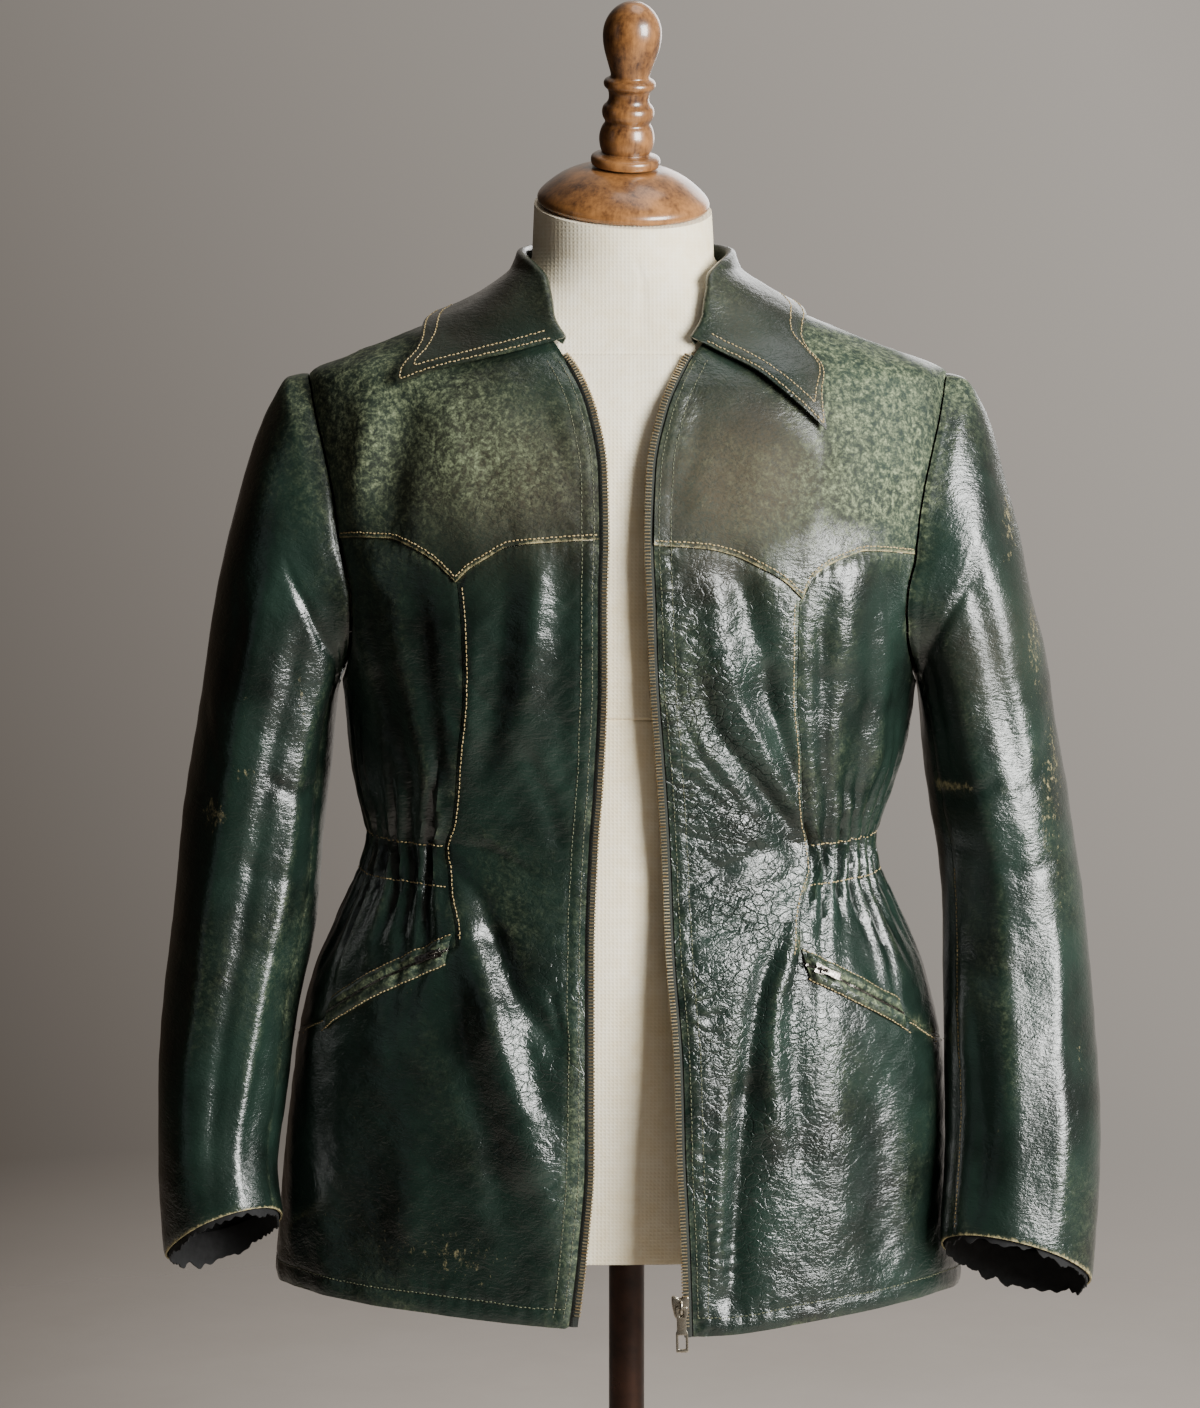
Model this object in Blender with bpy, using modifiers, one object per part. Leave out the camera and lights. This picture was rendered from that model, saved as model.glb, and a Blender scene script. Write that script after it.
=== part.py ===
"""Leather jacket, open at the front, worn by a limbless dress form on a round stand.

Frame: metres, +Z up, the front faces -Y and the wearer's left is +X. The origin is the
middle of the stand's foot, on the floor. Tables and sizes below are in millimetres and
become metres where a mesh is made.

The body of the jacket is one surface through level rings. A point of it is given by its
angle round the body (0 at the front, 90 degrees at the wearer's left) and its height. Seams
are lines on that surface, so neighbouring pieces share them and lie SEAM_GAP apart.
"""

from collections import namedtuple
from math import pi, radians

import bmesh
import bpy
import numpy as np
from mathutils import Matrix, Vector

MM = 0.001

# ---------------------------------------------------------------- driving sizes, mm
WALL = 2.0                # leather with its lining
SEAM_GAP = 0.4
ARMHOLE_GAP = 1.1
RIDGE_TURN = 0.0016       # half the shoulder seam's gap, as an angle
YOKE_LAP = 1.2            # how far the yoke's lower edge stands above the panels
SQUARENESS = 2.2          # exponent of the rings, 2 is an ellipse
YOKE_ROWS = 12
YOKE_FRONT = 903.0        # height of the yoke seam at the front edge
ZIP_TAPE_SHOWN = 6.0
ZIP_TAPE_THICK = 1.2
ZIP_TAPE_GAP = 0.9        # between the tape and the leather's folded edge
GATHER_DEPTH = 2.2
GATHERS_FRONT = 8         # from each princess seam to the side seam
GATHERS_BACK = 5          # from each side seam towards the back
GATHER_BACK_END = radians(128)
GATHER_REACH = 46.0       # height over which the gathers fade
WAIST = 686.0
ARMPIT = 800.0
SHOULDER_TIP = 1009.0
NECK_POINT = 1068.0
BACK_YOKE_SEAM = 905.0

FORM_BOTTOM = 421.0
FORM_SHOULDER = 190.0     # half width between the form's flat arm ends
NECK_TOP = 1119.0
NECK_SHIFT = -3.0
CAP_TILT = radians(15)
CAP_LEAN = radians(3)
CAP_SEAT_GAP = 0.5
POLE_RADIUS = 12.25
BASE_RADIUS = 190.0
BASE_TOP = 26.0

# ---------------------------------------------------------------- the body's rings
Ring = namedtuple("Ring", "height half_width front back shift")
RINGS = (
    Ring(340, 238, 151, 139, -6),
    Ring(392, 236, 149, 138, -6),
    Ring(440, 232, 146, 134, -6),
    Ring(550, 221, 139, 126, -5),
    Ring(608, 207, 131, 118, -5),
    Ring(650, 187, 121, 108, -5),
    Ring(670, 177, 116, 103, -5),
    Ring(692, 171, 113, 100, -4),
    Ring(729, 182, 115, 103, -2),
    Ring(757, 189, 119, 107, 0),
    Ring(799, 194, 124, 114, 1),
    Ring(845, 203, 128, 120, 1),
    Ring(892, 210, 127, 122, 1),
    Ring(949, 216, 118, 118, 1),
    Ring(985, 218, 105, 109, 1),
    Ring(1004, 217, 94, 99, 1),
    Ring(1010, 213, 89, 94, 1),
    Ring(1022, 184, 80, 86, 1),
    Ring(1032, 157, 73, 79, 0),
    Ring(1044, 128, 69, 73, 0),
    Ring(1052, 109, 67.5, 70, 0),
    Ring(1062, 90, 66, 68, 0),
    Ring(1076, 72, 64, 67, -1),
    Ring(1092, 67, 63, 66, -1),
    Ring(1110, 66, 63, 66, -1),
)

# ---------------------------------------------------------------- seams of each half
# Distances are from the middle of the body towards that side.
Edge = namedtuple("Edge", "height left right")
FRONT_EDGE = (
    Edge(375, 37, 35), Edge(440, 35, 27), Edge(500, 32, 22.5), Edge(565, 30, 22.5),
    Edge(630, 25, 22.5), Edge(700, 22, 20), Edge(740, 19.5, 17), Edge(813, 14, 14),
    Edge(865, 12, 14), Edge(903, 10.5, 13), Edge(948, 12, 14), Edge(986, 20, 21),
    Edge(1015, 33, 34), Edge(1031, 44, 49),
)
PRINCESS = (
    Edge(560, 113, 112), Edge(644, 112, 112), Edge(667, 116, 116), Edge(684, 122, 119),
    Edge(698, 122, 121), Edge(714, 118, 116), Edge(757, 115, 112), Edge(804, 111, 108),
    Edge(846, 111, 109), Edge(880, 113, 112),
)
SeamPoint = namedtuple("SeamPoint", "across height")
YOKE_SEAM = {
    "l": (
        SeamPoint(0, 901), SeamPoint(52, 897), SeamPoint(68, 893), SeamPoint(85, 885),
        SeamPoint(102, 875), SeamPoint(113, 864), SeamPoint(119, 877), SeamPoint(131, 886),
        SeamPoint(143, 891), SeamPoint(155, 894), SeamPoint(169, 893), SeamPoint(195, 889),
    ),
    "r": (
        SeamPoint(0, 905), SeamPoint(43, 902), SeamPoint(76, 899), SeamPoint(93, 890),
        SeamPoint(104, 883), SeamPoint(112, 875), SeamPoint(119, 882), SeamPoint(127, 889),
        SeamPoint(144, 898), SeamPoint(158, 902), SeamPoint(175, 902), SeamPoint(195, 900),
    ),
}
YOKE_TIP = {"l": 113, "r": 112}
# The slanted pocket seam, from the princess seam down to the side seam.
POCKET_SEAM = {
    "l": (
        SeamPoint(113, 625), SeamPoint(134, 614), SeamPoint(160, 599), SeamPoint(183, 584),
        SeamPoint(203, 568), SeamPoint(220, 556),
    ),
    "r": (
        SeamPoint(112, 635), SeamPoint(134, 625), SeamPoint(154, 615), SeamPoint(185, 595),
        SeamPoint(206, 578), SeamPoint(224, 561),
    ),
}
POCKET_END = {"l": radians(60), "r": radians(64)}
HemPoint = namedtuple("HemPoint", "degrees height")
HEM = (
    HemPoint(-180, 392), HemPoint(-90, 392), HemPoint(-60, 397), HemPoint(-35, 396),
    HemPoint(-12, 391), HemPoint(0, 388), HemPoint(12, 384), HemPoint(35, 391),
    HemPoint(60, 394), HemPoint(90, 388), HemPoint(180, 392),
)
Neck = namedtuple("Neck", "degrees seam fold")
NECKLINE = (
    Neck(13, 1027, 1032), Neck(18, 1034, 1041), Neck(28, 1048, 1057), Neck(42, 1060, 1072),
    Neck(60, 1066, 1082), Neck(90, NECK_POINT, 1090), Neck(120, 1070, 1094),
    Neck(150, 1072, 1097), Neck(180, 1073, 1098),
)
ArmholePoint = namedtuple("ArmholePoint", "round_sleeve across height")
ARMHOLE_UPPER = (
    ArmholePoint(0, 214, SHOULDER_TIP), ArmholePoint(18, 209, 990),
    ArmholePoint(42, 201, 958), ArmholePoint(62, 194, 925), ArmholePoint(82, 190, 892),
)
LowArmhole = namedtuple("LowArmhole", "round_sleeve degrees height")
ARMHOLE_LOWER = (
    LowArmhole(82, 63.6, 892), LowArmhole(100, 62.0, 865), LowArmhole(120, 64.5, 839),
    LowArmhole(140, 71.0, 819), LowArmhole(160, 80.0, 806), LowArmhole(180, 90.0, ARMPIT),
)

# ---------------------------------------------------------------- folds of the fronts
# A ridge stands out and a trough goes in along its line, fading over its width.
Fold = namedtuple("Fold", "x0 z0 x1 z1 width depth")
FRONT_FOLDS = (
    Fold(-147, 985, -160, 912, 16, -4.0),
    Fold(-172, 985, -180, 920, 12, 2.0),
    Fold(-62, 890, -70, 780, 14, 2.5),
    Fold(-112, 660, -84, 585, 15, 4.5),
    Fold(-84, 585, -64, 500, 17, 5.0),
    Fold(-88, 640, -58, 540, 9, -3.5),
    Fold(-150, 540, -176, 430, 20, -3.0),
    Fold(70, 880, 86, 800, 17, -4.5),
    Fold(86, 800, 116, 700, 15, -4.0),
    Fold(20, 825, 112, 700, 8, -2.5),
    Fold(60, 820, 104, 730, 8, 2.2),
    Fold(96, 620, 84, 540, 12, -4.5),
    Fold(84, 540, 68, 410, 14, -5.0),
    Fold(98, 612, 96, 520, 12, 3.5),
    Fold(150, 540, 168, 430, 22, -3.0),
    Fold(150, 880, 152, 800, 12, 3.0),
    Fold(138, 810, 146, 735, 10, -2.5),
    Fold(-168, 880, -172, 820, 12, 2.5),
    Fold(122, 960, 150, 905, 18, -2.5),
)
BACK_FOLDS = (
    Fold(-70, 850, -105, 720, 18, -3.5),
    Fold(64, 840, 100, 715, 16, -3.5),
    Fold(-90, 640, -120, 450, 22, -5.0),
    Fold(30, 620, 40, 430, 22, 4.0),
    Fold(105, 640, 130, 440, 20, -4.5),
    Fold(-20, 640, -30, 460, 18, -3.0),
)

# ---------------------------------------------------------------- sleeves
# Each ring runs from its outer point to its inner point, with a middle and half depth
# front to back; lift raises its front edge, and armhole is how much of the armhole's own
# shape is left in it.
Section = namedtuple("Section", "out_x out_z in_x in_z middle_y half_depth lift armhole")
SLEEVE = {
    "l": (
        Section(214.5, 1009, 194.5, 800, -1, 57, 0, 1.0),
        Section(227, 1006, 196.5, 794, -1, 59, 0, 0.75),
        Section(240, 985, 197.5, 787, -1, 61, 0, 0.5),
        Section(252, 950, 198.5, 779, -2, 63, 0, 0.3),
        Section(264, 903, 199.5, 769, -2, 64, 0, 0.15),
        Section(275, 855, 200.5, 757, -3, 64, 0, 0.05),
        Section(285, 805, 202, 741, -4, 63, 0, 0),
        Section(294, 755, 206, 716, -6, 61, 0, 0),
        Section(303, 700, 212, 684, -10, 58, 1, 0),
        Section(310, 645, 214, 640, -18, 55, 3, 0),
        Section(315, 590, 214, 588, -31, 51, 7, 0),
        Section(318, 535, 214, 535, -47, 47, 11, 0),
        Section(317, 475, 213, 480, -64, 43, 16, 0),
        Section(311, 404, 209, 431, -81, 39, 22, 0),
    ),
    "r": (
        Section(214.5, 1009, 194.5, 800, -1, 57, 0, 1.0),
        Section(228, 1006, 196.5, 794, -1, 59, 0, 0.75),
        Section(241, 986, 197.5, 787, -1, 61, 0, 0.5),
        Section(254, 955, 198.5, 779, -2, 63, 0, 0.3),
        Section(266, 913, 199.5, 769, -2, 64, 0, 0.15),
        Section(276, 866, 200.5, 757, -3, 64, 0, 0.05),
        Section(286, 812, 201.5, 741, -4, 62, 0, 0),
        Section(294, 758, 203.5, 716, -6, 60, 0, 0),
        Section(303, 695, 208, 670, -10, 57, 1, 0),
        Section(309, 640, 213, 632, -18, 54, 3, 0),
        Section(313, 585, 222, 583, -29, 50, 7, 0),
        Section(317, 530, 230, 528, -41, 48, 11, 0),
        Section(316, 475, 235, 482, -54, 46, 16, 0),
        Section(311, 417, 231, 447, -66, 44, 22, 0),
    ),
}
FRONT_SLEEVE_SEAM = radians(152)
BACK_SLEEVE_SEAM = radians(232)
SLEEVE_SEAM_TURN = 0.004  # half a sleeve seam's gap, as a turn round the sleeve
SLEEVE_ROWS = 18
CUFF_LINING_WALL = 1.0
CUFF_LINING_GAP = 1.0
CUFF_LINING_OUTSIDE = 4.0

# ---------------------------------------------------------------- collar
# The free edge of the fall, for a place along the neckline.
Leaf = namedtuple("Leaf", "degrees edge_degrees edge_height")
COLLAR_EDGE = {
    "l": (
        Leaf(13, 33.5, 972), Leaf(30, 32.5, 994), Leaf(50, 36, 1019), Leaf(70, 51, 1037),
        Leaf(90, 90, 1051), Leaf(120, 120, 1047), Leaf(150, 150, 1045), Leaf(180, 180, 1046),
    ),
    "r": (
        Leaf(13, 42, 1001), Leaf(30, 43, 1012), Leaf(50, 48, 1023), Leaf(70, 61, 1034),
        Leaf(90, 90, 1044), Leaf(120, 118, 1043), Leaf(150, 150, 1044), Leaf(180, 180, 1046),
    ),
}
COLLAR_ROLL = 5.0         # how far the fall stands off the stand
COLLAR_CLEAR = 5.0        # the fall's outer face above the yoke at its free edge
COLLAR_WALL = 1.8
COLLAR_GAP = 1.2

# ---------------------------------------------------------------- the form inside
Ease = namedtuple("Ease", "height ease")
FORM_EASE = (
    Ease(421, 42), Ease(500, 34), Ease(560, 26), Ease(640, 15), Ease(692, 11),
    Ease(760, 12), Ease(850, 13), Ease(940, 10), Ease(985, 6), Ease(1008, 2.2),
    Ease(1022, 1.8), Ease(1056, 1.8), Ease(1064, 2.5), Ease(1072, 4.0),
)
Neckpiece = namedtuple("Neckpiece", "height radius")
FORM_SIDES = 28
FORM_RINGS = (
    FORM_BOTTOM, 480, 540, 590, 640, 690, 740, 800, 860, 910, 950, 980, 1000, 1010, 1022,
    1032, 1044, 1054, 1064, 1072,
)
FORM_NECK = (Neckpiece(1086, 61), Neckpiece(1100, 60.5), Neckpiece(NECK_TOP, 59.5))

# Profiles of the turned pieces, from the top down.
Turn = namedtuple("Turn", "radius height")
CAP_PROFILE = (
    Turn(0, 27), Turn(24, 27), Turn(34, 24), Turn(44, 19), Turn(52, 12.5), Turn(56.5, 8),
    Turn(58, 5), Turn(57.5, 2), Turn(55, 0), Turn(0, 0),
)
FINIAL_PROFILE = (
    Turn(0, 111), Turn(7, 109.5), Turn(13.5, 105), Turn(18, 98), Turn(19.8, 90),
    Turn(18.8, 80), Turn(15.5, 70), Turn(12.8, 62), Turn(13, 60), Turn(17.2, 58),
    Turn(17.4, 54), Turn(14, 51.5), Turn(13.2, 46), Turn(14.2, 43), Turn(17.4, 40),
    Turn(17.4, 34), Turn(14.5, 30), Turn(17, 27), Turn(18.8, 20), Turn(17.5, 12),
    Turn(15.5, 9), Turn(23, 7.5), Turn(23.4, 3), Turn(22, 0), Turn(0, 0),
)
BASE_PROFILE = (
    Turn(0, BASE_TOP), Turn(24, BASE_TOP), Turn(30, 22), Turn(60, 17), Turn(140, 12),
    Turn(182, 9), Turn(188, 6), Turn(BASE_RADIUS, 3), Turn(BASE_RADIUS - 1, 0), Turn(0, 0),
)

# ---------------------------------------------------------------- zips
MAIN_SLIDER_HEIGHT = 404.0
MAIN_GROOVE = 2.0
MAIN_PULL = (8.0, 29.0, 1.4)          # width, length, thickness
POCKET_PULL = (5.0, 14.0, 1.0)
POCKET_INSET = radians(1.5)
POCKET_SLIDER_TURN = radians(4)
POCKET_SLANT = 1.18       # height for each millimetre square to the slanted seam
WELT_WIDTH = 6.0
WELT_HEIGHT = 1.2
POCKET_ZIP_WIDTH = 5.0
POCKET_ZIP_THICK = 1.2
SLIDER_GAP = 0.6
REST_GAP = 0.7            # between a panel and what lies on it


# ================================================================ finishes
def material(name, colour, roughness, metallic=0.0):
    made = bpy.data.materials.new(name)
    made.use_nodes = True
    shader = made.node_tree.nodes["Principled BSDF"]
    shader.inputs["Base Color"].default_value = (*colour, 1.0)
    shader.inputs["Roughness"].default_value = roughness
    shader.inputs["Metallic"].default_value = metallic
    made.diffuse_color = (*colour, 1.0)
    return made


# ================================================================ interpolation
def curve_through(knots, values):
    """A smooth curve through the knots that never overshoots between two of them."""
    knots = np.asarray(knots, float)
    values = np.asarray(values, float)
    steps = np.diff(knots)
    slopes = np.diff(values) / steps
    tangents = np.zeros(len(knots))
    for i in range(1, len(knots) - 1):
        before, after = slopes[i - 1], slopes[i]
        if before * after > 0:
            tangents[i] = 2 * before * after / (before + after)
    tangents[0] = slopes[0]
    tangents[-1] = slopes[-1]

    def value(at):
        at = np.clip(np.asarray(at, float), knots[0], knots[-1])
        i = np.clip(np.searchsorted(knots, at, side="right") - 1, 0, len(steps) - 1)
        t = (at - knots[i]) / steps[i]
        return (
            values[i] * (1 + 2 * t) * (1 - t) ** 2
            + tangents[i] * steps[i] * t * (1 - t) ** 2
            + values[i + 1] * t * t * (3 - 2 * t)
            + tangents[i + 1] * steps[i] * t * t * (t - 1)
        )

    return value


def smooth(at, start, end):
    t = np.clip((at - start) / (end - start), 0, 1)
    return t * t * (3 - 2 * t)


def column(rows, name):
    return [getattr(row, name) for row in rows]


RING_AT = {
    name: curve_through(column(RINGS, "height"), column(RINGS, name))
    for name in ("half_width", "front", "back", "shift")
}
EDGE_AT = {
    side: curve_through(column(FRONT_EDGE, "height"), column(FRONT_EDGE, name))
    for side, name in (("l", "left"), ("r", "right"))
}
PRINCESS_AT = {
    side: curve_through(column(PRINCESS, "height"), column(PRINCESS, name))
    for side, name in (("l", "left"), ("r", "right"))
}
SIGN = {"l": 1, "r": -1}


# ================================================================ the body's surface
def power(value, exponent):
    return np.sign(value) * np.abs(value) ** exponent


def ring_point(angle, height):
    """The plain body, with no folds."""
    reach = 2 / SQUARENESS
    depth = np.where(np.cos(angle) > 0, RING_AT["front"](height), RING_AT["back"](height))
    x = RING_AT["shift"](height) + RING_AT["half_width"](height) * power(np.sin(angle), reach)
    y = -depth * power(np.cos(angle), reach)
    return np.stack([x, y, np.broadcast_to(height, x.shape)], axis=-1)


def ring_normal(angle, height):
    turn = ring_point(angle + 0.02, height) - ring_point(angle - 0.02, height)
    rise = ring_point(angle, height + 1.5) - ring_point(angle, height - 1.5)
    normal = np.cross(turn, rise)
    return normal / np.linalg.norm(normal, axis=-1, keepdims=True)


def angle_of(x, height):
    """The angle, on the front half, of the body's point at this x and height."""
    across = (x - RING_AT["shift"](height)) / RING_AT["half_width"](height)
    return np.arcsin(np.clip(power(across, SQUARENESS / 2), -1, 1))


def princess_angle(side, height):
    return np.abs(angle_of(SIGN[side] * PRINCESS_AT[side](height), height))


def fold_height(folds, x, z):
    total = np.zeros(np.shape(x))
    for fold in folds:
        run = np.array([fold.x1 - fold.x0, fold.z1 - fold.z0], float)
        along = ((x - fold.x0) * run[0] + (z - fold.z0) * run[1]) / (run @ run)
        along = np.clip(along, 0, 1)
        off = np.hypot(x - fold.x0 - along * run[0], z - fold.z0 - along * run[1])
        total = total + fold.depth * np.exp(-((off / fold.width) ** 2))
    return total


def gather_height(angle, height):
    """The elastic's gathers: whole waves from the princess seam, and on past the side seam."""
    swung = (angle + pi) % (2 * pi) - pi
    turned = np.abs(swung)
    total = np.zeros(np.shape(angle))
    for side in "lr":
        start = np.minimum(princess_angle(side, height), radians(70))
        forward = (turned - start) / (pi / 2 - start)
        backward = (turned - pi / 2) / (GATHER_BACK_END - pi / 2)
        waves = np.where(turned < pi / 2, GATHERS_FRONT * forward, GATHERS_BACK * backward)
        inside = smooth(forward, 0.0, 0.06) * (1 - smooth(backward, 0.75, 1.0))
        rise = -np.cos(2 * pi * waves) * inside
        total = total + np.where(swung * SIGN[side] > 0, rise, 0)
    fade = np.exp(-(((height - WAIST) / GATHER_REACH) ** 2))
    return GATHER_DEPTH * total * fade


def body(angle, height, out=0.0):
    """Points of the jacket's outer face, moved out by so many millimetres."""
    angle = np.asarray(angle, float)
    height = np.asarray(height, float)
    point = ring_point(angle, height)
    facing = smooth(np.cos(angle), -0.1, 0.25)
    behind = smooth(-np.cos(angle), -0.1, 0.25)
    rise = fold_height(FRONT_FOLDS, point[..., 0], point[..., 2]) * facing
    rise = rise + fold_height(BACK_FOLDS, point[..., 0], point[..., 2]) * behind
    rise = rise + gather_height(angle, height)
    return point + ring_normal(angle, height) * (rise + out)[..., None]


# ================================================================ meshes
def add_object(name, mesh, finish, collection):
    mesh.materials.append(finish)
    made = bpy.data.objects.new(name, mesh)
    collection.objects.link(made)
    return made


def mesh_from(name, bm):
    mesh = bpy.data.meshes.new(name)
    bm.to_mesh(mesh)
    bm.free()
    return mesh


def wall_mesh(name, outer, inner, quads):
    """A closed wall between two faces that share their quads; its rim runs round every edge."""
    bm = bmesh.new()
    tops = [bm.verts.new(Vector(point) * MM) for point in outer]
    lows = [bm.verts.new(Vector(point) * MM) for point in inner]
    uses = {}
    for quad in quads:
        bm.faces.new([tops[i] for i in quad])
        bm.faces.new([lows[i] for i in reversed(quad)])
        for a, b in zip(quad, quad[1:] + quad[:1]):
            uses.setdefault(frozenset((a, b)), []).append((a, b))
    for found in uses.values():
        if len(found) == 1:
            a, b = found[0]
            bm.faces.new([tops[b], tops[a], lows[a], lows[b]])
    bmesh.ops.recalc_face_normals(bm, faces=bm.faces)
    mesh = mesh_from(name, bm)
    mesh.shade_smooth()
    mesh.set_sharp_from_angle(angle=radians(50))
    return mesh


def grid_quads(rows, columns, first=0):
    return [
        (first + r * columns + c, first + r * columns + c + 1,
         first + (r + 1) * columns + c + 1, first + (r + 1) * columns + c)
        for r in range(rows - 1)
        for c in range(columns - 1)
    ]


def wall(name, outer, inner, finish, collection):
    rows, columns = outer.shape[:2]
    mesh = wall_mesh(
        name, outer.reshape(-1, 3), inner.reshape(-1, 3), grid_quads(rows, columns)
    )
    return add_object(name, mesh, finish, collection)


def coons(bottom, top, left, right, across=None):
    """A patch of plane points between four edges: bottom and top run left to right."""
    if across is None:
        across = np.linspace(0, 1, len(bottom))
    across = across[None, :, None]
    up = np.linspace(0, 1, len(left))[:, None, None]
    flat = (
        (1 - across) * (1 - up) * bottom[0] + across * (1 - up) * bottom[-1]
        + (1 - across) * up * top[0] + across * up * top[-1]
    )
    return (
        (1 - up) * bottom[None] + up * top[None]
        + (1 - across) * left[:, None] + across * right[:, None] - flat
    )


# ================================================================ seams
ARMHOLE_ACROSS = curve_through(
    column(ARMHOLE_UPPER, "round_sleeve"), column(ARMHOLE_UPPER, "across")
)
ARMHOLE_HIGH = curve_through(
    column(ARMHOLE_UPPER, "round_sleeve"), column(ARMHOLE_UPPER, "height")
)
ARMHOLE_TURN = curve_through(
    column(ARMHOLE_LOWER, "round_sleeve"), column(ARMHOLE_LOWER, "degrees")
)
ARMHOLE_LOW = curve_through(
    column(ARMHOLE_LOWER, "round_sleeve"), column(ARMHOLE_LOWER, "height")
)


def seam_height(rows, across):
    return np.interp(across, column(rows, "across"), column(rows, "height"))


def side_angle(side, across, height):
    """The angle, on the left, of a point so far out from the middle on this side."""
    return np.abs(angle_of(SIGN[side] * np.asarray(across, float), height))


def armhole_angle(side, turn):
    """Angle, as on the left, and height of this armhole's point at a place round the sleeve."""
    turn = np.asarray(turn, float) % (2 * pi)
    front = np.minimum(turn, 2 * pi - turn)
    degrees = np.degrees(front)
    across, high = ARMHOLE_ACROSS(degrees), ARMHOLE_HIGH(degrees)
    lower, low = ARMHOLE_TURN(degrees), ARMHOLE_LOW(degrees)
    blend = smooth(degrees, 74, 90)
    upper = side_angle(side, across, high)
    upper = np.where(degrees < 0.5, pi / 2, upper)
    angle = (1 - blend) * upper + blend * np.radians(lower)
    height = (1 - blend) * high + blend * low
    return np.where(turn > pi, pi - angle, angle), height


def armhole_turn_at(side, height):
    """Where round the sleeve the front armhole has this height."""
    turns = np.linspace(0, pi, 721)
    _, heights = armhole_angle(side, turns)
    return float(np.interp(-height, -heights, turns))


def hem_height(angle):
    degrees = np.degrees((np.asarray(angle) + pi) % (2 * pi) - pi)
    return np.interp(degrees, column(HEM, "degrees"), column(HEM, "height"))


# ================================================================ panels of the body
def panel(name, angle, height, finish, collection, out=0.0):
    """A wall whose outer face is the body's surface at these angles and heights."""
    outer = body(angle, height, out)
    inner = body(angle, height, out - WALL)
    return wall(name, outer, inner, finish, collection)


def arched_rows(bottom, top, left_at, right_at, rows):
    """Distances out and heights of a yoke: its rows crowd towards the shoulder's ridge."""
    up = np.sin(np.linspace(0, pi / 2, rows))[:, None]
    across = np.linspace(0, 1, len(bottom))[None, :]
    x = bottom[:, 0] + up * (top[:, 0] - bottom[:, 0])
    z = bottom[:, 1] + up * (top[:, 1] - bottom[:, 1])
    left = left_at(z[:, 0]) - x[:, 0]
    right = right_at(z[:, -1]) - x[:, -1]
    x = x + (1 - across) * left[:, None] + across * right[:, None]
    return x, z


def armhole_across(height):
    """How far out the upper armhole lies at this height."""
    turns = np.radians(np.linspace(0, 82, 200))
    x = ARMHOLE_ACROSS(np.degrees(turns))
    z = ARMHOLE_HIGH(np.degrees(turns))
    return np.interp(-np.asarray(height), -z, x)


def shoulder_ridge(count):
    """The shoulder seam, from the neck point out to the sleeve."""
    x = np.linspace(RING_AT["half_width"](NECK_POINT), ARMHOLE_UPPER[0].across, count)
    heights = np.linspace(SHOULDER_TIP, NECK_POINT, 200)
    widths = RING_AT["half_width"](heights)
    z = np.interp(-x, -widths, heights)
    z[-1] = SHOULDER_TIP
    return np.stack([x, z], axis=-1)


def yoke_columns(side):
    """Distances out of the yoke's columns, front edge to tip and tip to armhole."""
    start = EDGE_AT[side](YOKE_FRONT) + ZIP_TAPE_SHOWN
    sleeve_x = float(armhole_across(seam_height(YOKE_SEAM[side], 190)))
    to_tip = np.linspace(start, YOKE_TIP[side], 9)
    return to_tip, np.linspace(YOKE_TIP[side], sleeve_x, 9)


def yoke_seam(side, across):
    """Height of the yoke seam, straight between the yoke's columns."""
    columns = np.unique(np.concatenate(yoke_columns(side)))
    return np.interp(across, columns, seam_height(YOKE_SEAM[side], columns))


def yoke_edge_heights(side):
    """Heights of the yoke's rows at the front edge."""
    up = np.sin(np.linspace(0, pi / 2, YOKE_ROWS))
    low = yoke_seam(side, yoke_columns(side)[0][0]) + SEAM_GAP / 2
    return low + up * (NECKLINE[0].seam - low)


def front_yoke(side, finish, collection):
    """From the shoulder seam and neckline to the pointed seam, front edge to armhole."""
    half = SEAM_GAP / 2
    rows = YOKE_ROWS
    to_tip, to_sleeve = yoke_columns(side)
    across = np.concatenate([to_tip, to_sleeve[1:]])
    bottom = np.stack([across, yoke_seam(side, across) + half], axis=-1)
    front = [row for row in NECKLINE if row.degrees <= 90]
    neck_x = [ring_point(radians(row.degrees), row.seam)[0] for row in front]
    neck = np.stack([neck_x, column(front, "seam")], axis=-1)
    neck[0, 0] = EDGE_AT[side](neck[0, 1]) + ZIP_TAPE_SHOWN
    ridge = shoulder_ridge(len(bottom) - len(neck) + 1)
    top = np.concatenate([neck, ridge[1:]])
    x, z = arched_rows(
        bottom, top, lambda h: EDGE_AT[side](h) + ZIP_TAPE_SHOWN, armhole_across, rows
    )
    angle = side_angle(side, x, z)
    angle = np.minimum(angle, pi / 2 - RIDGE_TURN)
    angle[-1, len(neck) - 1:] = pi / 2 - RIDGE_TURN
    lap = YOKE_LAP * (1 - smooth(np.linspace(0, 1, rows), 0.0, 0.25))[:, None]
    lap = lap * (1 - smooth(np.linspace(0, 1, len(bottom)), 0.86, 1.0))
    return panel("front_yoke_" + side, SIGN[side] * angle, z, finish, collection, lap)


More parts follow.
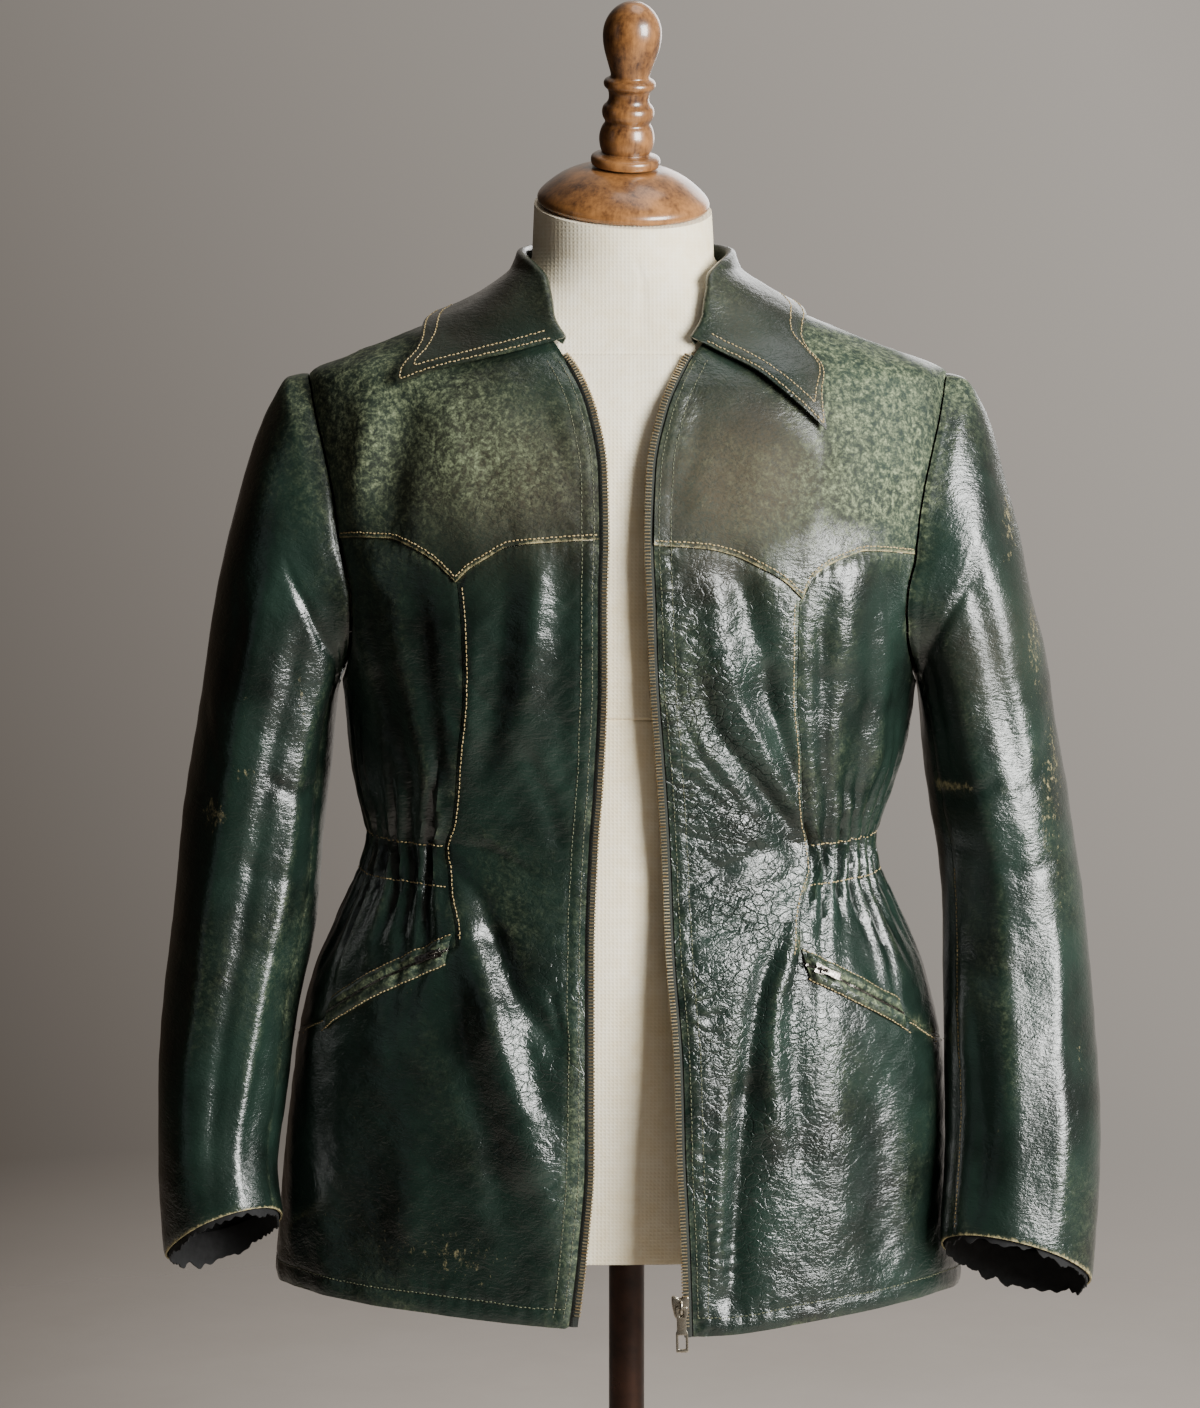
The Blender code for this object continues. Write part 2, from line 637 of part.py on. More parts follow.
def back_yoke(finish, collection):
    """One yoke across the back, armhole to armhole, up to the shoulder seams and neckline."""
    rows = YOKE_ROWS
    sleeve_x = float(armhole_across(BACK_YOKE_SEAM))
    back = [row for row in NECKLINE if row.degrees >= 90]
    neck_x = [ring_point(radians(row.degrees), row.seam)[0] for row in back]
    half_neck = np.stack([neck_x, column(back, "seam")], axis=-1)
    ridge = shoulder_ridge(9)
    half_top = np.concatenate([half_neck[::-1], ridge[1:]])
    half_top[0, 0] = 0
    mirrored = half_top[:0:-1] * np.array([-1, 1])
    top = np.concatenate([mirrored, half_top])
    across = np.linspace(-sleeve_x, sleeve_x, len(top))
    bottom = np.stack([across, np.full(len(top), BACK_YOKE_SEAM + SEAM_GAP / 2)], axis=-1)
    x, z = arched_rows(
        bottom, top, lambda h: -armhole_across(h), armhole_across, rows
    )
    angle = np.clip(angle_of(x, z), RIDGE_TURN - pi / 2, pi / 2 - RIDGE_TURN)
    seam = len(ridge)
    angle[-1, :seam] = RIDGE_TURN - pi / 2
    angle[-1, -seam:] = pi / 2 - RIDGE_TURN
    lap = YOKE_LAP * (1 - smooth(np.linspace(0, 1, rows), 0.0, 0.25))[:, None]
    return panel(
        "back_yoke", pi - angle, z, finish, collection, np.broadcast_to(lap, z.shape)
    )


def pocket_line(side, angle):
    """Height of the pocket seam at an angle on this side."""
    across = np.array(column(POCKET_SEAM[side], "across"), float)
    heights = np.array(column(POCKET_SEAM[side], "height"), float)
    angles = side_angle(side, across, heights)
    angles = np.append(angles[:-1], pi / 2)
    return curve_through(angles, heights)(angle)


def pocket_corner(side):
    """Angle and height where the princess seam meets the pocket seam."""
    height = POCKET_SEAM[side][0].height
    return float(princess_angle(side, height)), float(height)


def pocket_columns(side):
    """Angles of the front panel's columns along the pocket seam."""
    return np.linspace(pocket_corner(side)[0], pi / 2 - SEAM_GAP / 2 / 150, 9)


def edge_angle(side, height):
    """The leather's folded front edge, behind the zip tape."""
    return side_angle(side, EDGE_AT[side](height) + ZIP_TAPE_SHOWN, height)


def yoke_points(side, start, end, count, drop):
    """Points along the yoke seam, a little below it, as angle and height."""
    x = np.linspace(start, end, count)
    z = yoke_seam(side, x) - drop
    return np.stack([side_angle(side, x, z), z], axis=-1)


SideRow = namedtuple("SideRow", "inner outer")
SIDE_ROWS = (
    SideRow(None, None), SideRow(642, 592), SideRow(660, 640), SideRow(673, 668),
    SideRow(686, 686), SideRow(699, 704), SideRow(713, 724), SideRow(735, 752),
    SideRow(765, 777), SideRow(795, ARMPIT), SideRow(820, 822), SideRow(843, 848),
    SideRow(858, 868), SideRow(None, None),
)
LOW_ROWS = 8


def edge_heights(side):
    """Heights of the front panel's rows at the front edge: below and above the pocket."""
    _, corner = pocket_corner(side)
    low = float(hem_height(SIGN[side] * radians(12)))
    high = float(yoke_seam(side, yoke_columns(side)[0][0])) - SEAM_GAP / 2
    return np.linspace(low, corner, LOW_ROWS), np.linspace(corner, high, len(SIDE_ROWS))


def front_panel(side, finish, collection):
    """Centre front from the yoke down, widening to the side seam below the pocket."""
    half = SEAM_GAP / 2
    columns, wide, low_rows, high_rows = 9, 9, LOW_ROWS, len(SIDE_ROWS)
    corner_angle, corner = pocket_corner(side)
    seam_turn = half / 150
    # Above the pocket: front edge to princess seam.
    to_tip, _ = yoke_columns(side)
    top = yoke_points(side, to_tip[0], to_tip[-1], columns, half)
    top[-1, 0] -= seam_turn
    right_z = np.array([row.inner or 0 for row in SIDE_ROWS], float)
    right_z[0], right_z[-1] = corner, top[-1, 1]
    right = np.stack([princess_angle(side, right_z) - seam_turn, right_z], axis=-1)
    right[-1] = top[-1]
    left_z = edge_heights(side)[1]
    left = np.stack([edge_angle(side, left_z), left_z], axis=-1)
    left[-1] = top[0]
    level = np.linspace(left[0, 0], right[0, 0], columns)
    bottom = np.stack([level, np.full(columns, corner)], axis=-1)
    upper = coons(bottom, top, left, right)
    # Below it: front edge to side seam.
    beyond = pocket_columns(side)[1:]
    pocket = np.stack([beyond, pocket_line(side, beyond) - half], axis=-1)
    over = np.concatenate([bottom, pocket])
    start = edge_angle(side, edge_heights(side)[0][0])
    under_angle = np.interp(over[:, 0], [over[0, 0], pi / 2], [start, pi / 2])
    under = np.stack([under_angle, hem_height(SIGN[side] * under_angle)], axis=-1)
    left_z = edge_heights(side)[0]
    left = np.stack([edge_angle(side, left_z), left_z], axis=-1)
    right_z = np.linspace(under[-1, 1], over[-1, 1], low_rows)
    right = np.stack([np.full(low_rows, over[-1, 0]), right_z], axis=-1)
    under[0], under[-1] = left[0], right[0]
    lower = coons(under, over, left, right)
    # One sheet: the lower patch's top row carries on as the upper patch's bottom row.
    points = np.concatenate([lower.reshape(-1, 2), upper[1:].reshape(-1, 2)])
    total = columns + wide - 1
    quads = grid_quads(low_rows, total)
    base = (low_rows - 1) * total
    first = low_rows * total
    for c in range(columns - 1):
        quads.append((base + c, base + c + 1, first + c + 1, first + c))
    quads += grid_quads(high_rows - 1, columns, first)
    angle, height = SIGN[side] * points[:, 0], points[:, 1]
    name = "front_panel_" + side
    mesh = wall_mesh(name, body(angle, height), body(angle, height, -WALL), quads)
    return add_object(name, mesh, finish, collection)


def side_front(side, finish, collection):
    """Princess seam to side seam, yoke to pocket, gathered at the waist."""
    half = SEAM_GAP / 2
    columns = 2 * GATHERS_FRONT + 1
    seam_turn = half / 150
    corner_angle, corner = pocket_corner(side)
    _, to_sleeve = yoke_columns(side)
    top = yoke_points(side, to_sleeve[0], to_sleeve[-1], columns, half)
    top[0, 0] += seam_turn
    coarse = pocket_columns(side)
    low_angle = np.linspace(corner_angle + seam_turn, coarse[-1], columns)
    low_z = np.interp(low_angle, coarse, pocket_line(side, coarse)) + half
    bottom = np.stack([low_angle, low_z], axis=-1)
    left_z = np.array([row.inner or 0 for row in SIDE_ROWS], float)
    right_z = np.array([row.outer or 0 for row in SIDE_ROWS], float)
    left_z[0], left_z[-1] = bottom[0, 1], top[0, 1]
    right_z[0], right_z[-1] = bottom[-1, 1], top[-1, 1]
    left = np.stack([princess_angle(side, left_z) + seam_turn, left_z], axis=-1)
    right_angle = np.full(len(right_z), pi / 2 - seam_turn)
    for i, height in enumerate(right_z):
        if height > ARMPIT + 1:
            right_angle[i] = armhole_angle(side, armhole_turn_at(side, height))[0]
    right = np.stack([right_angle, right_z], axis=-1)
    left[0], left[-1] = bottom[0], top[0]
    right[0] = bottom[-1]
    top[-1] = right[-1]
    patch = coons(bottom, top, left, right)
    return panel(
        "side_front_" + side, SIGN[side] * patch[..., 0], patch[..., 1], finish, collection
    )


BACK_ROWS = (None, 450, 520, 590, 640, 668, 686, 704, 740, ARMPIT, 822, 848, 875, None)


def back_panel(finish, collection):
    """The plain back below its yoke, side seam to side seam."""
    half = SEAM_GAP / 2
    seam_turn = half / 150
    side = np.linspace(pi / 2 + seam_turn, GATHER_BACK_END, 2 * GATHERS_BACK + 1)
    middle = np.linspace(GATHER_BACK_END, 2 * pi - GATHER_BACK_END, 9)[1:-1]
    low = np.concatenate([side, middle, (2 * pi - side)[::-1]])
    bottom = np.stack([low, hem_height(low)], axis=-1)
    top_height = BACK_YOKE_SEAM - half
    sleeves = [armhole_angle(s, armhole_turn_at(s, top_height))[0] for s in "lr"]
    spread = np.interp(low, [low[0], low[-1]], [pi - sleeves[0], pi + sleeves[1]])
    top = np.stack([spread, np.full(len(low), top_height)], axis=-1)
    heights = np.array([row or 0 for row in BACK_ROWS], float)
    heights[0], heights[-1] = bottom[0, 1], top_height
    sides = []
    for name, sign, start in (("l", -1, low[0]), ("r", 1, low[-1])):
        turned_to = np.full(len(heights), start)
        for i, height in enumerate(heights):
            if height > ARMPIT + 1:
                turned_to[i] = pi + sign * armhole_angle(name, armhole_turn_at(name, height))[0]
        sides.append(np.stack([turned_to, heights], axis=-1))
    left, right = sides
    left[-1], right[-1] = top[0], top[-1]
    right[0] = bottom[-1]
    patch = coons(bottom, top, left, right, across=(low - low[0]) / (low[-1] - low[0]))
    return panel("back_panel", patch[..., 0], patch[..., 1], finish, collection)


# ================================================================ sleeves
def sleeve_curves(side):
    steps = np.arange(len(SLEEVE[side]))
    return {
        name: curve_through(steps, column(SLEEVE[side], name)) for name in Section._fields
    }


SLEEVE_AT = {side: sleeve_curves(side) for side in "lr"}


def sleeve_oval(side, turn, along):
    at = {name: curve(along) for name, curve in SLEEVE_AT[side].items()}
    middle_x = (at["out_x"] + at["in_x"]) / 2
    middle_z = (at["out_z"] + at["in_z"]) / 2
    x = SIGN[side] * (middle_x + (at["out_x"] - middle_x) * np.cos(turn))
    y = at["middle_y"] - at["half_depth"] * np.sin(turn)
    z = middle_z + (at["out_z"] - middle_z) * np.cos(turn) + at["lift"] * np.sin(turn)
    return np.stack([x, y, z], axis=-1)


def sleeve_centre(side, along):
    return (sleeve_oval(side, 0.0, along) + sleeve_oval(side, pi, along)) / 2


def sleeve(side, turn, along, out=0.0):
    """Points of a sleeve's outer face, moved out by so many millimetres."""
    turn, along = np.broadcast_arrays(np.asarray(turn, float), np.asarray(along, float))

    def plain(turn, along):
        angle, height = armhole_angle(side, turn)
        seam = body(SIGN[side] * angle, height)
        seam[..., 0] += SIGN[side] * ARMHOLE_GAP
        left_over = seam - sleeve_oval(side, turn, 0.0)
        share = SLEEVE_AT[side]["armhole"](along)
        return sleeve_oval(side, turn, along) + share[..., None] * left_over

    point = plain(turn, along)
    last = len(SLEEVE[side]) - 1
    before = np.clip(along - 0.05, 0, last)
    after = np.clip(along + 0.05, 0, last)
    normal = np.cross(
        plain(turn + 0.02, along) - plain(turn - 0.02, along),
        plain(turn, after) - plain(turn, before),
    )
    normal = normal / np.linalg.norm(normal, axis=-1, keepdims=True)
    outward = np.sum(normal * (point - sleeve_centre(side, along)), axis=-1, keepdims=True)
    return point + np.where(outward < 0, -1, 1) * normal * out


def sleeve_piece(name, side, start, end, columns, finish, collection):
    turns = np.linspace(start, end, columns)[None, :]
    rows = np.linspace(0, len(SLEEVE[side]) - 1, SLEEVE_ROWS)[:, None]
    outer = sleeve(side, turns, rows)
    inner = sleeve(side, turns, rows, -WALL)
    return wall(name, outer, inner, finish, collection)


def cuff_lining(side, finish, collection):
    """The lining's end inside the cuff, standing a little past its edge."""
    columns = 24
    last = len(SLEEVE[side]) - 1.0
    turns = np.linspace(0, 2 * pi, columns, endpoint=False)
    down = sleeve_centre(side, last) - sleeve_centre(side, last - 0.3)
    down = down / np.linalg.norm(down) * CUFF_LINING_OUTSIDE
    places = [(last - 0.25, 0), (last - 0.1, 0), (last, 0), (last, 1)]
    outer, inner = (
        np.concatenate([
            sleeve(side, turns, along, -WALL - CUFF_LINING_GAP - depth) + down * past
            for along, past in places
        ])
        for depth in (0.0, CUFF_LINING_WALL)
    )
    quads = [
        (r * columns + c, r * columns + (c + 1) % columns,
         (r + 1) * columns + (c + 1) % columns, (r + 1) * columns + c)
        for r in range(len(places) - 1)
        for c in range(columns)
    ]
    name = "cuff_lining_" + side
    return add_object(name, wall_mesh(name, outer, inner, quads), finish, collection)


# ================================================================ collar
def collar_section(side, degrees):
    """Middle line of the collar at one place: angle, height and distance out of each point."""
    base_turn = radians(degrees)
    seam = float(NECK_SEAM(degrees)) + COLLAR_GAP
    fold = float(NECK_FOLD(degrees))
    edge_turn = radians(float(COLLAR_TURN[side](degrees)))
    edge = float(COLLAR_EDGE_AT[side](degrees))
    radius = COLLAR_ROLL / 2
    spring = fold - radius
    rows = [(base_turn, seam, 0.0), (base_turn, (seam + spring) / 2, 0.0)]
    rows += [
        (base_turn, spring + radius * np.sin(turn), radius * (1 - np.cos(turn)))
        for turn in np.linspace(0, pi, 4)
    ]
    for step in np.linspace(0, 1, 6)[1:]:
        rows.append((
            base_turn + (edge_turn - base_turn) * step,
            spring + (edge - spring) * step,
            COLLAR_ROLL + (COLLAR_CLEAR - COLLAR_ROLL) * smooth(step, 0, 1),
        ))
    return rows


def collar(finish, collection):
    """Stand and fall in one sheet, from the right front end round the back to the left."""
    half = (13, 18, 23, 28, 35, 42, 51, 60, 75, 90, 110, 130, 155, 180)
    places = [("r", degrees) for degrees in half] + [("l", d) for d in half[-2::-1]]
    middle = []
    for side, degrees in places:
        rows = np.array(collar_section(side, degrees))
        middle.append(body(SIGN[side] * rows[:, 0], rows[:, 1], rows[:, 2]))
    middle = np.array(middle)
    along = np.gradient(middle, axis=0)
    across = np.gradient(middle, axis=1)
    normal = np.cross(along, across)
    normal /= np.linalg.norm(normal, axis=-1, keepdims=True)
    return wall(
        "collar", middle + normal * COLLAR_WALL / 2, middle - normal * COLLAR_WALL / 2,
        finish, collection,
    )


NECK_SEAM = curve_through(column(NECKLINE, "degrees"), column(NECKLINE, "seam"))
NECK_FOLD = curve_through(column(NECKLINE, "degrees"), column(NECKLINE, "fold"))
COLLAR_TURN = {
    side: curve_through(column(rows, "degrees"), column(rows, "edge_degrees"))
    for side, rows in COLLAR_EDGE.items()
}
COLLAR_EDGE_AT = {
    side: curve_through(column(rows, "degrees"), column(rows, "edge_height"))
    for side, rows in COLLAR_EDGE.items()
}


# ================================================================ zips and pockets
def zip_tape(side, finish, collection):
    """The tape between the leather's folded edge and the teeth."""
    heights = np.concatenate([*edge_heights(side), yoke_edge_heights(side)[:-2]])
    heights = np.unique(np.round(heights, 3))[:, None]
    across = EDGE_AT[side](heights) + np.array([0.0, ZIP_TAPE_SHOWN - ZIP_TAPE_GAP])
    angle = SIGN[side] * side_angle(side, across, heights)
    heights = np.broadcast_to(heights, angle.shape)
    face = -(WALL - ZIP_TAPE_THICK) / 2
    outer = body(angle, heights, face)
    inner = body(angle, heights, face - ZIP_TAPE_THICK)
    return wall("zip_tape_" + side, outer, inner, finish, collection)


def pocket_strip(name, side, low, high, thick, finish, collection):
    """A strip along the pocket seam, from one distance above it to another."""
    corner_angle, _ = pocket_corner(side)
    angles = np.linspace(corner_angle + POCKET_INSET, POCKET_END[side], 9)[:, None]
    heights = pocket_line(side, angles) + np.array([low, high]) * POCKET_SLANT
    angles = SIGN[side] * np.broadcast_to(angles, heights.shape)
    outer = body(angles, heights, REST_GAP + thick)
    inner = body(angles, heights, REST_GAP)
    return wall(name + "_" + side, outer, inner, finish, collection)


def box_mesh(name, size, centre=(0, 0, 0)):
    bm = bmesh.new()
    scale = Matrix.Diagonal((*size, 1.0))
    bmesh.ops.create_cube(bm, size=MM, matrix=Matrix.Translation(Vector(centre) * MM) @ scale)
    return mesh_from(name, bm)


def plate_mesh(name, outline, holes, thick):
    """A flat plate with holes in the XY plane, as a closed mesh."""
    curve = bpy.data.curves.new(name, "CURVE")
    curve.dimensions = "2D"
    curve.fill_mode = "BOTH"
    curve.extrude = thick * MM / 2
    for loop in [outline, *holes]:
        spline = curve.splines.new("POLY")
        spline.points.add(len(loop) - 1)
        spline.use_cyclic_u = True
        for point, (x, y) in zip(spline.points, loop):
            point.co = (x * MM, y * MM, 0, 1)
    guide = bpy.data.objects.new(name + "_outline", curve)
    bpy.context.scene.collection.objects.link(guide)
    graph = bpy.context.evaluated_depsgraph_get()
    mesh = bpy.data.meshes.new_from_object(guide.evaluated_get(graph))
    bpy.data.objects.remove(guide)
    bm = bmesh.new()
    bm.from_mesh(mesh)
    bmesh.ops.remove_doubles(bm, verts=bm.verts, dist=1e-6)
    bm.to_mesh(mesh)
    bm.free()
    mesh.name = name
    return mesh


def rectangle(x0, y0, x1, y1):
    return [(x0, y0), (x1, y0), (x1, y1), (x0, y1)]


def frame_on_body(angle, height, out, up):
    """A frame on the body: Z along the zip towards its upper end, -Y out of the cloth."""
    here = body(angle, height, out)
    normal = Vector(ring_normal(np.asarray(angle), np.asarray(height)))
    along = Vector(up) - Vector(here)
    along = (along - normal * along.dot(normal)).normalized()
    outward = -normal
    matrix = Matrix((outward.cross(along), outward, along)).transposed().to_4x4()
    matrix.translation = Vector(here) * MM
    return matrix


Slider = namedtuple("Slider", "across along thick hoop_thick hoop_half hoop_out axis_out")
MAIN = Slider(11.0, 14.0, 6.0, 1.8, 4.5, 4.4, 1.6)
POCKET = Slider(7.0, 9.0, 2.4, 1.4, 3.1, 3.2, 1.15)


def slider(name, sizes, frame, offset, groove, finish, collection, cutters):
    """The slider's body with the hoop that its pull hangs on, and a groove for the tape."""
    face = -sizes.thick / 2
    mesh = box_mesh(name, (sizes.across, sizes.thick, sizes.along), (offset, 0, 0))
    made = add_object(name, mesh, finish, collection)
    made.matrix_world = frame
    bar = sizes.hoop_out - 2 * sizes.axis_out
    hoop_mesh = plate_mesh(
        name + "_hoop",
        rectangle(-sizes.hoop_half, -0.8, sizes.hoop_half, sizes.hoop_out),
        [rectangle(-sizes.hoop_half + 1.2, -0.4, sizes.hoop_half - 1.2, sizes.hoop_out - bar)],
        sizes.hoop_thick,
    )
    hoop = bpy.data.objects.new(name + "_hoop", hoop_mesh)
    # The plate's X runs along the zip and its Y out of the cloth.
    turn = Matrix(((0, 0, 1), (0, -1, 0), (1, 0, 0))).to_4x4()
    hoop.matrix_world = frame @ Matrix.Translation(Vector((offset, face, 0)) * MM) @ turn
    hidden(hoop, cutters)
    join = made.modifiers.new("Hoop", "BOOLEAN")
    join.operation = "UNION"
    join.object = hoop
    if groove:
        deep = sizes.across
        cut_mesh = box_mesh(name + "_groove", (deep, groove, sizes.along + 2),
                            (offset + sizes.across / 2 - 6.0 + deep / 2, 0, 0))
        cutter = bpy.data.objects.new(name + "_groove", cut_mesh)
        cutter.matrix_world = frame
        hidden(cutter, cutters)
        cut = made.modifiers.new("Groove", "BOOLEAN")
        cut.operation = "DIFFERENCE"
        cut.object = cutter
    return made


def hidden(helper, cutters):
    cutters.objects.link(helper)
    helper.hide_render = True
    helper.display_type = "WIRE"


def pull(name, sizes, plate, ring, frame, offset, finish, collection):
    """A flat tab on the slider's hoop. Its origin is on the hinge, along its own X."""
    width, length, thick = plate
    reach = np.hypot(sizes.hoop_half, sizes.hoop_out - sizes.axis_out) + 0.4
    slot = sizes.hoop_thick / 2 + 0.4
    bar = thick / 2
    holes = [rectangle(-slot, -reach, slot, -bar)]
    if ring:
        holes.append(rectangle(-ring, -length + 2.5, ring, -length + 11.0))
    outline = [
        (-width / 2, -length + 1), (-width / 2 + 1, -length), (width / 2 - 1, -length),
        (width / 2, -length + 1), (width / 2, -1.5), (width / 2 - 1, bar),
        (-width / 2 + 1, bar), (-width / 2, -1.5),
    ]
    mesh = plate_mesh(name, outline, holes, thick)
    # The plate's Y becomes the zip's direction, and its thickness faces out.
    mesh.transform(Matrix.Rotation(pi / 2, 4, "X"))
    made = add_object(name, mesh, finish, collection)
    out = -sizes.thick / 2 - sizes.axis_out
    place = frame @ Matrix.Translation(Vector((offset, out, 0)) * MM)
    made.location = place.to_translation()
    made.rotation_euler = place.to_euler()
    return made


def main_zip_frame():
    height = MAIN_SLIDER_HEIGHT
    face = -(WALL - ZIP_TAPE_THICK) / 2 - ZIP_TAPE_THICK / 2
    across = [float(EDGE_AT["l"](h)) for h in (height, height + 10)]
    angle = float(side_angle("l", across[0], height))
    above = float(side_angle("l", across[1], height + 10))
    return frame_on_body(angle, height, face, body(above, height + 10.0, face))


def pocket_zip_frame(side):
    corner_angle, _ = pocket_corner(side)
    start = corner_angle + POCKET_SLIDER_TURN
    out = REST_GAP + POCKET_ZIP_THICK + SLIDER_GAP + POCKET.thick / 2
    angle = SIGN[side] * start
    near = SIGN[side] * corner_angle
    height = float(pocket_line(side, start))
    return frame_on_body(
        angle, height, out, body(near, float(pocket_line(side, corner_angle)), out)
    )


# ================================================================ the form and its stand
def form_torso(finish, collection):
    """The linen-covered torso and neck, whole and clear of the cloth, flat underneath."""
    angles = np.linspace(0, 2 * pi, FORM_SIDES, endpoint=False)
    ease = curve_through(column(FORM_EASE, "height"), column(FORM_EASE, "ease"))
    rings = []
    for height in FORM_RINGS:
        heights = np.full(FORM_SIDES, float(height))
        points = ring_point(angles, heights)
        points = points - ring_normal(angles, heights) * (WALL + float(ease(height)))
        points[:, 0] = np.clip(points[:, 0], -FORM_SHOULDER, FORM_SHOULDER)
        if height == FORM_BOTTOM:
            points[:, 2] = FORM_BOTTOM
        rings.append(points)
    for row in FORM_NECK:
        x = NECK_SHIFT + row.radius * np.sin(angles)
        y = 1.0 - row.radius * np.cos(angles)
        z = np.full(FORM_SIDES, float(row.height))
        if row.height == NECK_TOP:
            z = z + y * np.tan(CAP_TILT) - (x - NECK_SHIFT) * np.tan(CAP_LEAN)
        rings.append(np.stack([x, y, z], axis=-1))
    bm = bmesh.new()
    loops = [[bm.verts.new(Vector(point) * MM) for point in ring] for ring in rings]
    for low, high in zip(loops, loops[1:]):
        for i in range(FORM_SIDES):
            after = (i + 1) % FORM_SIDES
            bm.faces.new([low[i], low[after], high[after], high[i]])
    bm.faces.new(loops[0])
    bm.faces.new(loops[-1])
    bmesh.ops.recalc_face_normals(bm, faces=bm.faces)
    mesh = mesh_from("form_torso", bm)
    mesh.shade_smooth()
    mesh.set_sharp_from_angle(angle=radians(50))
    return add_object("form_torso", mesh, finish, collection)


def turned(name, profile, steps, finish, collection):
    """A profile from its top down, turned round Z by a Screw modifier."""
    bm = bmesh.new()
    line = [bm.verts.new((row.radius * MM, 0, row.height * MM)) for row in profile]
    for a, b in zip(line, line[1:]):
        bm.edges.new((a, b))
    made = add_object(name, mesh_from(name, bm), finish, collection)
    screw = made.modifiers.new("Turn", "SCREW")
    screw.steps = steps
    screw.render_steps = steps
    screw.use_merge_vertices = True
    screw.merge_threshold = 1e-5
    screw.use_smooth_shade = True
    return made


def stand(finishes, collection):
    base = turned("base", BASE_PROFILE, 28, finishes["pole"], collection)
    base.location = (0, 0, 0)
    low = BASE_TOP + 0.3
    high = FORM_BOTTOM - 0.3
    bpy.ops.mesh.primitive_cylinder_add(
        vertices=20, radius=POLE_RADIUS * MM, depth=(high - low) * MM,
        location=(0, 0, (high + low) / 2 * MM),
    )
    pole = bpy.context.active_object
    pole.name = "pole"
    pole.data.name = "pole"
    pole.data.materials.append(finishes["pole"])
    for owner in list(pole.users_collection):
        owner.objects.unlink(pole)
    collection.objects.link(pole)
    pole.data.shade_smooth()
    pole.data.set_sharp_from_angle(angle=radians(50))
    cap = turned("neck_cap", CAP_PROFILE, 28, finishes["wood"], collection)
    finial = turned("finial", FINIAL_PROFILE, 18, finishes["wood"], collection)
    place = Matrix.Translation(Vector((NECK_SHIFT, 1.0, NECK_TOP)) * MM)
    place = place @ Matrix.Rotation(CAP_LEAN, 4, "Y") @ Matrix.Rotation(CAP_TILT, 4, "X")
    for piece, up in ((cap, CAP_SEAT_GAP), (finial, CAP_SEAT_GAP + CAP_PROFILE[0].height + 0.4)):
        spot = place @ Matrix.Translation((0, 0, up * MM))
        piece.location = spot.to_translation()
        piece.rotation_euler = spot.to_euler()


# ================================================================ the whole
def clear_scene():
    for item in list(bpy.data.objects):
        bpy.data.objects.remove(item)


def new_collection(name):
    made = bpy.data.collections.new(name)
    bpy.context.scene.collection.children.link(made)
    return made


def main():
    clear_scene()
    parts = new_collection("leather_jacket_on_form")
    cutters = new_collection("cutters")
    leather = material("bottle_green_leather", (0.022, 0.036, 0.031), 0.32)
    lining = material("black_lining", (0.012, 0.012, 0.013), 0.75)
    tape = material("zip_tape", (0.05, 0.06, 0.045), 0.8)
    nickel = material("worn_nickel", (0.55, 0.48, 0.36), 0.35, 1.0)
    finishes = {
        "linen": material("linen_cover", (0.80, 0.74, 0.62), 0.85),
        "wood": material("turned_wood", (0.20, 0.075, 0.025), 0.3),
        "pole": material("bronzed_steel", (0.035, 0.018, 0.012), 0.4, 0.8),
    }
    sleeves = (
        ("top_sleeve_", BACK_SLEEVE_SEAM - 2 * pi, FRONT_SLEEVE_SEAM, 14),
        ("under_sleeve_", FRONT_SLEEVE_SEAM, BACK_SLEEVE_SEAM, 6),
    )
    for side in "lr":
        front_yoke(side, leather, parts)
        front_panel(side, leather, parts)
        side_front(side, leather, parts)
        for name, start, end, columns in sleeves:
            sleeve_piece(
                name + side, side, start + SLEEVE_SEAM_TURN, end - SLEEVE_SEAM_TURN,
                columns, leather, parts,
            )
        cuff_lining(side, lining, parts)
        zip_tape(side, tape, parts)
        half_zip = POCKET_ZIP_WIDTH / 2
        welt = half_zip + 0.3
        pocket_strip("pocket_zip", side, -half_zip, half_zip, POCKET_ZIP_THICK, tape, parts)
        pocket_strip(
            "pocket_welt_upper", side, welt, welt + WELT_WIDTH, WELT_HEIGHT, leather, parts
        )
        pocket_strip(
            "pocket_welt_lower", side, -welt - WELT_WIDTH, -welt, WELT_HEIGHT, leather, parts
        )
        frame = pocket_zip_frame(side)
        slider("pocket_slider_" + side, POCKET, frame, 0.0, None, nickel, parts, cutters)
        pull("pocket_pull_" + side, POCKET, POCKET_PULL, None, frame, 0.0, nickel, parts)
    back_yoke(leather, parts)
    back_panel(leather, parts)
    collar(leather, parts)
    frame = main_zip_frame()
    slider("main_slider", MAIN, frame, -2.0, MAIN_GROOVE, nickel, parts, cutters)
    pull("main_pull", MAIN, MAIN_PULL, 2.4, frame, -2.0, nickel, parts)
    form_torso(finishes["linen"], parts)
    stand(finishes, parts)


main()
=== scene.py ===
"""Looks of a worn bottle-green leather jacket on its linen dress form.

The cut is drawn in millimetres, as a pattern maker draws it, and turned into metres where a
mesh is made. A point of the jacket's body is given by its angle round the body (0 at the
front, 90 degrees at the wearer's left) and its height; seams are lines on that surface.
"""

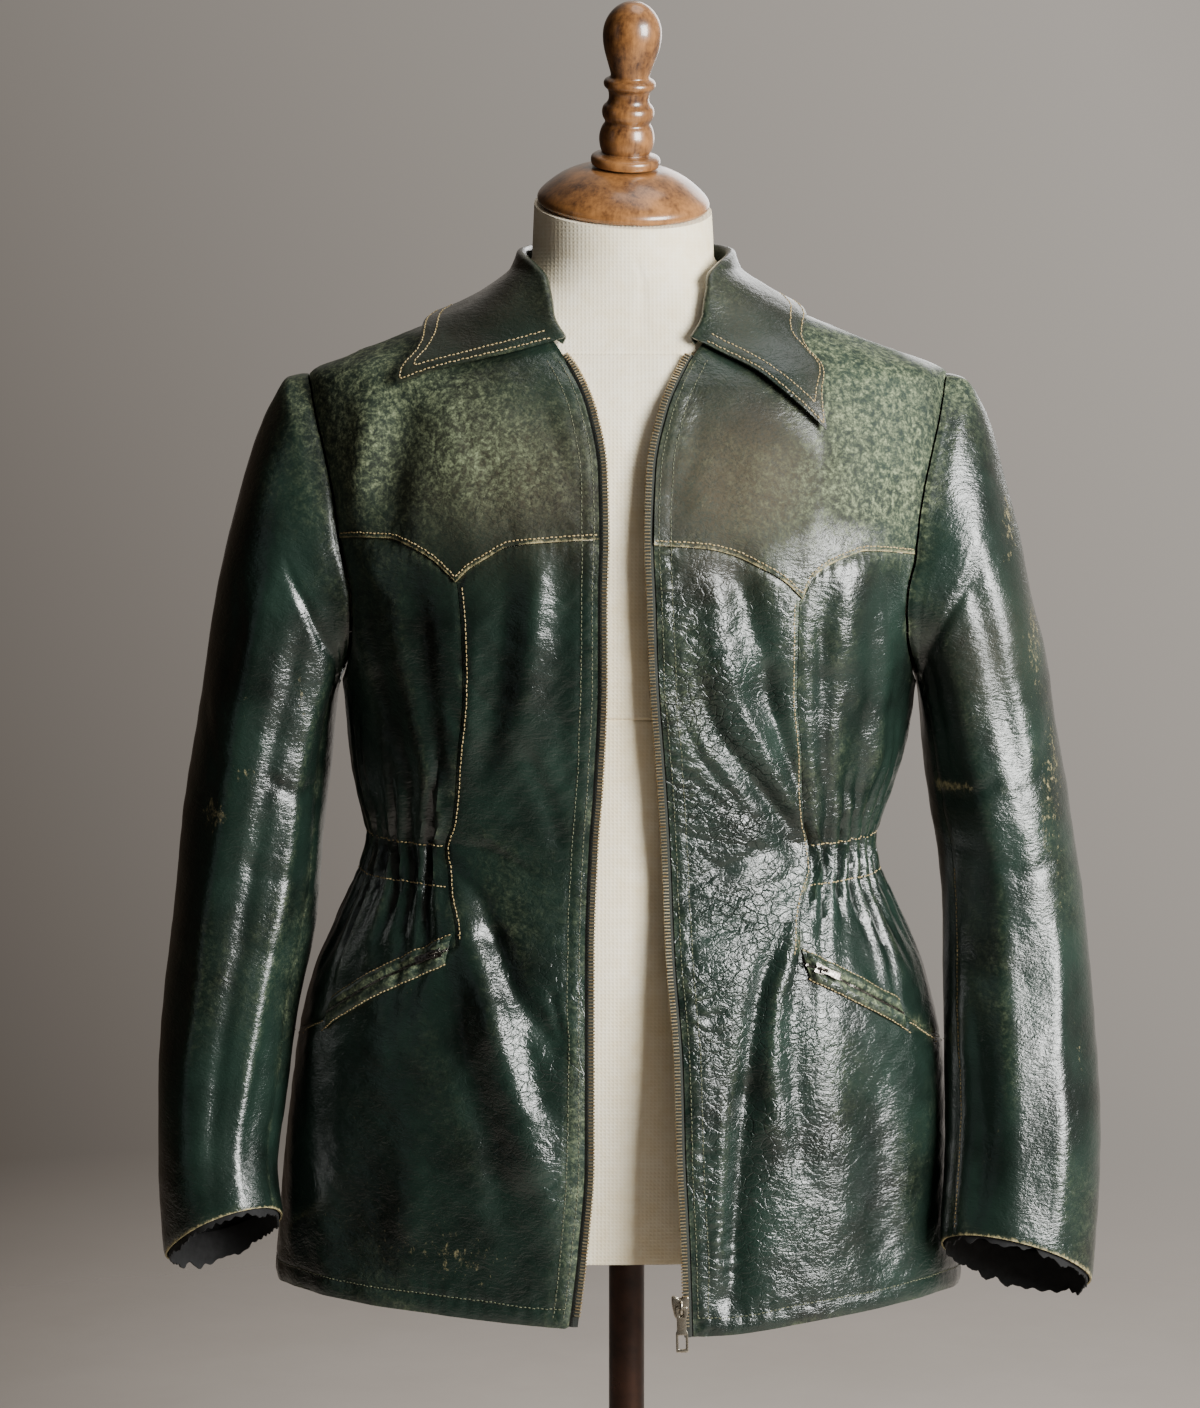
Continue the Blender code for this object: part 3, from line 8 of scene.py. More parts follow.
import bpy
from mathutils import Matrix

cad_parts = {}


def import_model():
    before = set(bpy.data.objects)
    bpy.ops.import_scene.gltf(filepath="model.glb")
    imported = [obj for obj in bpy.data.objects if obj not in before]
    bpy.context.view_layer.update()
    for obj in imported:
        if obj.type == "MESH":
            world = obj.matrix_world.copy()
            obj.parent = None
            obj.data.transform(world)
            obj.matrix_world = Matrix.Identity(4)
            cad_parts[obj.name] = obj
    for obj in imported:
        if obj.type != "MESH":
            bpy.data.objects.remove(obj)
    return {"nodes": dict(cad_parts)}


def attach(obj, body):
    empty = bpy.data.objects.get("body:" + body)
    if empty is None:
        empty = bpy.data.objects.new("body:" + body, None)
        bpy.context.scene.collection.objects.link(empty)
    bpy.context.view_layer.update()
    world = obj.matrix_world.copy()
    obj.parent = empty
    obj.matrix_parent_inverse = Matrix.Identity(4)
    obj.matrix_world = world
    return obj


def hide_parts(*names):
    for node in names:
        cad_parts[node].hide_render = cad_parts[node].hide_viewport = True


frame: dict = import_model()

import logging
from dataclasses import dataclass, field
from enum import Enum
from functools import cached_property
from math import cos, degrees, hypot, pi, radians, sin, tan
from typing import Any, Callable, Iterable, NamedTuple, Sequence

import bmesh
import bpy
import numpy as np
from mathutils import Matrix, Vector
from mathutils.bvhtree import BVHTree

LOG = logging.getLogger("leather_jacket")
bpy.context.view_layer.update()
Array = np.ndarray
Curve = Callable[[Any], Array]

MM: float = 0.001
BODY: str = "jacket_and_form"
WALL: float = 2.0
SEAM_GAP: float = 0.4
SQUARENESS: float = 2.2
ARMHOLE_GAP: float = 1.1
ZIP_TAPE_SHOWN: float = 6.0
YOKE_LAP: float = 1.2
YOKE_FRONT: float = 903.0
BACK_YOKE_SEAM: float = 905.0
WAIST: float = 686.0
ARMPIT: float = 800.0
SHOULDER_TIP: float = 1009.0
NECK_POINT: float = 1068.0
FRONT_SLEEVE_SEAM: float = radians(152)
BACK_SLEEVE_SEAM: float = radians(232)
HEM_STITCH: float = 12.5


class Side(Enum):
    """A half of the jacket, as its wearer has it."""

    LEFT = "l"
    RIGHT = "r"

    @property
    def sign(self) -> int:
        """Which way this half lies along X."""
        return 1 if self is Side.LEFT else -1


# ---------------------------------------------------------------- the cut, in millimetres
class Ring(NamedTuple):
    """One level ring of the body."""

    height: float
    half_width: float
    front: float
    back: float
    shift: float


class Edge(NamedTuple):
    """How far out a line lies on each half at one height."""

    height: float
    left: float
    right: float


class SeamPoint(NamedTuple):
    """A point of a front seam."""

    across: float
    height: float


class HemPoint(NamedTuple):
    """A point of the hem."""

    degrees: float
    height: float


class Neck(NamedTuple):
    """The neckline's seam and the collar's fold at one place round the neck."""

    degrees: float
    seam: float
    fold: float


class ArmholePoint(NamedTuple):
    """A point of the armhole's upper part."""

    round_sleeve: float
    across: float
    height: float


class LowArmhole(NamedTuple):
    """A point of the armhole's lower part."""

    round_sleeve: float
    degrees: float
    height: float


class Fold(NamedTuple):
    """A straight fold: positive depths stand out."""

    x0: float
    z0: float
    x1: float
    z1: float
    width: float
    depth: float


class Crease(NamedTuple):
    """A bent fold through several points."""

    width: float
    depth: float
    line: tuple


class Section(NamedTuple):
    """One oval of a sleeve, from its outer to its inner point."""

    out_x: float
    out_z: float
    in_x: float
    in_z: float
    middle_y: float
    half_depth: float
    lift: float
    armhole: float


class Leaf(NamedTuple):
    """The collar's free edge for a place along the neckline."""

    degrees: float
    edge_degrees: float
    edge_height: float


class Ease(NamedTuple):
    """How far the form lies inside the jacket."""

    height: float
    ease: float


class Neckpiece(NamedTuple):
    """One ring of the form's neck."""

    height: float
    radius: float


class Turn(NamedTuple):
    """A point of a turned profile."""

    radius: float
    height: float


class Worn(NamedTuple):
    """A worn place: its middle, half sizes, strength and kind."""

    x: float
    z: float
    half_x: float
    half_z: float
    amount: float
    kind: str


RINGS = (
    Ring(340, 238, 151, 139, -6),
    Ring(392, 236, 149, 138, -6),
    Ring(440, 232, 146, 134, -6),
    Ring(550, 221, 139, 126, -5),
    Ring(608, 207, 131, 118, -5),
    Ring(650, 187, 121, 108, -5),
    Ring(670, 177, 116, 103, -5),
    Ring(692, 171, 113, 100, -4),
    Ring(729, 182, 115, 103, -2),
    Ring(757, 189, 119, 107, 0),
    Ring(799, 194, 124, 114, 1),
    Ring(845, 203, 128, 120, 1),
    Ring(892, 210, 127, 122, 1),
    Ring(949, 216, 118, 118, 1),
    Ring(985, 218, 105, 109, 1),
    Ring(1004, 217, 94, 99, 1),
    Ring(1010, 213, 89, 94, 1),
    Ring(1022, 184, 80, 86, 1),
    Ring(1032, 157, 73, 79, 0),
    Ring(1044, 128, 69, 73, 0),
    Ring(1052, 109, 67.5, 70, 0),
    Ring(1062, 90, 66, 68, 0),
    Ring(1076, 72, 64, 67, -1),
    Ring(1092, 67, 63, 66, -1),
    Ring(1110, 66, 63, 66, -1),
)
FRONT_EDGE = (
    Edge(375, 37, 35), Edge(440, 35, 27), Edge(500, 32, 22.5), Edge(565, 30, 22.5),
    Edge(630, 25, 22.5), Edge(700, 22, 20), Edge(740, 19.5, 17), Edge(813, 14, 14),
    Edge(865, 12, 14), Edge(903, 10.5, 13), Edge(948, 12, 14), Edge(986, 20, 21),
    Edge(1015, 33, 34), Edge(1031, 44, 49),
)
PRINCESS = (
    Edge(560, 113, 112), Edge(644, 112, 112), Edge(667, 116, 116), Edge(684, 122, 119),
    Edge(698, 122, 121), Edge(714, 118, 116), Edge(757, 115, 112), Edge(804, 111, 108),
    Edge(846, 111, 109), Edge(880, 113, 112),
)
YOKE_SEAM = {
    "l": (
        SeamPoint(0, 901), SeamPoint(52, 897), SeamPoint(68, 893), SeamPoint(85, 885),
        SeamPoint(102, 875), SeamPoint(113, 864), SeamPoint(119, 877), SeamPoint(131, 886),
        SeamPoint(143, 891), SeamPoint(155, 894), SeamPoint(169, 893), SeamPoint(195, 889),
    ),
    "r": (
        SeamPoint(0, 905), SeamPoint(43, 902), SeamPoint(76, 899), SeamPoint(93, 890),
        SeamPoint(104, 883), SeamPoint(112, 875), SeamPoint(119, 882), SeamPoint(127, 889),
        SeamPoint(144, 898), SeamPoint(158, 902), SeamPoint(175, 902), SeamPoint(195, 900),
    ),
}
YOKE_TIP = {"l": 113, "r": 112}
POCKET_SEAM = {
    "l": (
        SeamPoint(113, 625), SeamPoint(134, 614), SeamPoint(160, 599), SeamPoint(183, 584),
        SeamPoint(203, 568), SeamPoint(220, 556),
    ),
    "r": (
        SeamPoint(112, 635), SeamPoint(134, 625), SeamPoint(154, 615), SeamPoint(185, 595),
        SeamPoint(206, 578), SeamPoint(224, 561),
    ),
}
POCKET_END = {"l": radians(60), "r": radians(64)}
HEM = (
    HemPoint(-180, 392), HemPoint(-90, 392), HemPoint(-60, 397), HemPoint(-35, 396),
    HemPoint(-12, 391), HemPoint(0, 388), HemPoint(12, 384), HemPoint(35, 391),
    HemPoint(60, 394), HemPoint(90, 388), HemPoint(180, 392),
)
NECKLINE = (
    Neck(13, 1027, 1032), Neck(18, 1034, 1041), Neck(28, 1048, 1057), Neck(42, 1060, 1072),
    Neck(60, 1066, 1082), Neck(90, 1068, 1090), Neck(120, 1070, 1094),
    Neck(150, 1072, 1097), Neck(180, 1073, 1098),
)
ARMHOLE_UPPER = (
    ArmholePoint(0, 214, 1009), ArmholePoint(18, 209, 990),
    ArmholePoint(42, 201, 958), ArmholePoint(62, 194, 925), ArmholePoint(82, 190, 892),
)
ARMHOLE_LOWER = (
    LowArmhole(82, 63.6, 892), LowArmhole(100, 62.0, 865), LowArmhole(120, 64.5, 839),
    LowArmhole(140, 71.0, 819), LowArmhole(160, 80.0, 806), LowArmhole(180, 90.0, 800),
)
FRONT_FOLDS = (
    Fold(-147, 985, -160, 912, 16, -4.0),
    Fold(-172, 985, -180, 920, 12, 2.0),
    Fold(-62, 890, -70, 780, 14, 2.5),
    Fold(-112, 660, -84, 585, 15, 4.5),
    Fold(-84, 585, -64, 500, 17, 5.0),
    Fold(-88, 640, -58, 540, 9, -3.5),
    Fold(-150, 540, -176, 430, 20, -3.0),
    Fold(70, 880, 86, 800, 17, -4.5),
    Fold(86, 800, 116, 700, 15, -4.0),
    Fold(20, 825, 112, 700, 8, -2.5),
    Fold(60, 820, 104, 730, 8, 2.2),
    Fold(96, 620, 84, 540, 12, -4.5),
    Fold(84, 540, 68, 410, 14, -5.0),
    Fold(98, 612, 96, 520, 12, 3.5),
    Fold(150, 540, 168, 430, 22, -3.0),
    Fold(150, 880, 152, 800, 12, 3.0),
    Fold(138, 810, 146, 735, 10, -2.5),
    Fold(-168, 880, -172, 820, 12, 2.5),
    Fold(122, 960, 150, 905, 18, -2.5),
)
BACK_FOLDS = (
    Fold(-70, 850, -105, 720, 18, -3.5),
    Fold(64, 840, 100, 715, 16, -3.5),
    Fold(-90, 640, -120, 450, 22, -5.0),
    Fold(30, 620, 40, 430, 22, 4.0),
    Fold(105, 640, 130, 440, 20, -4.5),
    Fold(-20, 640, -30, 460, 18, -3.0),
)
SLEEVE = {
    "l": (
        Section(214.5, 1009, 194.5, 800, -1, 57, 0, 1.0),
        Section(227, 1006, 196.5, 794, -1, 59, 0, 0.75),
        Section(240, 985, 197.5, 787, -1, 61, 0, 0.5),
        Section(252, 950, 198.5, 779, -2, 63, 0, 0.3),
        Section(264, 903, 199.5, 769, -2, 64, 0, 0.15),
        Section(275, 855, 200.5, 757, -3, 64, 0, 0.05),
        Section(285, 805, 202, 741, -4, 63, 0, 0),
        Section(294, 755, 206, 716, -6, 61, 0, 0),
        Section(303, 700, 212, 684, -10, 58, 1, 0),
        Section(310, 645, 214, 640, -18, 55, 3, 0),
        Section(315, 590, 214, 588, -31, 51, 7, 0),
        Section(318, 535, 214, 535, -47, 47, 11, 0),
        Section(317, 475, 213, 480, -64, 43, 16, 0),
        Section(311, 404, 209, 431, -81, 39, 22, 0),
    ),
    "r": (
        Section(214.5, 1009, 194.5, 800, -1, 57, 0, 1.0),
        Section(228, 1006, 196.5, 794, -1, 59, 0, 0.75),
        Section(241, 986, 197.5, 787, -1, 61, 0, 0.5),
        Section(254, 955, 198.5, 779, -2, 63, 0, 0.3),
        Section(266, 913, 199.5, 769, -2, 64, 0, 0.15),
        Section(276, 866, 200.5, 757, -3, 64, 0, 0.05),
        Section(286, 812, 201.5, 741, -4, 62, 0, 0),
        Section(294, 758, 203.5, 716, -6, 60, 0, 0),
        Section(303, 695, 208, 670, -10, 57, 1, 0),
        Section(309, 640, 213, 632, -18, 54, 3, 0),
        Section(313, 585, 222, 583, -29, 50, 7, 0),
        Section(317, 530, 230, 528, -41, 48, 11, 0),
        Section(316, 475, 235, 482, -54, 46, 16, 0),
        Section(311, 417, 231, 447, -66, 44, 22, 0),
    ),
}
COLLAR_EDGE = {
    "l": (
        Leaf(13, 33.5, 972), Leaf(30, 32.5, 994), Leaf(50, 36, 1019), Leaf(70, 51, 1037),
        Leaf(90, 90, 1051), Leaf(120, 120, 1047), Leaf(150, 150, 1045), Leaf(180, 180, 1046),
    ),
    "r": (
        Leaf(13, 42, 1001), Leaf(30, 43, 1012), Leaf(50, 48, 1023), Leaf(70, 61, 1034),
        Leaf(90, 90, 1044), Leaf(120, 118, 1043), Leaf(150, 150, 1044), Leaf(180, 180, 1046),
    ),
}
FORM_EASE = (
    Ease(421, 42), Ease(500, 34), Ease(560, 26), Ease(640, 15), Ease(692, 11),
    Ease(760, 12), Ease(850, 13), Ease(940, 10), Ease(985, 6), Ease(1008, 2.2),
    Ease(1022, 1.8), Ease(1056, 1.8), Ease(1064, 2.5), Ease(1072, 4.0),
)
FORM_RINGS = (
    421, 480, 540, 590, 640, 690, 740, 800, 860, 910, 950, 980, 1000, 1010, 1022,
    1032, 1044, 1054, 1064, 1072,
)
FORM_NECK = (Neckpiece(1086, 61), Neckpiece(1100, 60.5), Neckpiece(1119, 59.5))
CAP_PROFILE = (
    Turn(0, 27), Turn(24, 27), Turn(34, 24), Turn(44, 19), Turn(52, 12.5), Turn(56.5, 8),
    Turn(58, 5), Turn(57.5, 2), Turn(55, 0), Turn(0, 0),
)
FINIAL_PROFILE = (
    Turn(0, 111), Turn(7, 109.5), Turn(13.5, 105), Turn(18, 98), Turn(19.8, 90),
    Turn(18.8, 80), Turn(15.5, 70), Turn(12.8, 62), Turn(13, 60), Turn(17.2, 58),
    Turn(17.4, 54), Turn(14, 51.5), Turn(13.2, 46), Turn(14.2, 43), Turn(17.4, 40),
    Turn(17.4, 34), Turn(14.5, 30), Turn(17, 27), Turn(18.8, 20), Turn(17.5, 12),
    Turn(15.5, 9), Turn(23, 7.5), Turn(23.4, 3), Turn(22, 0), Turn(0, 0),
)
BASE_TOP = 26.0
BASE_RADIUS = 190.0
BASE_PROFILE = (
    Turn(0, BASE_TOP), Turn(24, BASE_TOP), Turn(30, 22), Turn(60, 17), Turn(140, 12),
    Turn(182, 9), Turn(188, 6), Turn(BASE_RADIUS, 3), Turn(BASE_RADIUS - 1, 0), Turn(0, 0),
)
# The smaller creases of the fronts, each through points given as x and height. The points were picked by
# eye on the photo and a scratch script turned them into millimetres: they stand as it printed them.
# Widths and depths are set one by one.
FRONT_CREASES = (
    Crease(5.5, -3.2, ((41, 822), (60, 775), (84, 743), (104, 718), (119, 702))),
    Crease(7, 2.6, ((70, 832), (80, 786), (100, 748), (114, 717))),
    Crease(5.5, -3, ((89, 832), (95, 795), (104, 765), (114, 730))),
    Crease(9, -2.5, ((74, 884), (81, 851), (89, 832))),
    Crease(9, 2, ((57, 881), (61, 839), (70, 799))),
    Crease(4, -1.3, ((120, 699), (87, 697), (48, 680), (27, 664))),
    Crease(4, -1.3, ((118, 691), (102, 677), (67, 668), (35, 666))),
    Crease(4, -1.5, ((27, 806), (47, 760), (74, 726), (107, 704))),
    Crease(3.5, -1.2, ((29, 760), (61, 729), (94, 708), (114, 698))),
    Crease(3.5, -1, ((27, 713), (61, 704), (94, 699))),
    Crease(4.5, -1.4, ((41, 645), (74, 650), (104, 668), (116, 683))),
    Crease(7, 3.8, ((118, 660), (106, 633), (96, 602), (92, 563), (90, 524))),
    Crease(7, -4.2, ((102, 649), (88, 612), (80, 570), (76, 525), (72, 473), (69, 407))),
    Crease(6, 2.2, ((62, 545), (62, 486), (59, 408))),
    Crease(9, -3, ((112, 623), (107, 575), (111, 523), (117, 477))),
    Crease(14, 2.2, ((133, 561), (140, 501), (142, 428))),
    Crease(12, -2.4, ((168, 557), (171, 497), (168, 418))),
    Crease(8, 1.4, ((41, 623), (48, 565), (46, 500))),
    Crease(15, 3.2, ((-99, 628), (-89, 577), (-66, 529), (-53, 480), (-50, 434))),
    Crease(8, -3.4, ((-98, 662), (-75, 610), (-51, 578), (-40, 556))),
    Crease(3, -1.6, ((-51, 610), (-46, 591), (-42, 575))),
    Crease(10, -2.8, ((-113, 608), (-108, 563), (-89, 505), (-83, 453))),
    Crease(8, 2.4, ((-56, 890), (-62, 839), (-68, 786))),
    Crease(8, -2.2, ((-79, 871), (-84, 799), (-96, 738))),
    Crease(6, 1.6, ((-99, 857), (-102, 805), (-107, 751))),
    Crease(9, -1.8, ((-43, 871), (-46, 806), (-40, 733))),
    Crease(6, -1.6, ((-70, 772), (-53, 733), (-42, 693))),
    Crease(3, -0.9, ((-115, 831), (-99, 805), (-83, 785))),
    Crease(3, -0.9, ((-117, 797), (-103, 768), (-88, 752))),
    Crease(4, -1.2, ((-119, 700), (-90, 698), (-57, 680))),
    Crease(5, -1.6, ((-119, 690), (-96, 666), (-83, 635))),
    Crease(13, -2.6, ((-191, 541), (-184, 490), (-187, 430))),
    Crease(14, 2.4, ((-153, 560), (-146, 501), (-143, 436))),
    Crease(8, 2.4, ((-151, 888), (-149, 822), (-133, 750), (-124, 720))),
    Crease(6, -2.4, ((-135, 863), (-131, 797), (-122, 733))),
    Crease(7, -2.4, ((-171, 887), (-168, 828), (-155, 768), (-145, 728))),
    Crease(9, 3.2, ((139, 889), (140, 836), (138, 796), (136, 742))),
    Crease(5.5, -2.6, ((126, 857), (128, 797), (130, 729))),
    Crease(7, -2.4, ((158, 862), (158, 795), (152, 734))),
    Crease(6, 1.8, ((169, 868), (172, 807), (163, 739))),
    Crease(6, 1.8, ((-162, 672), (-178, 639), (-195, 601))),
    Crease(6, -2, ((-144, 675), (-154, 639))),
    Crease(6, -2, ((147, 667), (156, 628), (171, 595))),
    Crease(6, 1.8, ((163, 664), (176, 631), (194, 596))),
    Crease(14, -3.4, ((-147, 991), (-153, 953), (-160, 917))),
    Crease(8, 1.8, ((-170, 979), (-177, 927))),
    Crease(2.6, -0.8, ((-122, 937), (-82, 948), (-44, 956))),
    Crease(3, -0.8, ((-79, 918), (-72, 902))),
    Crease(4, -0.8, ((-112, 989), (-102, 960), (-82, 941))),
    Crease(7, -1.2, ((-56, 993), (-43, 954), (-30, 916))),
    Crease(8, -1.4, ((47, 993), (41, 954), (29, 916))),
    Crease(8, -1.6, ((139, 966), (122, 941), (106, 909))),
    Crease(7, -2, ((166, 972), (179, 940), (183, 907))),
    Crease(12, 1.4, ((86, 967), (89, 929))),
)
BACK_CREASES = (
    Crease(9, -2.0, ((-150, 840), (-120, 790), (-105, 730))),
    Crease(8, 1.8, ((-128, 850), (-98, 790), (-88, 730))),
    Crease(9, -2.0, ((150, 835), (122, 780), (108, 728))),
    Crease(6, -1.4, ((-60, 700), (0, 712), (55, 699))),
    Crease(6, -1.2, ((-75, 676), (-5, 668), (62, 679))),
    Crease(9, 2.0, ((-60, 655), (-72, 560), (-70, 450))),
    Crease(10, -2.4, ((70, 650), (82, 560), (78, 440))),
    Crease(7, -1.2, ((-90, 985), (-40, 955), (20, 962))),
    Crease(7, -1.0, ((60, 1000), (95, 960), (110, 925))),
    Crease(5, -1.0, ((-30, 880), (-10, 820), (-22, 760))),
)
# Folds of the sleeves: points are degrees round the sleeve and steps down it.
SLEEVE_CREASES = {
    "l": (
        Crease(11, 3, ((108, 1.2), (112, 3.5), (112, 6), (106, 8.5), (104, 11), (100, 13))),
        Crease(8, -2.2, ((134, 1.0), (138, 4.0), (134, 7.0))),
        Crease(10, -2.4, ((76, 2.5), (80, 5.0), (74, 7.4))),
        Crease(7, -1.3, ((158, 6.6), (120, 7.0), (88, 6.8))),
        Crease(7, -1.1, ((160, 7.7), (118, 8.0), (80, 8.4), (52, 8.2))),
        Crease(8, -1.1, ((150, 9.2), (118, 9.8), (84, 9.6))),
        Crease(9, 1.8, ((60, 8.8), (66, 11), (62, 13))),
        Crease(8, -2, ((132, 9.8), (126, 11.6), (128, 13))),
        Crease(9, -1.8, ((150, 0.9), (112, 2.4), (70, 3.2))),
        Crease(7, -0.8, ((30, 6.4), (62, 7.2), (86, 7.2))),
        Crease(9, -2.6, ((210, 6.8), (250, 7.4), (300, 7.2))),
        Crease(8, -2, ((215, 8.2), (262, 8.6), (320, 8.0))),
        Crease(12, 2.2, ((270, 1.5), (268, 5.5), (262, 9.5), (258, 13))),
    ),
    "r": (
        Crease(8, 3, ((132, 1.0), (134, 3.5), (130, 6), (124, 8.5), (118, 10.5), (112, 13))),
        Crease(9, -2.6, ((104, 2.5), (108, 5), (98, 8), (92, 11), (88, 13))),
        Crease(10, 2, ((74, 3.0), (72, 6.0), (66, 9.0), (62, 12))),
        Crease(7, -1.3, ((160, 6.4), (126, 6.9), (96, 6.8))),
        Crease(7, -1.1, ((158, 7.6), (122, 8.1), (84, 8.0))),
        Crease(7, -1, ((156, 8.9), (120, 9.3), (90, 9.2))),
        Crease(9, -1.8, ((150, 0.9), (114, 2.2), (72, 3.0))),
        Crease(7, -0.8, ((24, 6.2), (56, 7.0), (80, 6.8))),
        Crease(8, -0.8, ((40, 4.2), (58, 5.0), (52, 6.0))),
        Crease(9, -2.4, ((212, 6.6), (250, 7.2), (305, 7.0))),
        Crease(8, -2, ((214, 8.3), (258, 8.8), (318, 8.2))),
        Crease(12, 2.2, ((276, 1.5), (272, 5.5), (266, 9.5), (262, 13))),
    ),
}
# Worn places by x and height, half sizes, strength and kind. 23 of the 34 rows have the place and the half
# sizes that the same script printed; the other 11 were moved or added by hand. Strengths are set one by
# one.
WORN_PLACES = (
    Worn(151, 1013, 46, 32, 1.2, "pale"),
    Worn(159, 970, 38, 38, 1.1, "pale"),
    Worn(145, 930, 42, 30, 0.9, "pale"),
    Worn(180, 948, 15, 40, 0.7, "pale"),
    Worn(62, 940, 46, 54, 1, "brown"),
    Worn(106, 938, 40, 44, 0.6, "brown"),
    Worn(112, 1025, 26, 20, 0.5, "pale"),
    Worn(-160, 1010, 46, 32, 1.3, "pale"),
    Worn(-178, 972, 28, 50, 1, "pale"),
    Worn(-108, 955, 64, 40, 0.85, "pale"),
    Worn(-82, 945, 66, 50, 0.95, "brown"),
    Worn(-150, 445, 66, 40, 0.42, "tan"),
    Worn(-97, 431, 46, 20, 0.35, "tan"),
    Worn(-34, 499, 9, 112, 0.6, "pale"),
    Worn(255, 912, 8, 40, 0.8, "tan"),
    Worn(272, 832, 9, 46, 0.8, "tan"),
    Worn(284, 751, 9, 46, 0.7, "tan"),
    Worn(290, 672, 7, 60, 0.5, "tan"),
    Worn(216, 734, 16, 5, 1.3, "tan"),
    Worn(278, 706, 5, 34, 0.5, "tan"),
    Worn(-215, 1001, 12, 16, 0.8, "pale"),
    Worn(219, 1001, 12, 16, 0.8, "pale"),
    Worn(-247, 965, 8, 26, 0.6, "tan"),
    Worn(-276, 716, 11, 16, 0.9, "tan"),
    Worn(-252, 744, 12, 7, 0.7, "tan"),
    Worn(-262, 798, 20, 40, 0.35, "tan"),
    Worn(-218, 798, 5, 20, 0.7, "tan"),
    Worn(47, 928, 40, 13, 0.4, "tan"),
    Worn(-136, 599, 26, 20, 0.4, "tan"),
    Worn(-196, 519, 26, 59, 0.35, "tan"),
    Worn(41, 798, 16, 99, 0.25, "pale"),
    Worn(245, 520, 20, 66, 0.3, "tan"),
    Worn(242, 825, 26, 40, 0.35, "brown"),
    Worn(302, 561, 7, 53, 0.5, "tan"),
)
# Where the glaze is crazed most.
CRACKED_PLACES = (
    Worn(72, 650, 72, 170, 1.0, "cracked"),
    Worn(40, 810, 40, 70, 0.8, "cracked"),
    Worn(-60, 560, 60, 120, 0.45, "cracked"),
    Worn(100, 470, 70, 70, 0.5, "cracked"),
    Worn(-80, 940, 60, 50, 0.3, "cracked"),
)


# ---------------------------------------------------------------- numbers
def curve_through(knots: Sequence[float], values: Sequence[float]) -> Curve:
    """A smooth curve that never overshoots between two of its knots.

    Args:
        knots: Places along the curve, rising.
        values: The curve's value at each.

    Returns:
        A function that gives the value at any place.
    """
    at_knots, at_values = np.asarray(knots, float), np.asarray(values, float)
    steps = np.diff(at_knots)
    slopes = np.diff(at_values) / steps
    tangents = np.zeros(len(at_knots))
    for i in range(1, len(at_knots) - 1):
        before, after = slopes[i - 1], slopes[i]
        if before * after > 0:
            tangents[i] = 2 * before * after / (before + after)
    tangents[0], tangents[-1] = slopes[0], slopes[-1]

    def value(at: Any) -> Array:
        """The curve's value at a place."""
        at = np.clip(np.asarray(at, float), at_knots[0], at_knots[-1])
        i = np.clip(np.searchsorted(at_knots, at, side="right") - 1, 0, len(steps) - 1)
        t = (at - at_knots[i]) / steps[i]
        return (
            at_values[i] * (1 + 2 * t) * (1 - t) ** 2
            + tangents[i] * steps[i] * t * (1 - t) ** 2
            + at_values[i + 1] * t * t * (3 - 2 * t)
            + tangents[i + 1] * steps[i] * t * t * (t - 1)
        )

    return value


def smooth(at: Any, start: float, end: float) -> Array:
    """A soft step from 0 at start to 1 at end."""
    t = np.clip((np.asarray(at, float) - start) / (end - start), 0, 1)
    return t * t * (3 - 2 * t)


def column(rows: Sequence[Any], name: str) -> list[float]:
    """One named column of a table."""
    return [getattr(row, name) for row in rows]


def spread(values: Sequence[float], count: int) -> Array:
    """The same run of values with more of them, evenly by their order."""
    return np.interp(np.linspace(0, len(values) - 1, count), np.arange(len(values)), values)


def uneven(points: Array, size: float, seed: float = 0.0) -> Array:
    """A smooth field of about -1 to 1 with no pattern that the eye finds.

    Args:
        points: Places, in millimetres.
        size: How wide its bumps are.
        seed: Any number; another one gives another field.

    Returns:
        Its value at each place.
    """
    total = np.zeros(points.shape[:-1])
    for i in range(7):
        turn, tilt = 2.399963 * i + seed, sin(3.1 * i + seed)
        way = np.array([cos(turn) * cos(tilt), sin(turn) * cos(tilt), sin(tilt)])
        total += np.sin(points @ way * (2 * pi / size) * (0.62 + 0.11 * i) + 1.7 * i + 5 * seed)
    return total / 3.2


def path_length(path: Array) -> Array:
    """How far along a path each of its points lies."""
    steps = np.linalg.norm(np.diff(path, axis=0), axis=1)
    return np.concatenate([[0.0], np.cumsum(steps)])


def resampled(path: Array, pitch: float) -> Array:
    """The path's points at an even pitch.

    Args:
        path: Points in order.
        pitch: The distance wanted between two of them.

    Returns:
        New points along the same path.
    """
    length = path_length(path)
    at = np.linspace(0, length[-1], max(int(round(length[-1] / pitch)), 2) + 1)
    return np.stack([np.interp(at, length, path[:, k]) for k in range(path.shape[1])], axis=1)


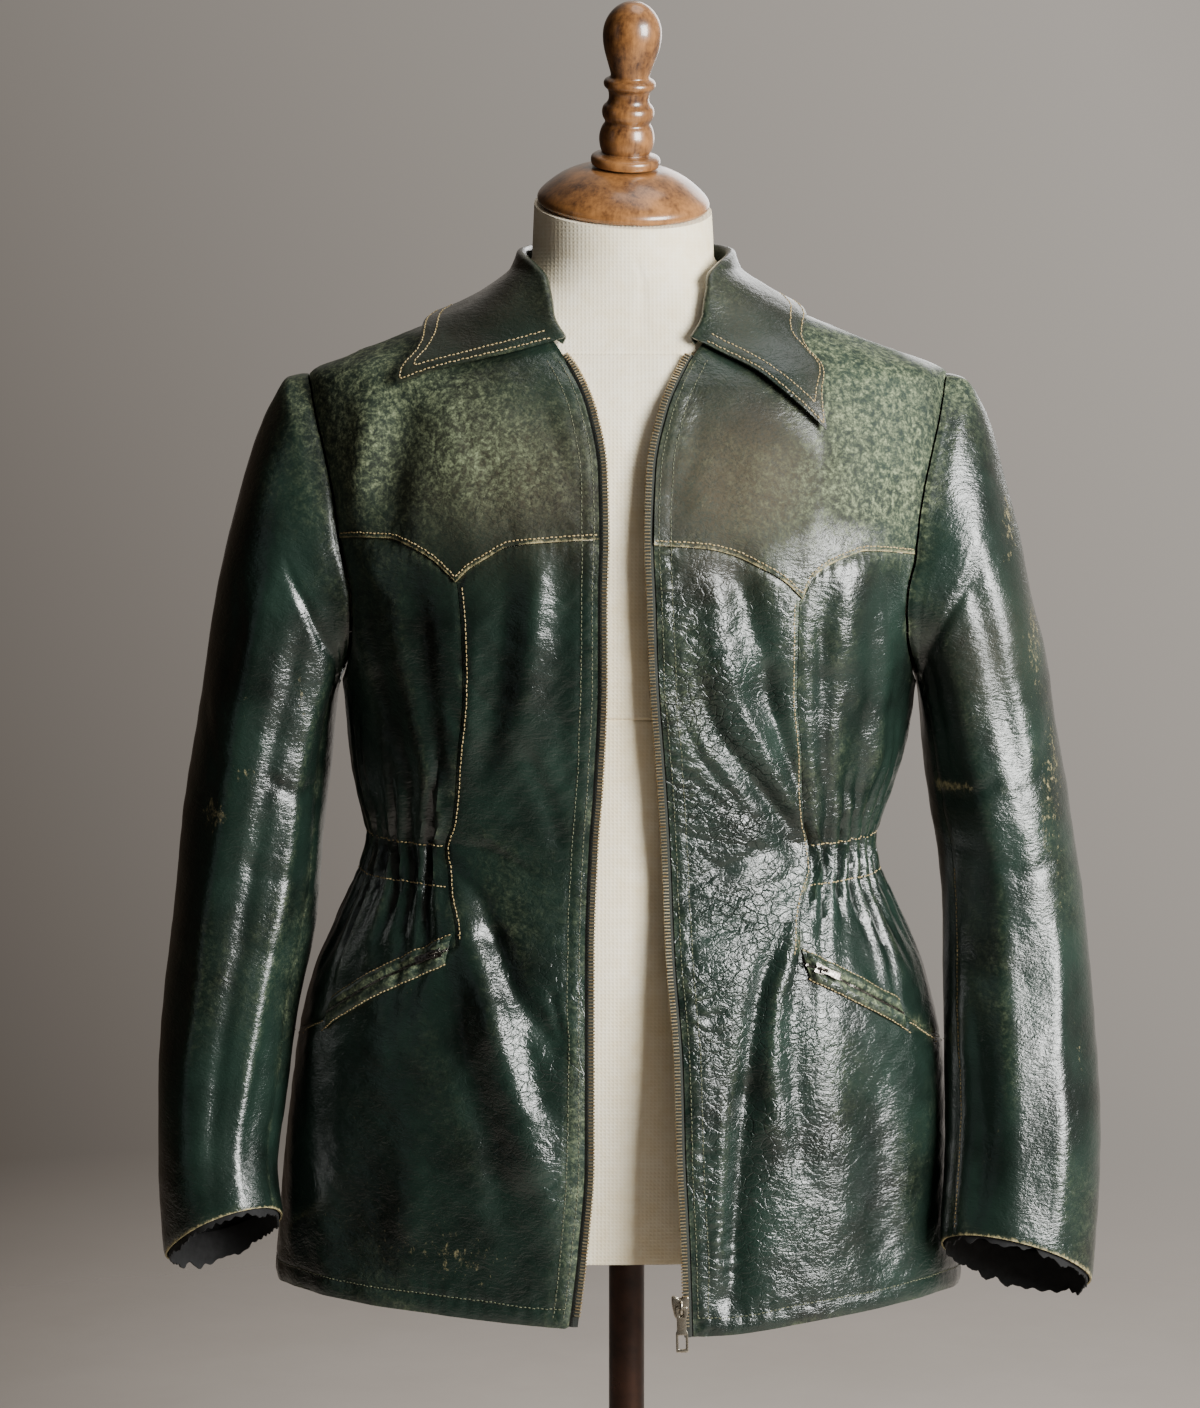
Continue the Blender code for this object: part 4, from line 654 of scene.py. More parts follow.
def crease_height(creases: Iterable[Crease], x: Array, z: Array, scale_x: float = 1.0,
                  scale_z: float = 1.0) -> Array:
    """How far the creases lift or sink the cloth.

    Args:
        creases: The creases.
        x: First coordinate of each place, as the creases give it.
        z: Second coordinate.
        scale_x: Millimetres for one unit of x.
        scale_z: Millimetres for one unit of z.

    Returns:
        The height at each place, in millimetres.
    """
    total = np.zeros(np.shape(x))
    for crease in creases:
        line = np.array(crease.line, float) * (scale_x, scale_z)
        nearest = np.full(np.shape(x), 1e9)
        at_end = np.zeros(np.shape(x))
        lengths = path_length(line)
        for i, (a, b) in enumerate(zip(line, line[1:])):
            run = b - a
            along = ((x * scale_x - a[0]) * run[0] + (z * scale_z - a[1]) * run[1]) / (run @ run)
            along = np.clip(along, 0, 1)
            off = np.hypot(x * scale_x - a[0] - along * run[0], z * scale_z - a[1] - along * run[1])
            share = (lengths[i] + along * (lengths[i + 1] - lengths[i])) / lengths[-1]
            at_end = np.where(off < nearest, share, at_end)
            nearest = np.minimum(off, nearest)
        fade = smooth(at_end, 0.0, 0.18) * (1 - smooth(at_end, 0.82, 1.0)) * 0.75 + 0.25
        total += crease.depth * fade * np.exp(-((nearest / crease.width) ** 2))
    return total


# ---------------------------------------------------------------- finishes
def linear(code: str) -> tuple[float, float, float, float]:
    """An sRGB hex colour, such as #1C2824, as linear red, green, blue and alpha."""
    parts = [int(code[i:i + 2], 16) / 255 for i in (1, 3, 5)]
    return (*[c / 12.92 if c <= 0.04045 else ((c + 0.055) / 1.055) ** 2.4 for c in parts], 1.0)


def add_node(tree: bpy.types.NodeTree, kind: str, inputs: dict | None = None,
             **settings: Any) -> bpy.types.Node:
    """Adds a node, with its settings, values and links.

    Args:
        tree: The tree that gets it.
        kind: The node's type.
        inputs: For each socket, a value or the socket that feeds it.
        settings: The node's own settings.

    Returns:
        The node.
    """
    node = tree.nodes.new(kind)
    for name, value in settings.items():
        setattr(node, name, value)
    for name, value in (inputs or {}).items():
        if isinstance(value, bpy.types.NodeSocket):
            tree.links.new(value, node.inputs[name])
        else:
            node.inputs[name].default_value = value
    return node


def principled(name: str, **values: Any) -> tuple[bpy.types.Material, Any, Any]:
    """A new material.

    Args:
        name: Its name.
        values: Settings of its shader, with _ for the spaces of their names.

    Returns:
        The material, its tree and its shader.
    """
    made = bpy.data.materials.new(name)
    made.use_nodes = True
    tree = made.node_tree
    shader = tree.nodes["Principled BSDF"]
    for key, value in values.items():
        shader.inputs[key.replace("_", " ")].default_value = value
    return made, tree, shader


def mixed(tree: Any, factor: Any, first: Any, second: Any, how: str = "MIX") -> Any:
    """The colour between two, or one laid over the other."""
    node = add_node(tree, "ShaderNodeMix", {0: factor, 6: first, 7: second},
                    data_type="RGBA", blend_type=how)
    return node.outputs[2]


def ramped(tree: Any, value: Any, low: float, high: float, to_low: float = 0.0,
           to_high: float = 1.0) -> Any:
    """A value moved from one range to another and held inside it."""
    node = add_node(tree, "ShaderNodeMapRange", {0: value, 1: low, 2: high, 3: to_low, 4: to_high})
    return node.outputs[0]


def reckoned(tree: Any, how: str, first: Any, second: Any, third: Any = 0.0) -> Any:
    """The result of one sum on two values, or on three."""
    return add_node(tree, "ShaderNodeMath", {0: first, 1: second, 2: third}, operation=how).outputs[0]


def noise(tree: Any, where: Any, size_mm: float, detail: float = 3.0, rough: float = 0.55) -> Any:
    """Soft noise whose spots are about this many millimetres wide."""
    return add_node(
        tree, "ShaderNodeTexNoise",
        {"Vector": where, "Scale": 1000 / size_mm, "Detail": detail, "Roughness": rough},
    ).outputs[0]


def bumped(tree: Any, shader: Any, height_mm: Any) -> None:
    """Gives the shader relief from a height in millimetres."""
    bump = add_node(tree, "ShaderNodeBump", {"Height": height_mm, "Distance": MM, "Strength": 1.0})
    for name in ("Normal", "Coat Normal"):
        tree.links.new(bump.outputs[0], shader.inputs[name])


@dataclass(frozen=True)
class GlazedLeather:
    """Chrome-tanned hide, dyed bottle green and glazed under pressure, then worn for decades.

    The glaze gives it a wet-looking shine that breaks up over fine cracks and pebbled grain;
    where it is rubbed off, the paler dye and then the tan hide show, and they are dull.
    """

    name: str = "bottle_green_glazed_leather"
    dye: str = "#1B2B24"
    # the dark tone: random darker patches, the crack lines, and the painted shade in crease troughs
    deep: str = "#0B130F"
    brown: str = "#3E3729"
    rubbed: str = "#434F3D"
    bleached: str = "#7F8868"
    hide: str = "#A3976F"
    roughness: float = 0.30
    grain_mm: float = 1.5     # real pebbles are 0.7 mm; drawn coarser so that they show
    ripple_mm: float = 5.0    # across the body, and half of that down it; real ones are 1.3 mm apart
    crack_mm: float = 8.5
    fine_crack_mm: float = 3.6

    def make(self) -> bpy.types.Material:
        """Builds the material."""
        # the dyed grain under the glaze is open fibre, which gives back less than a smooth face would
        made, tree, shader = principled(self.name, **{"IOR": 1.5, "Specular IOR Level": 0.3, "Coat IOR": 1.5,
                                                      "Coat Roughness": 0.21})
        place = add_node(tree, "ShaderNodeTexCoord").outputs["Object"]
        stray = add_node(tree, "ShaderNodeTexNoise", {"Vector": place, "Scale": 1000 / 16, "Detail": 3.0})
        bent = add_node(tree, "ShaderNodeVectorMath", {0: stray.outputs[1], 1: (0.010,) * 3, 2: place},
                        operation="MULTIPLY_ADD").outputs[0]
        flat = add_node(tree, "ShaderNodeMapping", {"Vector": bent, "Scale": (1.0, 1.0, 1.45)}).outputs[0]
        # mesh attributes: the kinds of wear, the crazed places, and the painted shade of the crease troughs
        worn = {kind: add_node(tree, "ShaderNodeAttribute", attribute_name=kind).outputs["Fac"]
                for kind in ("pale", "tan", "brown", "deep", "cracked")}
        speck = noise(tree, bent, 4.5, 8.0, 0.72)
        fleck = noise(tree, place, 1.9, 4.0, 0.65)
        cloud = noise(tree, place, 60.0, 4.0)
        blotch = reckoned(tree, "MULTIPLY", ramped(tree, speck, 0.40, 0.60, 0.18, 1.0),
                          ramped(tree, fleck, 0.38, 0.60, 0.25, 1.15))
        pale = reckoned(tree, "MULTIPLY", ramped(tree, worn["pale"], 0.12, 1.1), blotch)
        drawn = add_node(tree, "ShaderNodeMapping", {"Vector": bent, "Scale": (1.0, 1.0, 0.6)}).outputs[0]
        bare = self._rubbed(tree, noise(tree, drawn, 3.2, 7.0, 0.78), worn["tan"], 0.27, 0.72, 0.92)
        colour = mixed(tree, ramped(tree, cloud, 0.32, 0.68), linear(self.dye), linear(self.deep))
        brown = reckoned(tree, "MULTIPLY", worn["brown"], ramped(tree, fleck, 0.36, 0.60, 0.45, 1.0))
        colour = mixed(tree, brown, colour, linear(self.brown))
        tint = mixed(tree, ramped(tree, speck, 0.40, 0.64), linear(self.rubbed), linear(self.bleached))
        colour = mixed(tree, pale, colour, tint)
        colour = mixed(tree, bare, colour, linear(self.hide))
        share = reckoned(tree, "MAXIMUM", worn["cracked"], 0.06)
        crack = self._cracks(tree, flat, self.crack_mm, 0.075)
        fine = self._cracks(tree, flat, self.fine_crack_mm, 0.13)
        lined = reckoned(tree, "MULTIPLY", ramped(tree, crack, 0.0, 0.9, 0.6, 0.0), share)
        # crack lines, and painted shade in the crease troughs, darken the colour towards the dark tone
        colour = mixed(tree, reckoned(tree, "MAXIMUM", lined, worn["deep"]), colour, linear(self.deep))
        tree.links.new(colour, shader.inputs["Base Color"])
        dull = reckoned(tree, "MAXIMUM", ramped(tree, worn["pale"], 0.25, 0.9), ramped(tree, worn["brown"], 0.1, 0.7))
        dull = reckoned(tree, "MAXIMUM", reckoned(tree, "MULTIPLY", dull, ramped(tree, fleck, 0.3, 0.6, 0.75, 1.0)), bare)
        rough = reckoned(tree, "MULTIPLY_ADD", dull, 0.48, third=self.roughness)
        tree.links.new(rough, shader.inputs["Roughness"])
        tree.links.new(ramped(tree, dull, 0.0, 0.8, 0.68, 0.0), shader.inputs["Coat Weight"])
        low = add_node(tree, "ShaderNodeMapping", {"Vector": bent, "Scale": (1.0, 1.0, 2.5)}).outputs[0]
        ripple = noise(tree, low, self.ripple_mm, 3.0, 0.6)
        pebble = add_node(tree, "ShaderNodeTexVoronoi", {"Vector": bent, "Scale": 1000 / self.grain_mm},
                          feature="F1").outputs[0]
        height = reckoned(tree, "MULTIPLY", reckoned(tree, "MULTIPLY_ADD", fine, 0.35, third=crack), share)
        height = reckoned(tree, "MULTIPLY", height, 0.36)
        height = reckoned(tree, "MULTIPLY_ADD", ripple, 0.50, third=height)
        height = reckoned(tree, "MULTIPLY_ADD", pebble, -0.07, third=height)
        wave = reckoned(tree, "MULTIPLY", noise(tree, bent, 13.0, 2.0), reckoned(tree, "MULTIPLY_ADD", share, 0.5, third=0.16))
        bumped(tree, shader, reckoned(tree, "ADD", height, wave))
        return made

    def _cracks(self, tree: Any, where: Any, size_mm: float, width: float) -> Any:
        """A net of fine lines, 0 in the lines and 1 between them."""
        cells = add_node(tree, "ShaderNodeTexVoronoi", {"Vector": where, "Scale": 1000 / size_mm},
                         feature="DISTANCE_TO_EDGE")
        return ramped(tree, cells.outputs[0], 0.0, width)

    def _rubbed(self, tree: Any, spots: Any, amount: Any, reach: float, low: float, high: float) -> Any:
        """Spots that spread and join as the wear grows."""
        summed = reckoned(tree, "ADD", spots, reckoned(tree, "MULTIPLY", amount, reach))
        return ramped(tree, summed, low, high)


@dataclass(frozen=True)
class PlainFinish:
    """A finish of one colour with soft unevenness, such as thread, tape, lining or metal."""

    name: str
    colour: str
    shade: str
    roughness: float
    metallic: float = 0.0
    spot_mm: float = 4.0
    relief_mm: float = 0.05

    def make(self) -> bpy.types.Material:
        """Builds the material."""
        made, tree, shader = principled(self.name, Metallic=self.metallic)
        place = add_node(tree, "ShaderNodeTexCoord").outputs["Object"]
        spots = noise(tree, place, self.spot_mm, 5.0, 0.65)
        colour = mixed(tree, ramped(tree, spots, 0.36, 0.64), linear(self.shade), linear(self.colour))
        tree.links.new(colour, shader.inputs["Base Color"])
        dull = ramped(tree, spots, 0.3, 0.7, self.roughness + 0.08, self.roughness - 0.05)
        tree.links.new(dull, shader.inputs["Roughness"])
        bumped(tree, shader, reckoned(tree, "MULTIPLY", spots, self.relief_mm))
        return made


@dataclass(frozen=True)
class WovenCloth:
    """Plain-woven linen or cotton: crossing threads catch the light one by one, with slubs.

    A real linen cover has a thread each 0.6 mm; here they are a little coarser so as to show.
    """

    name: str
    colour: str
    shade: str
    thread_mm: float
    roughness: float = 0.85
    relief_mm: float = 0.16

    def make(self) -> bpy.types.Material:
        """Builds the material."""
        made, tree, shader = principled(self.name, Roughness=self.roughness, Sheen_Weight=0.15)
        place = add_node(tree, "ShaderNodeTexCoord").outputs["Object"]
        waves = [
            add_node(tree, "ShaderNodeTexWave",
                     {"Vector": place, "Scale": 1000 / self.thread_mm / 20 * 2 * pi / 2, "Distortion": 1.2,
                      "Detail": 2.0, "Detail Scale": 0.6}, bands_direction=way).outputs[1]
            for way in ("X", "Z")
        ]
        weave = reckoned(tree, "MAXIMUM", *waves)
        slub = noise(tree, place, 9.0, 5.0, 0.6)
        stain = noise(tree, place, 120.0, 3.0)
        share = reckoned(tree, "ADD", ramped(tree, slub, 0.3, 0.7, 0.0, 0.45), ramped(tree, stain, 0.35, 0.65, 0.0, 0.4))
        colour = mixed(tree, share, linear(self.colour), linear(self.shade))
        colour = mixed(tree, ramped(tree, weave, 0.0, 1.0, 0.28, 0.0), colour, linear(self.shade))
        tree.links.new(colour, shader.inputs["Base Color"])
        bumped(tree, shader, reckoned(tree, "MULTIPLY", weave, self.relief_mm))
        return made


@dataclass(frozen=True)
class PolishedWood:
    """Turned beech, stained brown and French polished: grain runs up it under a clear gloss."""

    name: str = "stained_polished_beech"
    light: str = "#9C6A3C"
    dark: str = "#3C2212"
    ring_mm: float = 5.0

    def make(self) -> bpy.types.Material:
        """Builds the material."""
        made, tree, shader = principled(
            self.name, Roughness=0.34, Coat_Weight=0.6, Coat_Roughness=0.14,
        )
        place = add_node(tree, "ShaderNodeTexCoord").outputs["Object"]
        drawn = add_node(tree, "ShaderNodeMapping", {"Vector": place, "Scale": (1.0, 1.0, 0.16)}).outputs[0]
        rings = add_node(tree, "ShaderNodeTexWave",
                         {"Vector": drawn, "Scale": 1000 / self.ring_mm / 20, "Distortion": 5.0, "Detail": 4.0,
                          "Detail Scale": 1.4}, wave_type="RINGS", rings_direction="Z").outputs[1]
        pores = noise(tree, drawn, 2.4, 6.0, 0.7)
        share = reckoned(tree, "ADD", ramped(tree, rings, 0.1, 0.9, 0.0, 0.35), ramped(tree, pores, 0.35, 0.7, 0.0, 0.5))
        blotch = noise(tree, place, 14.0, 7.0, 0.68)
        share = reckoned(tree, "ADD", share, ramped(tree, blotch, 0.38, 0.66, -0.22, 0.4))
        tree.links.new(mixed(tree, share, linear(self.light), linear(self.dark)), shader.inputs["Base Color"])
        bumped(tree, shader, reckoned(tree, "MULTIPLY", pores, 0.05))
        return made


LEATHER = GlazedLeather()
THREAD = PlainFinish("ochre_cotton_thread", "#BBA67B", "#8C784E", 0.75, spot_mm=1.5)
# The same thread where polish and dirt have darkened it.
DULLED = PlainFinish("dirtied_cotton_thread", "#66664C", "#3C4234", 0.6, spot_mm=1.5)
LINING = PlainFinish("black_satin_lining", "#08080A", "#040405", 0.85, spot_mm=6.0, relief_mm=0.2)
TAPE = WovenCloth("olive_cotton_zip_tape", "#1F231B", "#10130F", 0.8, relief_mm=0.1)
LINEN = WovenCloth("cream_linen_cover", "#F8EFDA", "#E4D0A6", 1.3)
# Brass: its die-cast teeth keep a warm shine on top and tarnish brown between.
BRASS = PlainFinish("tarnished_brass", "#E9DDBB", "#A88A5C", 0.34, 1.0, 3.0, 0.03)
# Nickel plate, rubbed thin by fingers, so it is warm grey and softly bright.
NICKEL = PlainFinish("rubbed_nickel_plate", "#CFC8B8", "#8A8172", 0.24, 1.0, 3.0, 0.03)
COPPERED = PlainFinish("darkened_coppered_steel", "#8C8680", "#35312D", 0.3, 1.0, 2.0, 0.04)
# Steel tube and cast base under dark bronze lacquer: smooth, half glossy.
BRONZED = PlainFinish("bronze_lacquered_steel", "#3A241A", "#20130E", 0.32, 0.55, 20.0, 0.02)
WOOD = PolishedWood()
FLOOR = PlainFinish("pale_matt_studio_floor", "#B4ABA3", "#AEA59D", 0.85, spot_mm=300.0, relief_mm=0.0)


# ---------------------------------------------------------------- the jacket's body
def power(value: Any, exponent: float) -> Array:
    """A power that keeps the value's sign."""
    return np.sign(value) * np.abs(value) ** exponent


def fold_height(folds: Iterable[Fold], x: Array, z: Array) -> Array:
    """How far the straight folds lift or sink the cloth at each place."""
    total = np.zeros(np.shape(x))
    for fold in folds:
        run = np.array([fold.x1 - fold.x0, fold.z1 - fold.z0], float)
        along = ((x - fold.x0) * run[0] + (z - fold.z0) * run[1]) / (run @ run)
        along = np.clip(along, 0, 1)
        off = np.hypot(x - fold.x0 - along * run[0], z - fold.z0 - along * run[1])
        total += fold.depth * np.exp(-((off / fold.width) ** 2))
    return total


@dataclass(frozen=True)
class Figure:
    """The jacket's body as its wearer fills it: its rings, its seams and the folds in its cloth."""

    gather_depth: float = 3.8
    gathers_front: int = 8
    gathers_back: int = 5
    gather_back_end: float = radians(128)
    gather_reach: float = 50.0
    pucker_pitch: float = 6.3
    pucker_depth_left: float = 0.75
    pucker_depth_right: float = 0.4
    band_rows: tuple = (3.0, 11.0)   # stitch rows behind the leather's folded front edge
    groove: float = 0.45

    @cached_property
    def rings(self) -> dict[str, Curve]:
        """The rings' sizes by height."""
        heights = column(RINGS, "height")
        return {name: curve_through(heights, column(RINGS, name))
                for name in ("half_width", "front", "back", "shift")}

    @cached_property
    def edges(self) -> dict[Side, Curve]:
        """How far out each half's zip lies, by height."""
        return {side: curve_through(column(FRONT_EDGE, "height"), column(FRONT_EDGE, side.name.lower()))
                for side in Side}

    @cached_property
    def princess(self) -> dict[Side, Curve]:
        """How far out each princess seam lies, by height."""
        return {side: curve_through(column(PRINCESS, "height"), column(PRINCESS, side.name.lower()))
                for side in Side}

    def ring_point(self, angle: Array, height: Array) -> Array:
        """The plain body, with no folds."""
        reach = 2 / SQUARENESS
        rings = self.rings
        depth = np.where(np.cos(angle) > 0, rings["front"](height), rings["back"](height))
        x = rings["shift"](height) + rings["half_width"](height) * power(np.sin(angle), reach)
        y = -depth * power(np.cos(angle), reach)
        return np.stack([x, y, np.broadcast_to(height, x.shape)], axis=-1)

    def ring_normal(self, angle: Array, height: Array) -> Array:
        """Which way the plain body faces."""
        turn = self.ring_point(angle + 0.02, height) - self.ring_point(angle - 0.02, height)
        rise = self.ring_point(angle, height + 1.5) - self.ring_point(angle, height - 1.5)
        normal = np.cross(turn, rise)
        return normal / np.linalg.norm(normal, axis=-1, keepdims=True)

    def angle_of(self, x: Array, height: Array) -> Array:
        """The angle, on the front half, of the body's point at this x and height."""
        across = (x - self.rings["shift"](height)) / self.rings["half_width"](height)
        return np.arcsin(np.clip(power(across, SQUARENESS / 2), -1, 1))

    def side_angle(self, side: Side, across: Any, height: Any) -> Array:
        """The angle, as on the left, of a point so far out on this side."""
        return np.abs(self.angle_of(side.sign * np.asarray(across, float), height))

    def princess_angle(self, side: Side, height: Any) -> Array:
        """The princess seam's angle, as on the left."""
        return self.side_angle(side, self.princess[side](height), height)

    def edge_angle(self, side: Side, height: Any, behind: float = ZIP_TAPE_SHOWN) -> Array:
        """The angle, as on the left, of a line so far behind the zip's teeth."""
        return self.side_angle(side, self.edges[side](height) + behind, height)

    def hem_height(self, angle: Any) -> Array:
        """The hem's height at this angle."""
        turned = np.degrees((np.asarray(angle) + pi) % (2 * pi) - pi)
        return curve_through(column(HEM, "degrees"), column(HEM, "height"))(turned)

    def gathers(self, angle: Array, height: Array) -> Array:
        """The elastic's gathers: uneven ridges that fan out above and below the waist."""
        swung = (angle + pi) % (2 * pi) - pi
        turned = np.abs(swung)
        total = np.zeros(np.shape(angle))
        off = (height - WAIST) / self.gather_reach
        for side in Side:
            start = np.minimum(self.princess_angle(side, height), radians(70))
            forward = (turned - start) / (pi / 2 - start)
            backward = (turned - pi / 2) / (self.gather_back_end - pi / 2)
            waves = np.where(turned < pi / 2, self.gathers_front * forward, self.gathers_back * backward)
            drift = 0.16 * np.sin(2.3 * waves + side.sign) * off + 0.10 * np.sin(5 * off + waves)
            inside = smooth(forward, 0.0, 0.06) * (1 - smooth(backward, 0.75, 1.0))
            long = 1 + 0.28 * np.sin(4.7 * np.round(waves) + 2 * side.sign)
            fade = np.exp(-((np.abs(off) / long) ** 1.7))
            size = 0.85 + 0.3 * np.sin(2.9 * np.round(waves) + side.sign)
            crest = np.cos(2 * pi * (waves + drift))
            crest = -(crest + 0.25 * (2 * crest ** 2 - 1)) / 1.1
            total += np.where(swung * side.sign > 0, crest * inside * fade * size, 0)
        rows = sum(np.exp(-(((height - row) / 2.2) ** 2)) for row in (WAIST - 13, WAIST + 13))
        return self.gather_depth * total * (1 - 0.35 * rows)

    def sewn(self, angle: Array, point: Array) -> Array:
        """Grooves and puckers beside the stitched edges of the fronts."""
        x, z = point[..., 0], point[..., 2]
        total = np.zeros(np.shape(x))
        stray = uneven(point, 34.0, 3.0)
        for side in Side:
            depth = self.pucker_depth_left if side is Side.LEFT else self.pucker_depth_right
            off = x * side.sign - self.edges[side](z) - ZIP_TAPE_SHOWN
            tilt = (0.12 + 0.3 * uneven(point, 60.0, 11.0)) * off
            wave = np.cos(2 * pi * (z + 3.4 * stray + tilt) / self.pucker_pitch) + 0.7 * uneven(point, 9.0, 12.0)
            fade = smooth(off, -1, 4) * (1 - smooth(off, 14 + 9 * stray, 36 + 16 * stray))
            rise = depth * wave * fade * np.clip(0.5 + 0.6 * uneven(point, 30.0, 13.0), 0, 1)
            for row in self.band_rows:
                rise = rise - self.groove * np.exp(-(((off - row) / 1.7) ** 2)) * smooth(off, -3, 0)
            seam = z - yoke_seam(side, np.abs(x))
            ruffle = np.cos(2 * pi * (x + 2 * stray) / 5.6) * np.exp(-((seam / 9) ** 2)) * smooth(off, 0, 14)
            total += np.where(x * side.sign > 0, rise * (z < 1000) + 0.28 * ruffle, 0)
        hem = z - self.hem_height(angle)
        total = total * smooth(np.cos(angle), 0.0, 0.2)
        total += 0.22 * np.cos(2 * pi * angle / 0.042) * np.exp(-(((hem - HEM_STITCH) / 9) ** 2))
        return total - self.groove * np.exp(-(((hem - HEM_STITCH) / 1.8) ** 2))

    def surface(self, angle: Any, height: Any, out: Any = 0.0, fine: bool = True) -> Array:
        """Points of the jacket's outer face.

        Args:
            angle: Angles round the body.
            height: Heights.
            out: How far the points stand off it, in millimetres.
            fine: Whether the small creases, puckers and grooves are in it.

        Returns:
            Points in millimetres.
        """
        angle, height = np.asarray(angle, float), np.asarray(height, float)
        point = self.ring_point(angle, height)
        x, z = point[..., 0], point[..., 2]
        facing = smooth(np.cos(angle), -0.1, 0.25)
        behind = smooth(-np.cos(angle), -0.1, 0.25)
        rise = fold_height(FRONT_FOLDS, x, z) * facing + fold_height(BACK_FOLDS, x, z) * behind
        rise += self.gathers(angle, height)
        if fine:
            rise += crease_height(FRONT_CREASES, x, z) * facing
            rise += crease_height(BACK_CREASES, x, z) * behind
            rise += self.sewn(angle, point)
            rise += 0.6 * uneven(point, 38.0) + 0.18 * uneven(point, 14.0, 1.0) + 0.07 * uneven(point, 7.0, 2.0)
        return point + self.ring_normal(angle, height) * (rise + out)[..., None]

    def armhole(self, side: Side, turn: Any) -> tuple[Array, Array]:
        """Angle, as on the left, and height of this armhole's point at a place round the sleeve."""
        turn = np.asarray(turn, float) % (2 * pi)
        at = np.degrees(np.minimum(turn, 2 * pi - turn))
        across, high = ARMHOLE["across"](at), ARMHOLE["height"](at)
        blend = smooth(at, 74, 90)
        upper = np.where(at < 0.5, pi / 2, self.side_angle(side, across, high))
        angle = (1 - blend) * upper + blend * np.radians(ARMHOLE["low_degrees"](at))
        height = (1 - blend) * high + blend * ARMHOLE["low_height"](at)
        return np.where(turn > pi, pi - angle, angle), height

    def armhole_angle_at(self, side: Side, heights: Array) -> Array:
        """The front armhole's angle, as on the left, at each of these heights."""
        angles, levels = self.armhole(side, np.linspace(0, pi, 721))
        return np.interp(-np.asarray(heights), -levels, angles)


def yoke_seam(side: Side, across: Any) -> Array:
    """Height of the yoke seam so far out on this side: two curves that meet in its point."""
    rows = YOKE_SEAM[side.value]
    tip = YOKE_TIP[side.value]
    inner = [row for row in rows if row.across <= tip]
    outer = [row for row in rows if row.across >= tip]
    if outer[0].across > tip:
        outer.insert(0, inner[-1])
    halves = [curve_through(column(part, "across"), column(part, "height")) for part in (inner, outer)]
    return np.where(np.asarray(across) < tip, halves[0](across), halves[1](across))


def pocket_line(side: Side, angle: Any) -> Array:
    """Height of the pocket seam at an angle on this side."""
    rows = POCKET_SEAM[side.value]
    angles = FIGURE.side_angle(side, column(rows, "across"), column(rows, "height"))
    return curve_through(np.append(angles[:-1], pi / 2), column(rows, "height"))(angle)


def armhole_across(height: Any) -> Array:
    """How far out the upper armhole lies at this height."""
    turns = np.linspace(0, 82, 200)
    return np.interp(-np.asarray(height), -ARMHOLE["height"](turns), ARMHOLE["across"](turns))


ARMHOLE: dict[str, Curve] = {
    "across": curve_through(column(ARMHOLE_UPPER, "round_sleeve"), column(ARMHOLE_UPPER, "across")),
    "height": curve_through(column(ARMHOLE_UPPER, "round_sleeve"), column(ARMHOLE_UPPER, "height")),
    "low_degrees": curve_through(column(ARMHOLE_LOWER, "round_sleeve"), column(ARMHOLE_LOWER, "degrees")),
    "low_height": curve_through(column(ARMHOLE_LOWER, "round_sleeve"), column(ARMHOLE_LOWER, "height")),
}
FIGURE = Figure()


# ---------------------------------------------------------------- cloth
def grid_quads(rows: int, columns: int, closed: bool = False) -> Array:
    """The quads of a grid of points, row by row.

    Args:
        rows: Rows of points.
        columns: Points in a row.
        closed: Whether each row runs on into its start.

    Returns:
        Four point numbers for each quad.
    """
    r, c = np.meshgrid(np.arange(rows - 1), np.arange(columns if closed else columns - 1), indexing="ij")
    r, c = r.ravel(), c.ravel()
    after = (c + 1) % columns
    here, above = r * columns, (r + 1) * columns
    return np.stack([here + c, here + after, above + after, above + c], axis=1)


def rim_edges(quads: Array) -> Array:
    """The edges that only one quad uses, as that quad runs along them."""
    ends = np.concatenate([quads[:, [i, (i + 1) % 4]] for i in range(4)])
    _, first, count = np.unique(np.sort(ends, axis=1), axis=0, return_index=True, return_counts=True)
    return ends[first[count == 1]]


def coons(bottom: Array, top: Array, left: Array, right: Array, across: Array | None = None) -> Array:
    """A patch of plane points between four edges: bottom and top run left to right."""
    across = np.linspace(0, 1, len(bottom)) if across is None else across
    across = across[None, :, None]
    up = np.linspace(0, 1, len(left))[:, None, None]
    flat = ((1 - across) * (1 - up) * bottom[0] + across * (1 - up) * bottom[-1]
            + (1 - across) * up * top[0] + across * up * top[-1])
    return ((1 - up) * bottom[None] + up * top[None]
            + (1 - across) * left[:, None] + across * right[:, None] - flat)


@dataclass
class Cut:
    """A piece of cloth as it lies on the figure, in millimetres."""

    face: Array
    normal: Array
    quads: Array
    width: float
    length: float
    rub: Array | None = None
    rub_kind: str = "tan"
    sheltered: bool = False

    @classmethod
    def from_grid(cls, face: Array, normal: Array, closed: bool = False) -> "Cut":
        """A cut whose points lie in rows, from one edge to the other."""
        rows, columns = face.shape[:2]
        width = np.linalg.norm(np.diff(face, axis=1), axis=-1).sum(axis=1).max()
        length = np.linalg.norm(np.diff(face, axis=0), axis=-1).sum(axis=0).max()
        quads = grid_quads(rows, columns, closed)
        return cls(face.reshape(-1, 3), normal.reshape(-1, 3), quads, float(width), float(length))

    def rubbed_row(self, columns: int, last: bool, amount: float, reach: float = 1.5) -> "Cut":
        """The same cut, rubbed along its first or its last row of points."""
        grid = self.face.reshape(-1, columns, 3)
        steps = np.linalg.norm(np.diff(grid, axis=0), axis=-1)
        depth = np.concatenate([np.zeros((1, columns)), np.cumsum(steps, axis=0)])
        depth = depth[-1] - depth if last else depth
        self.rub = (amount * np.exp(-((depth / reach) ** 2))).ravel()
        return self


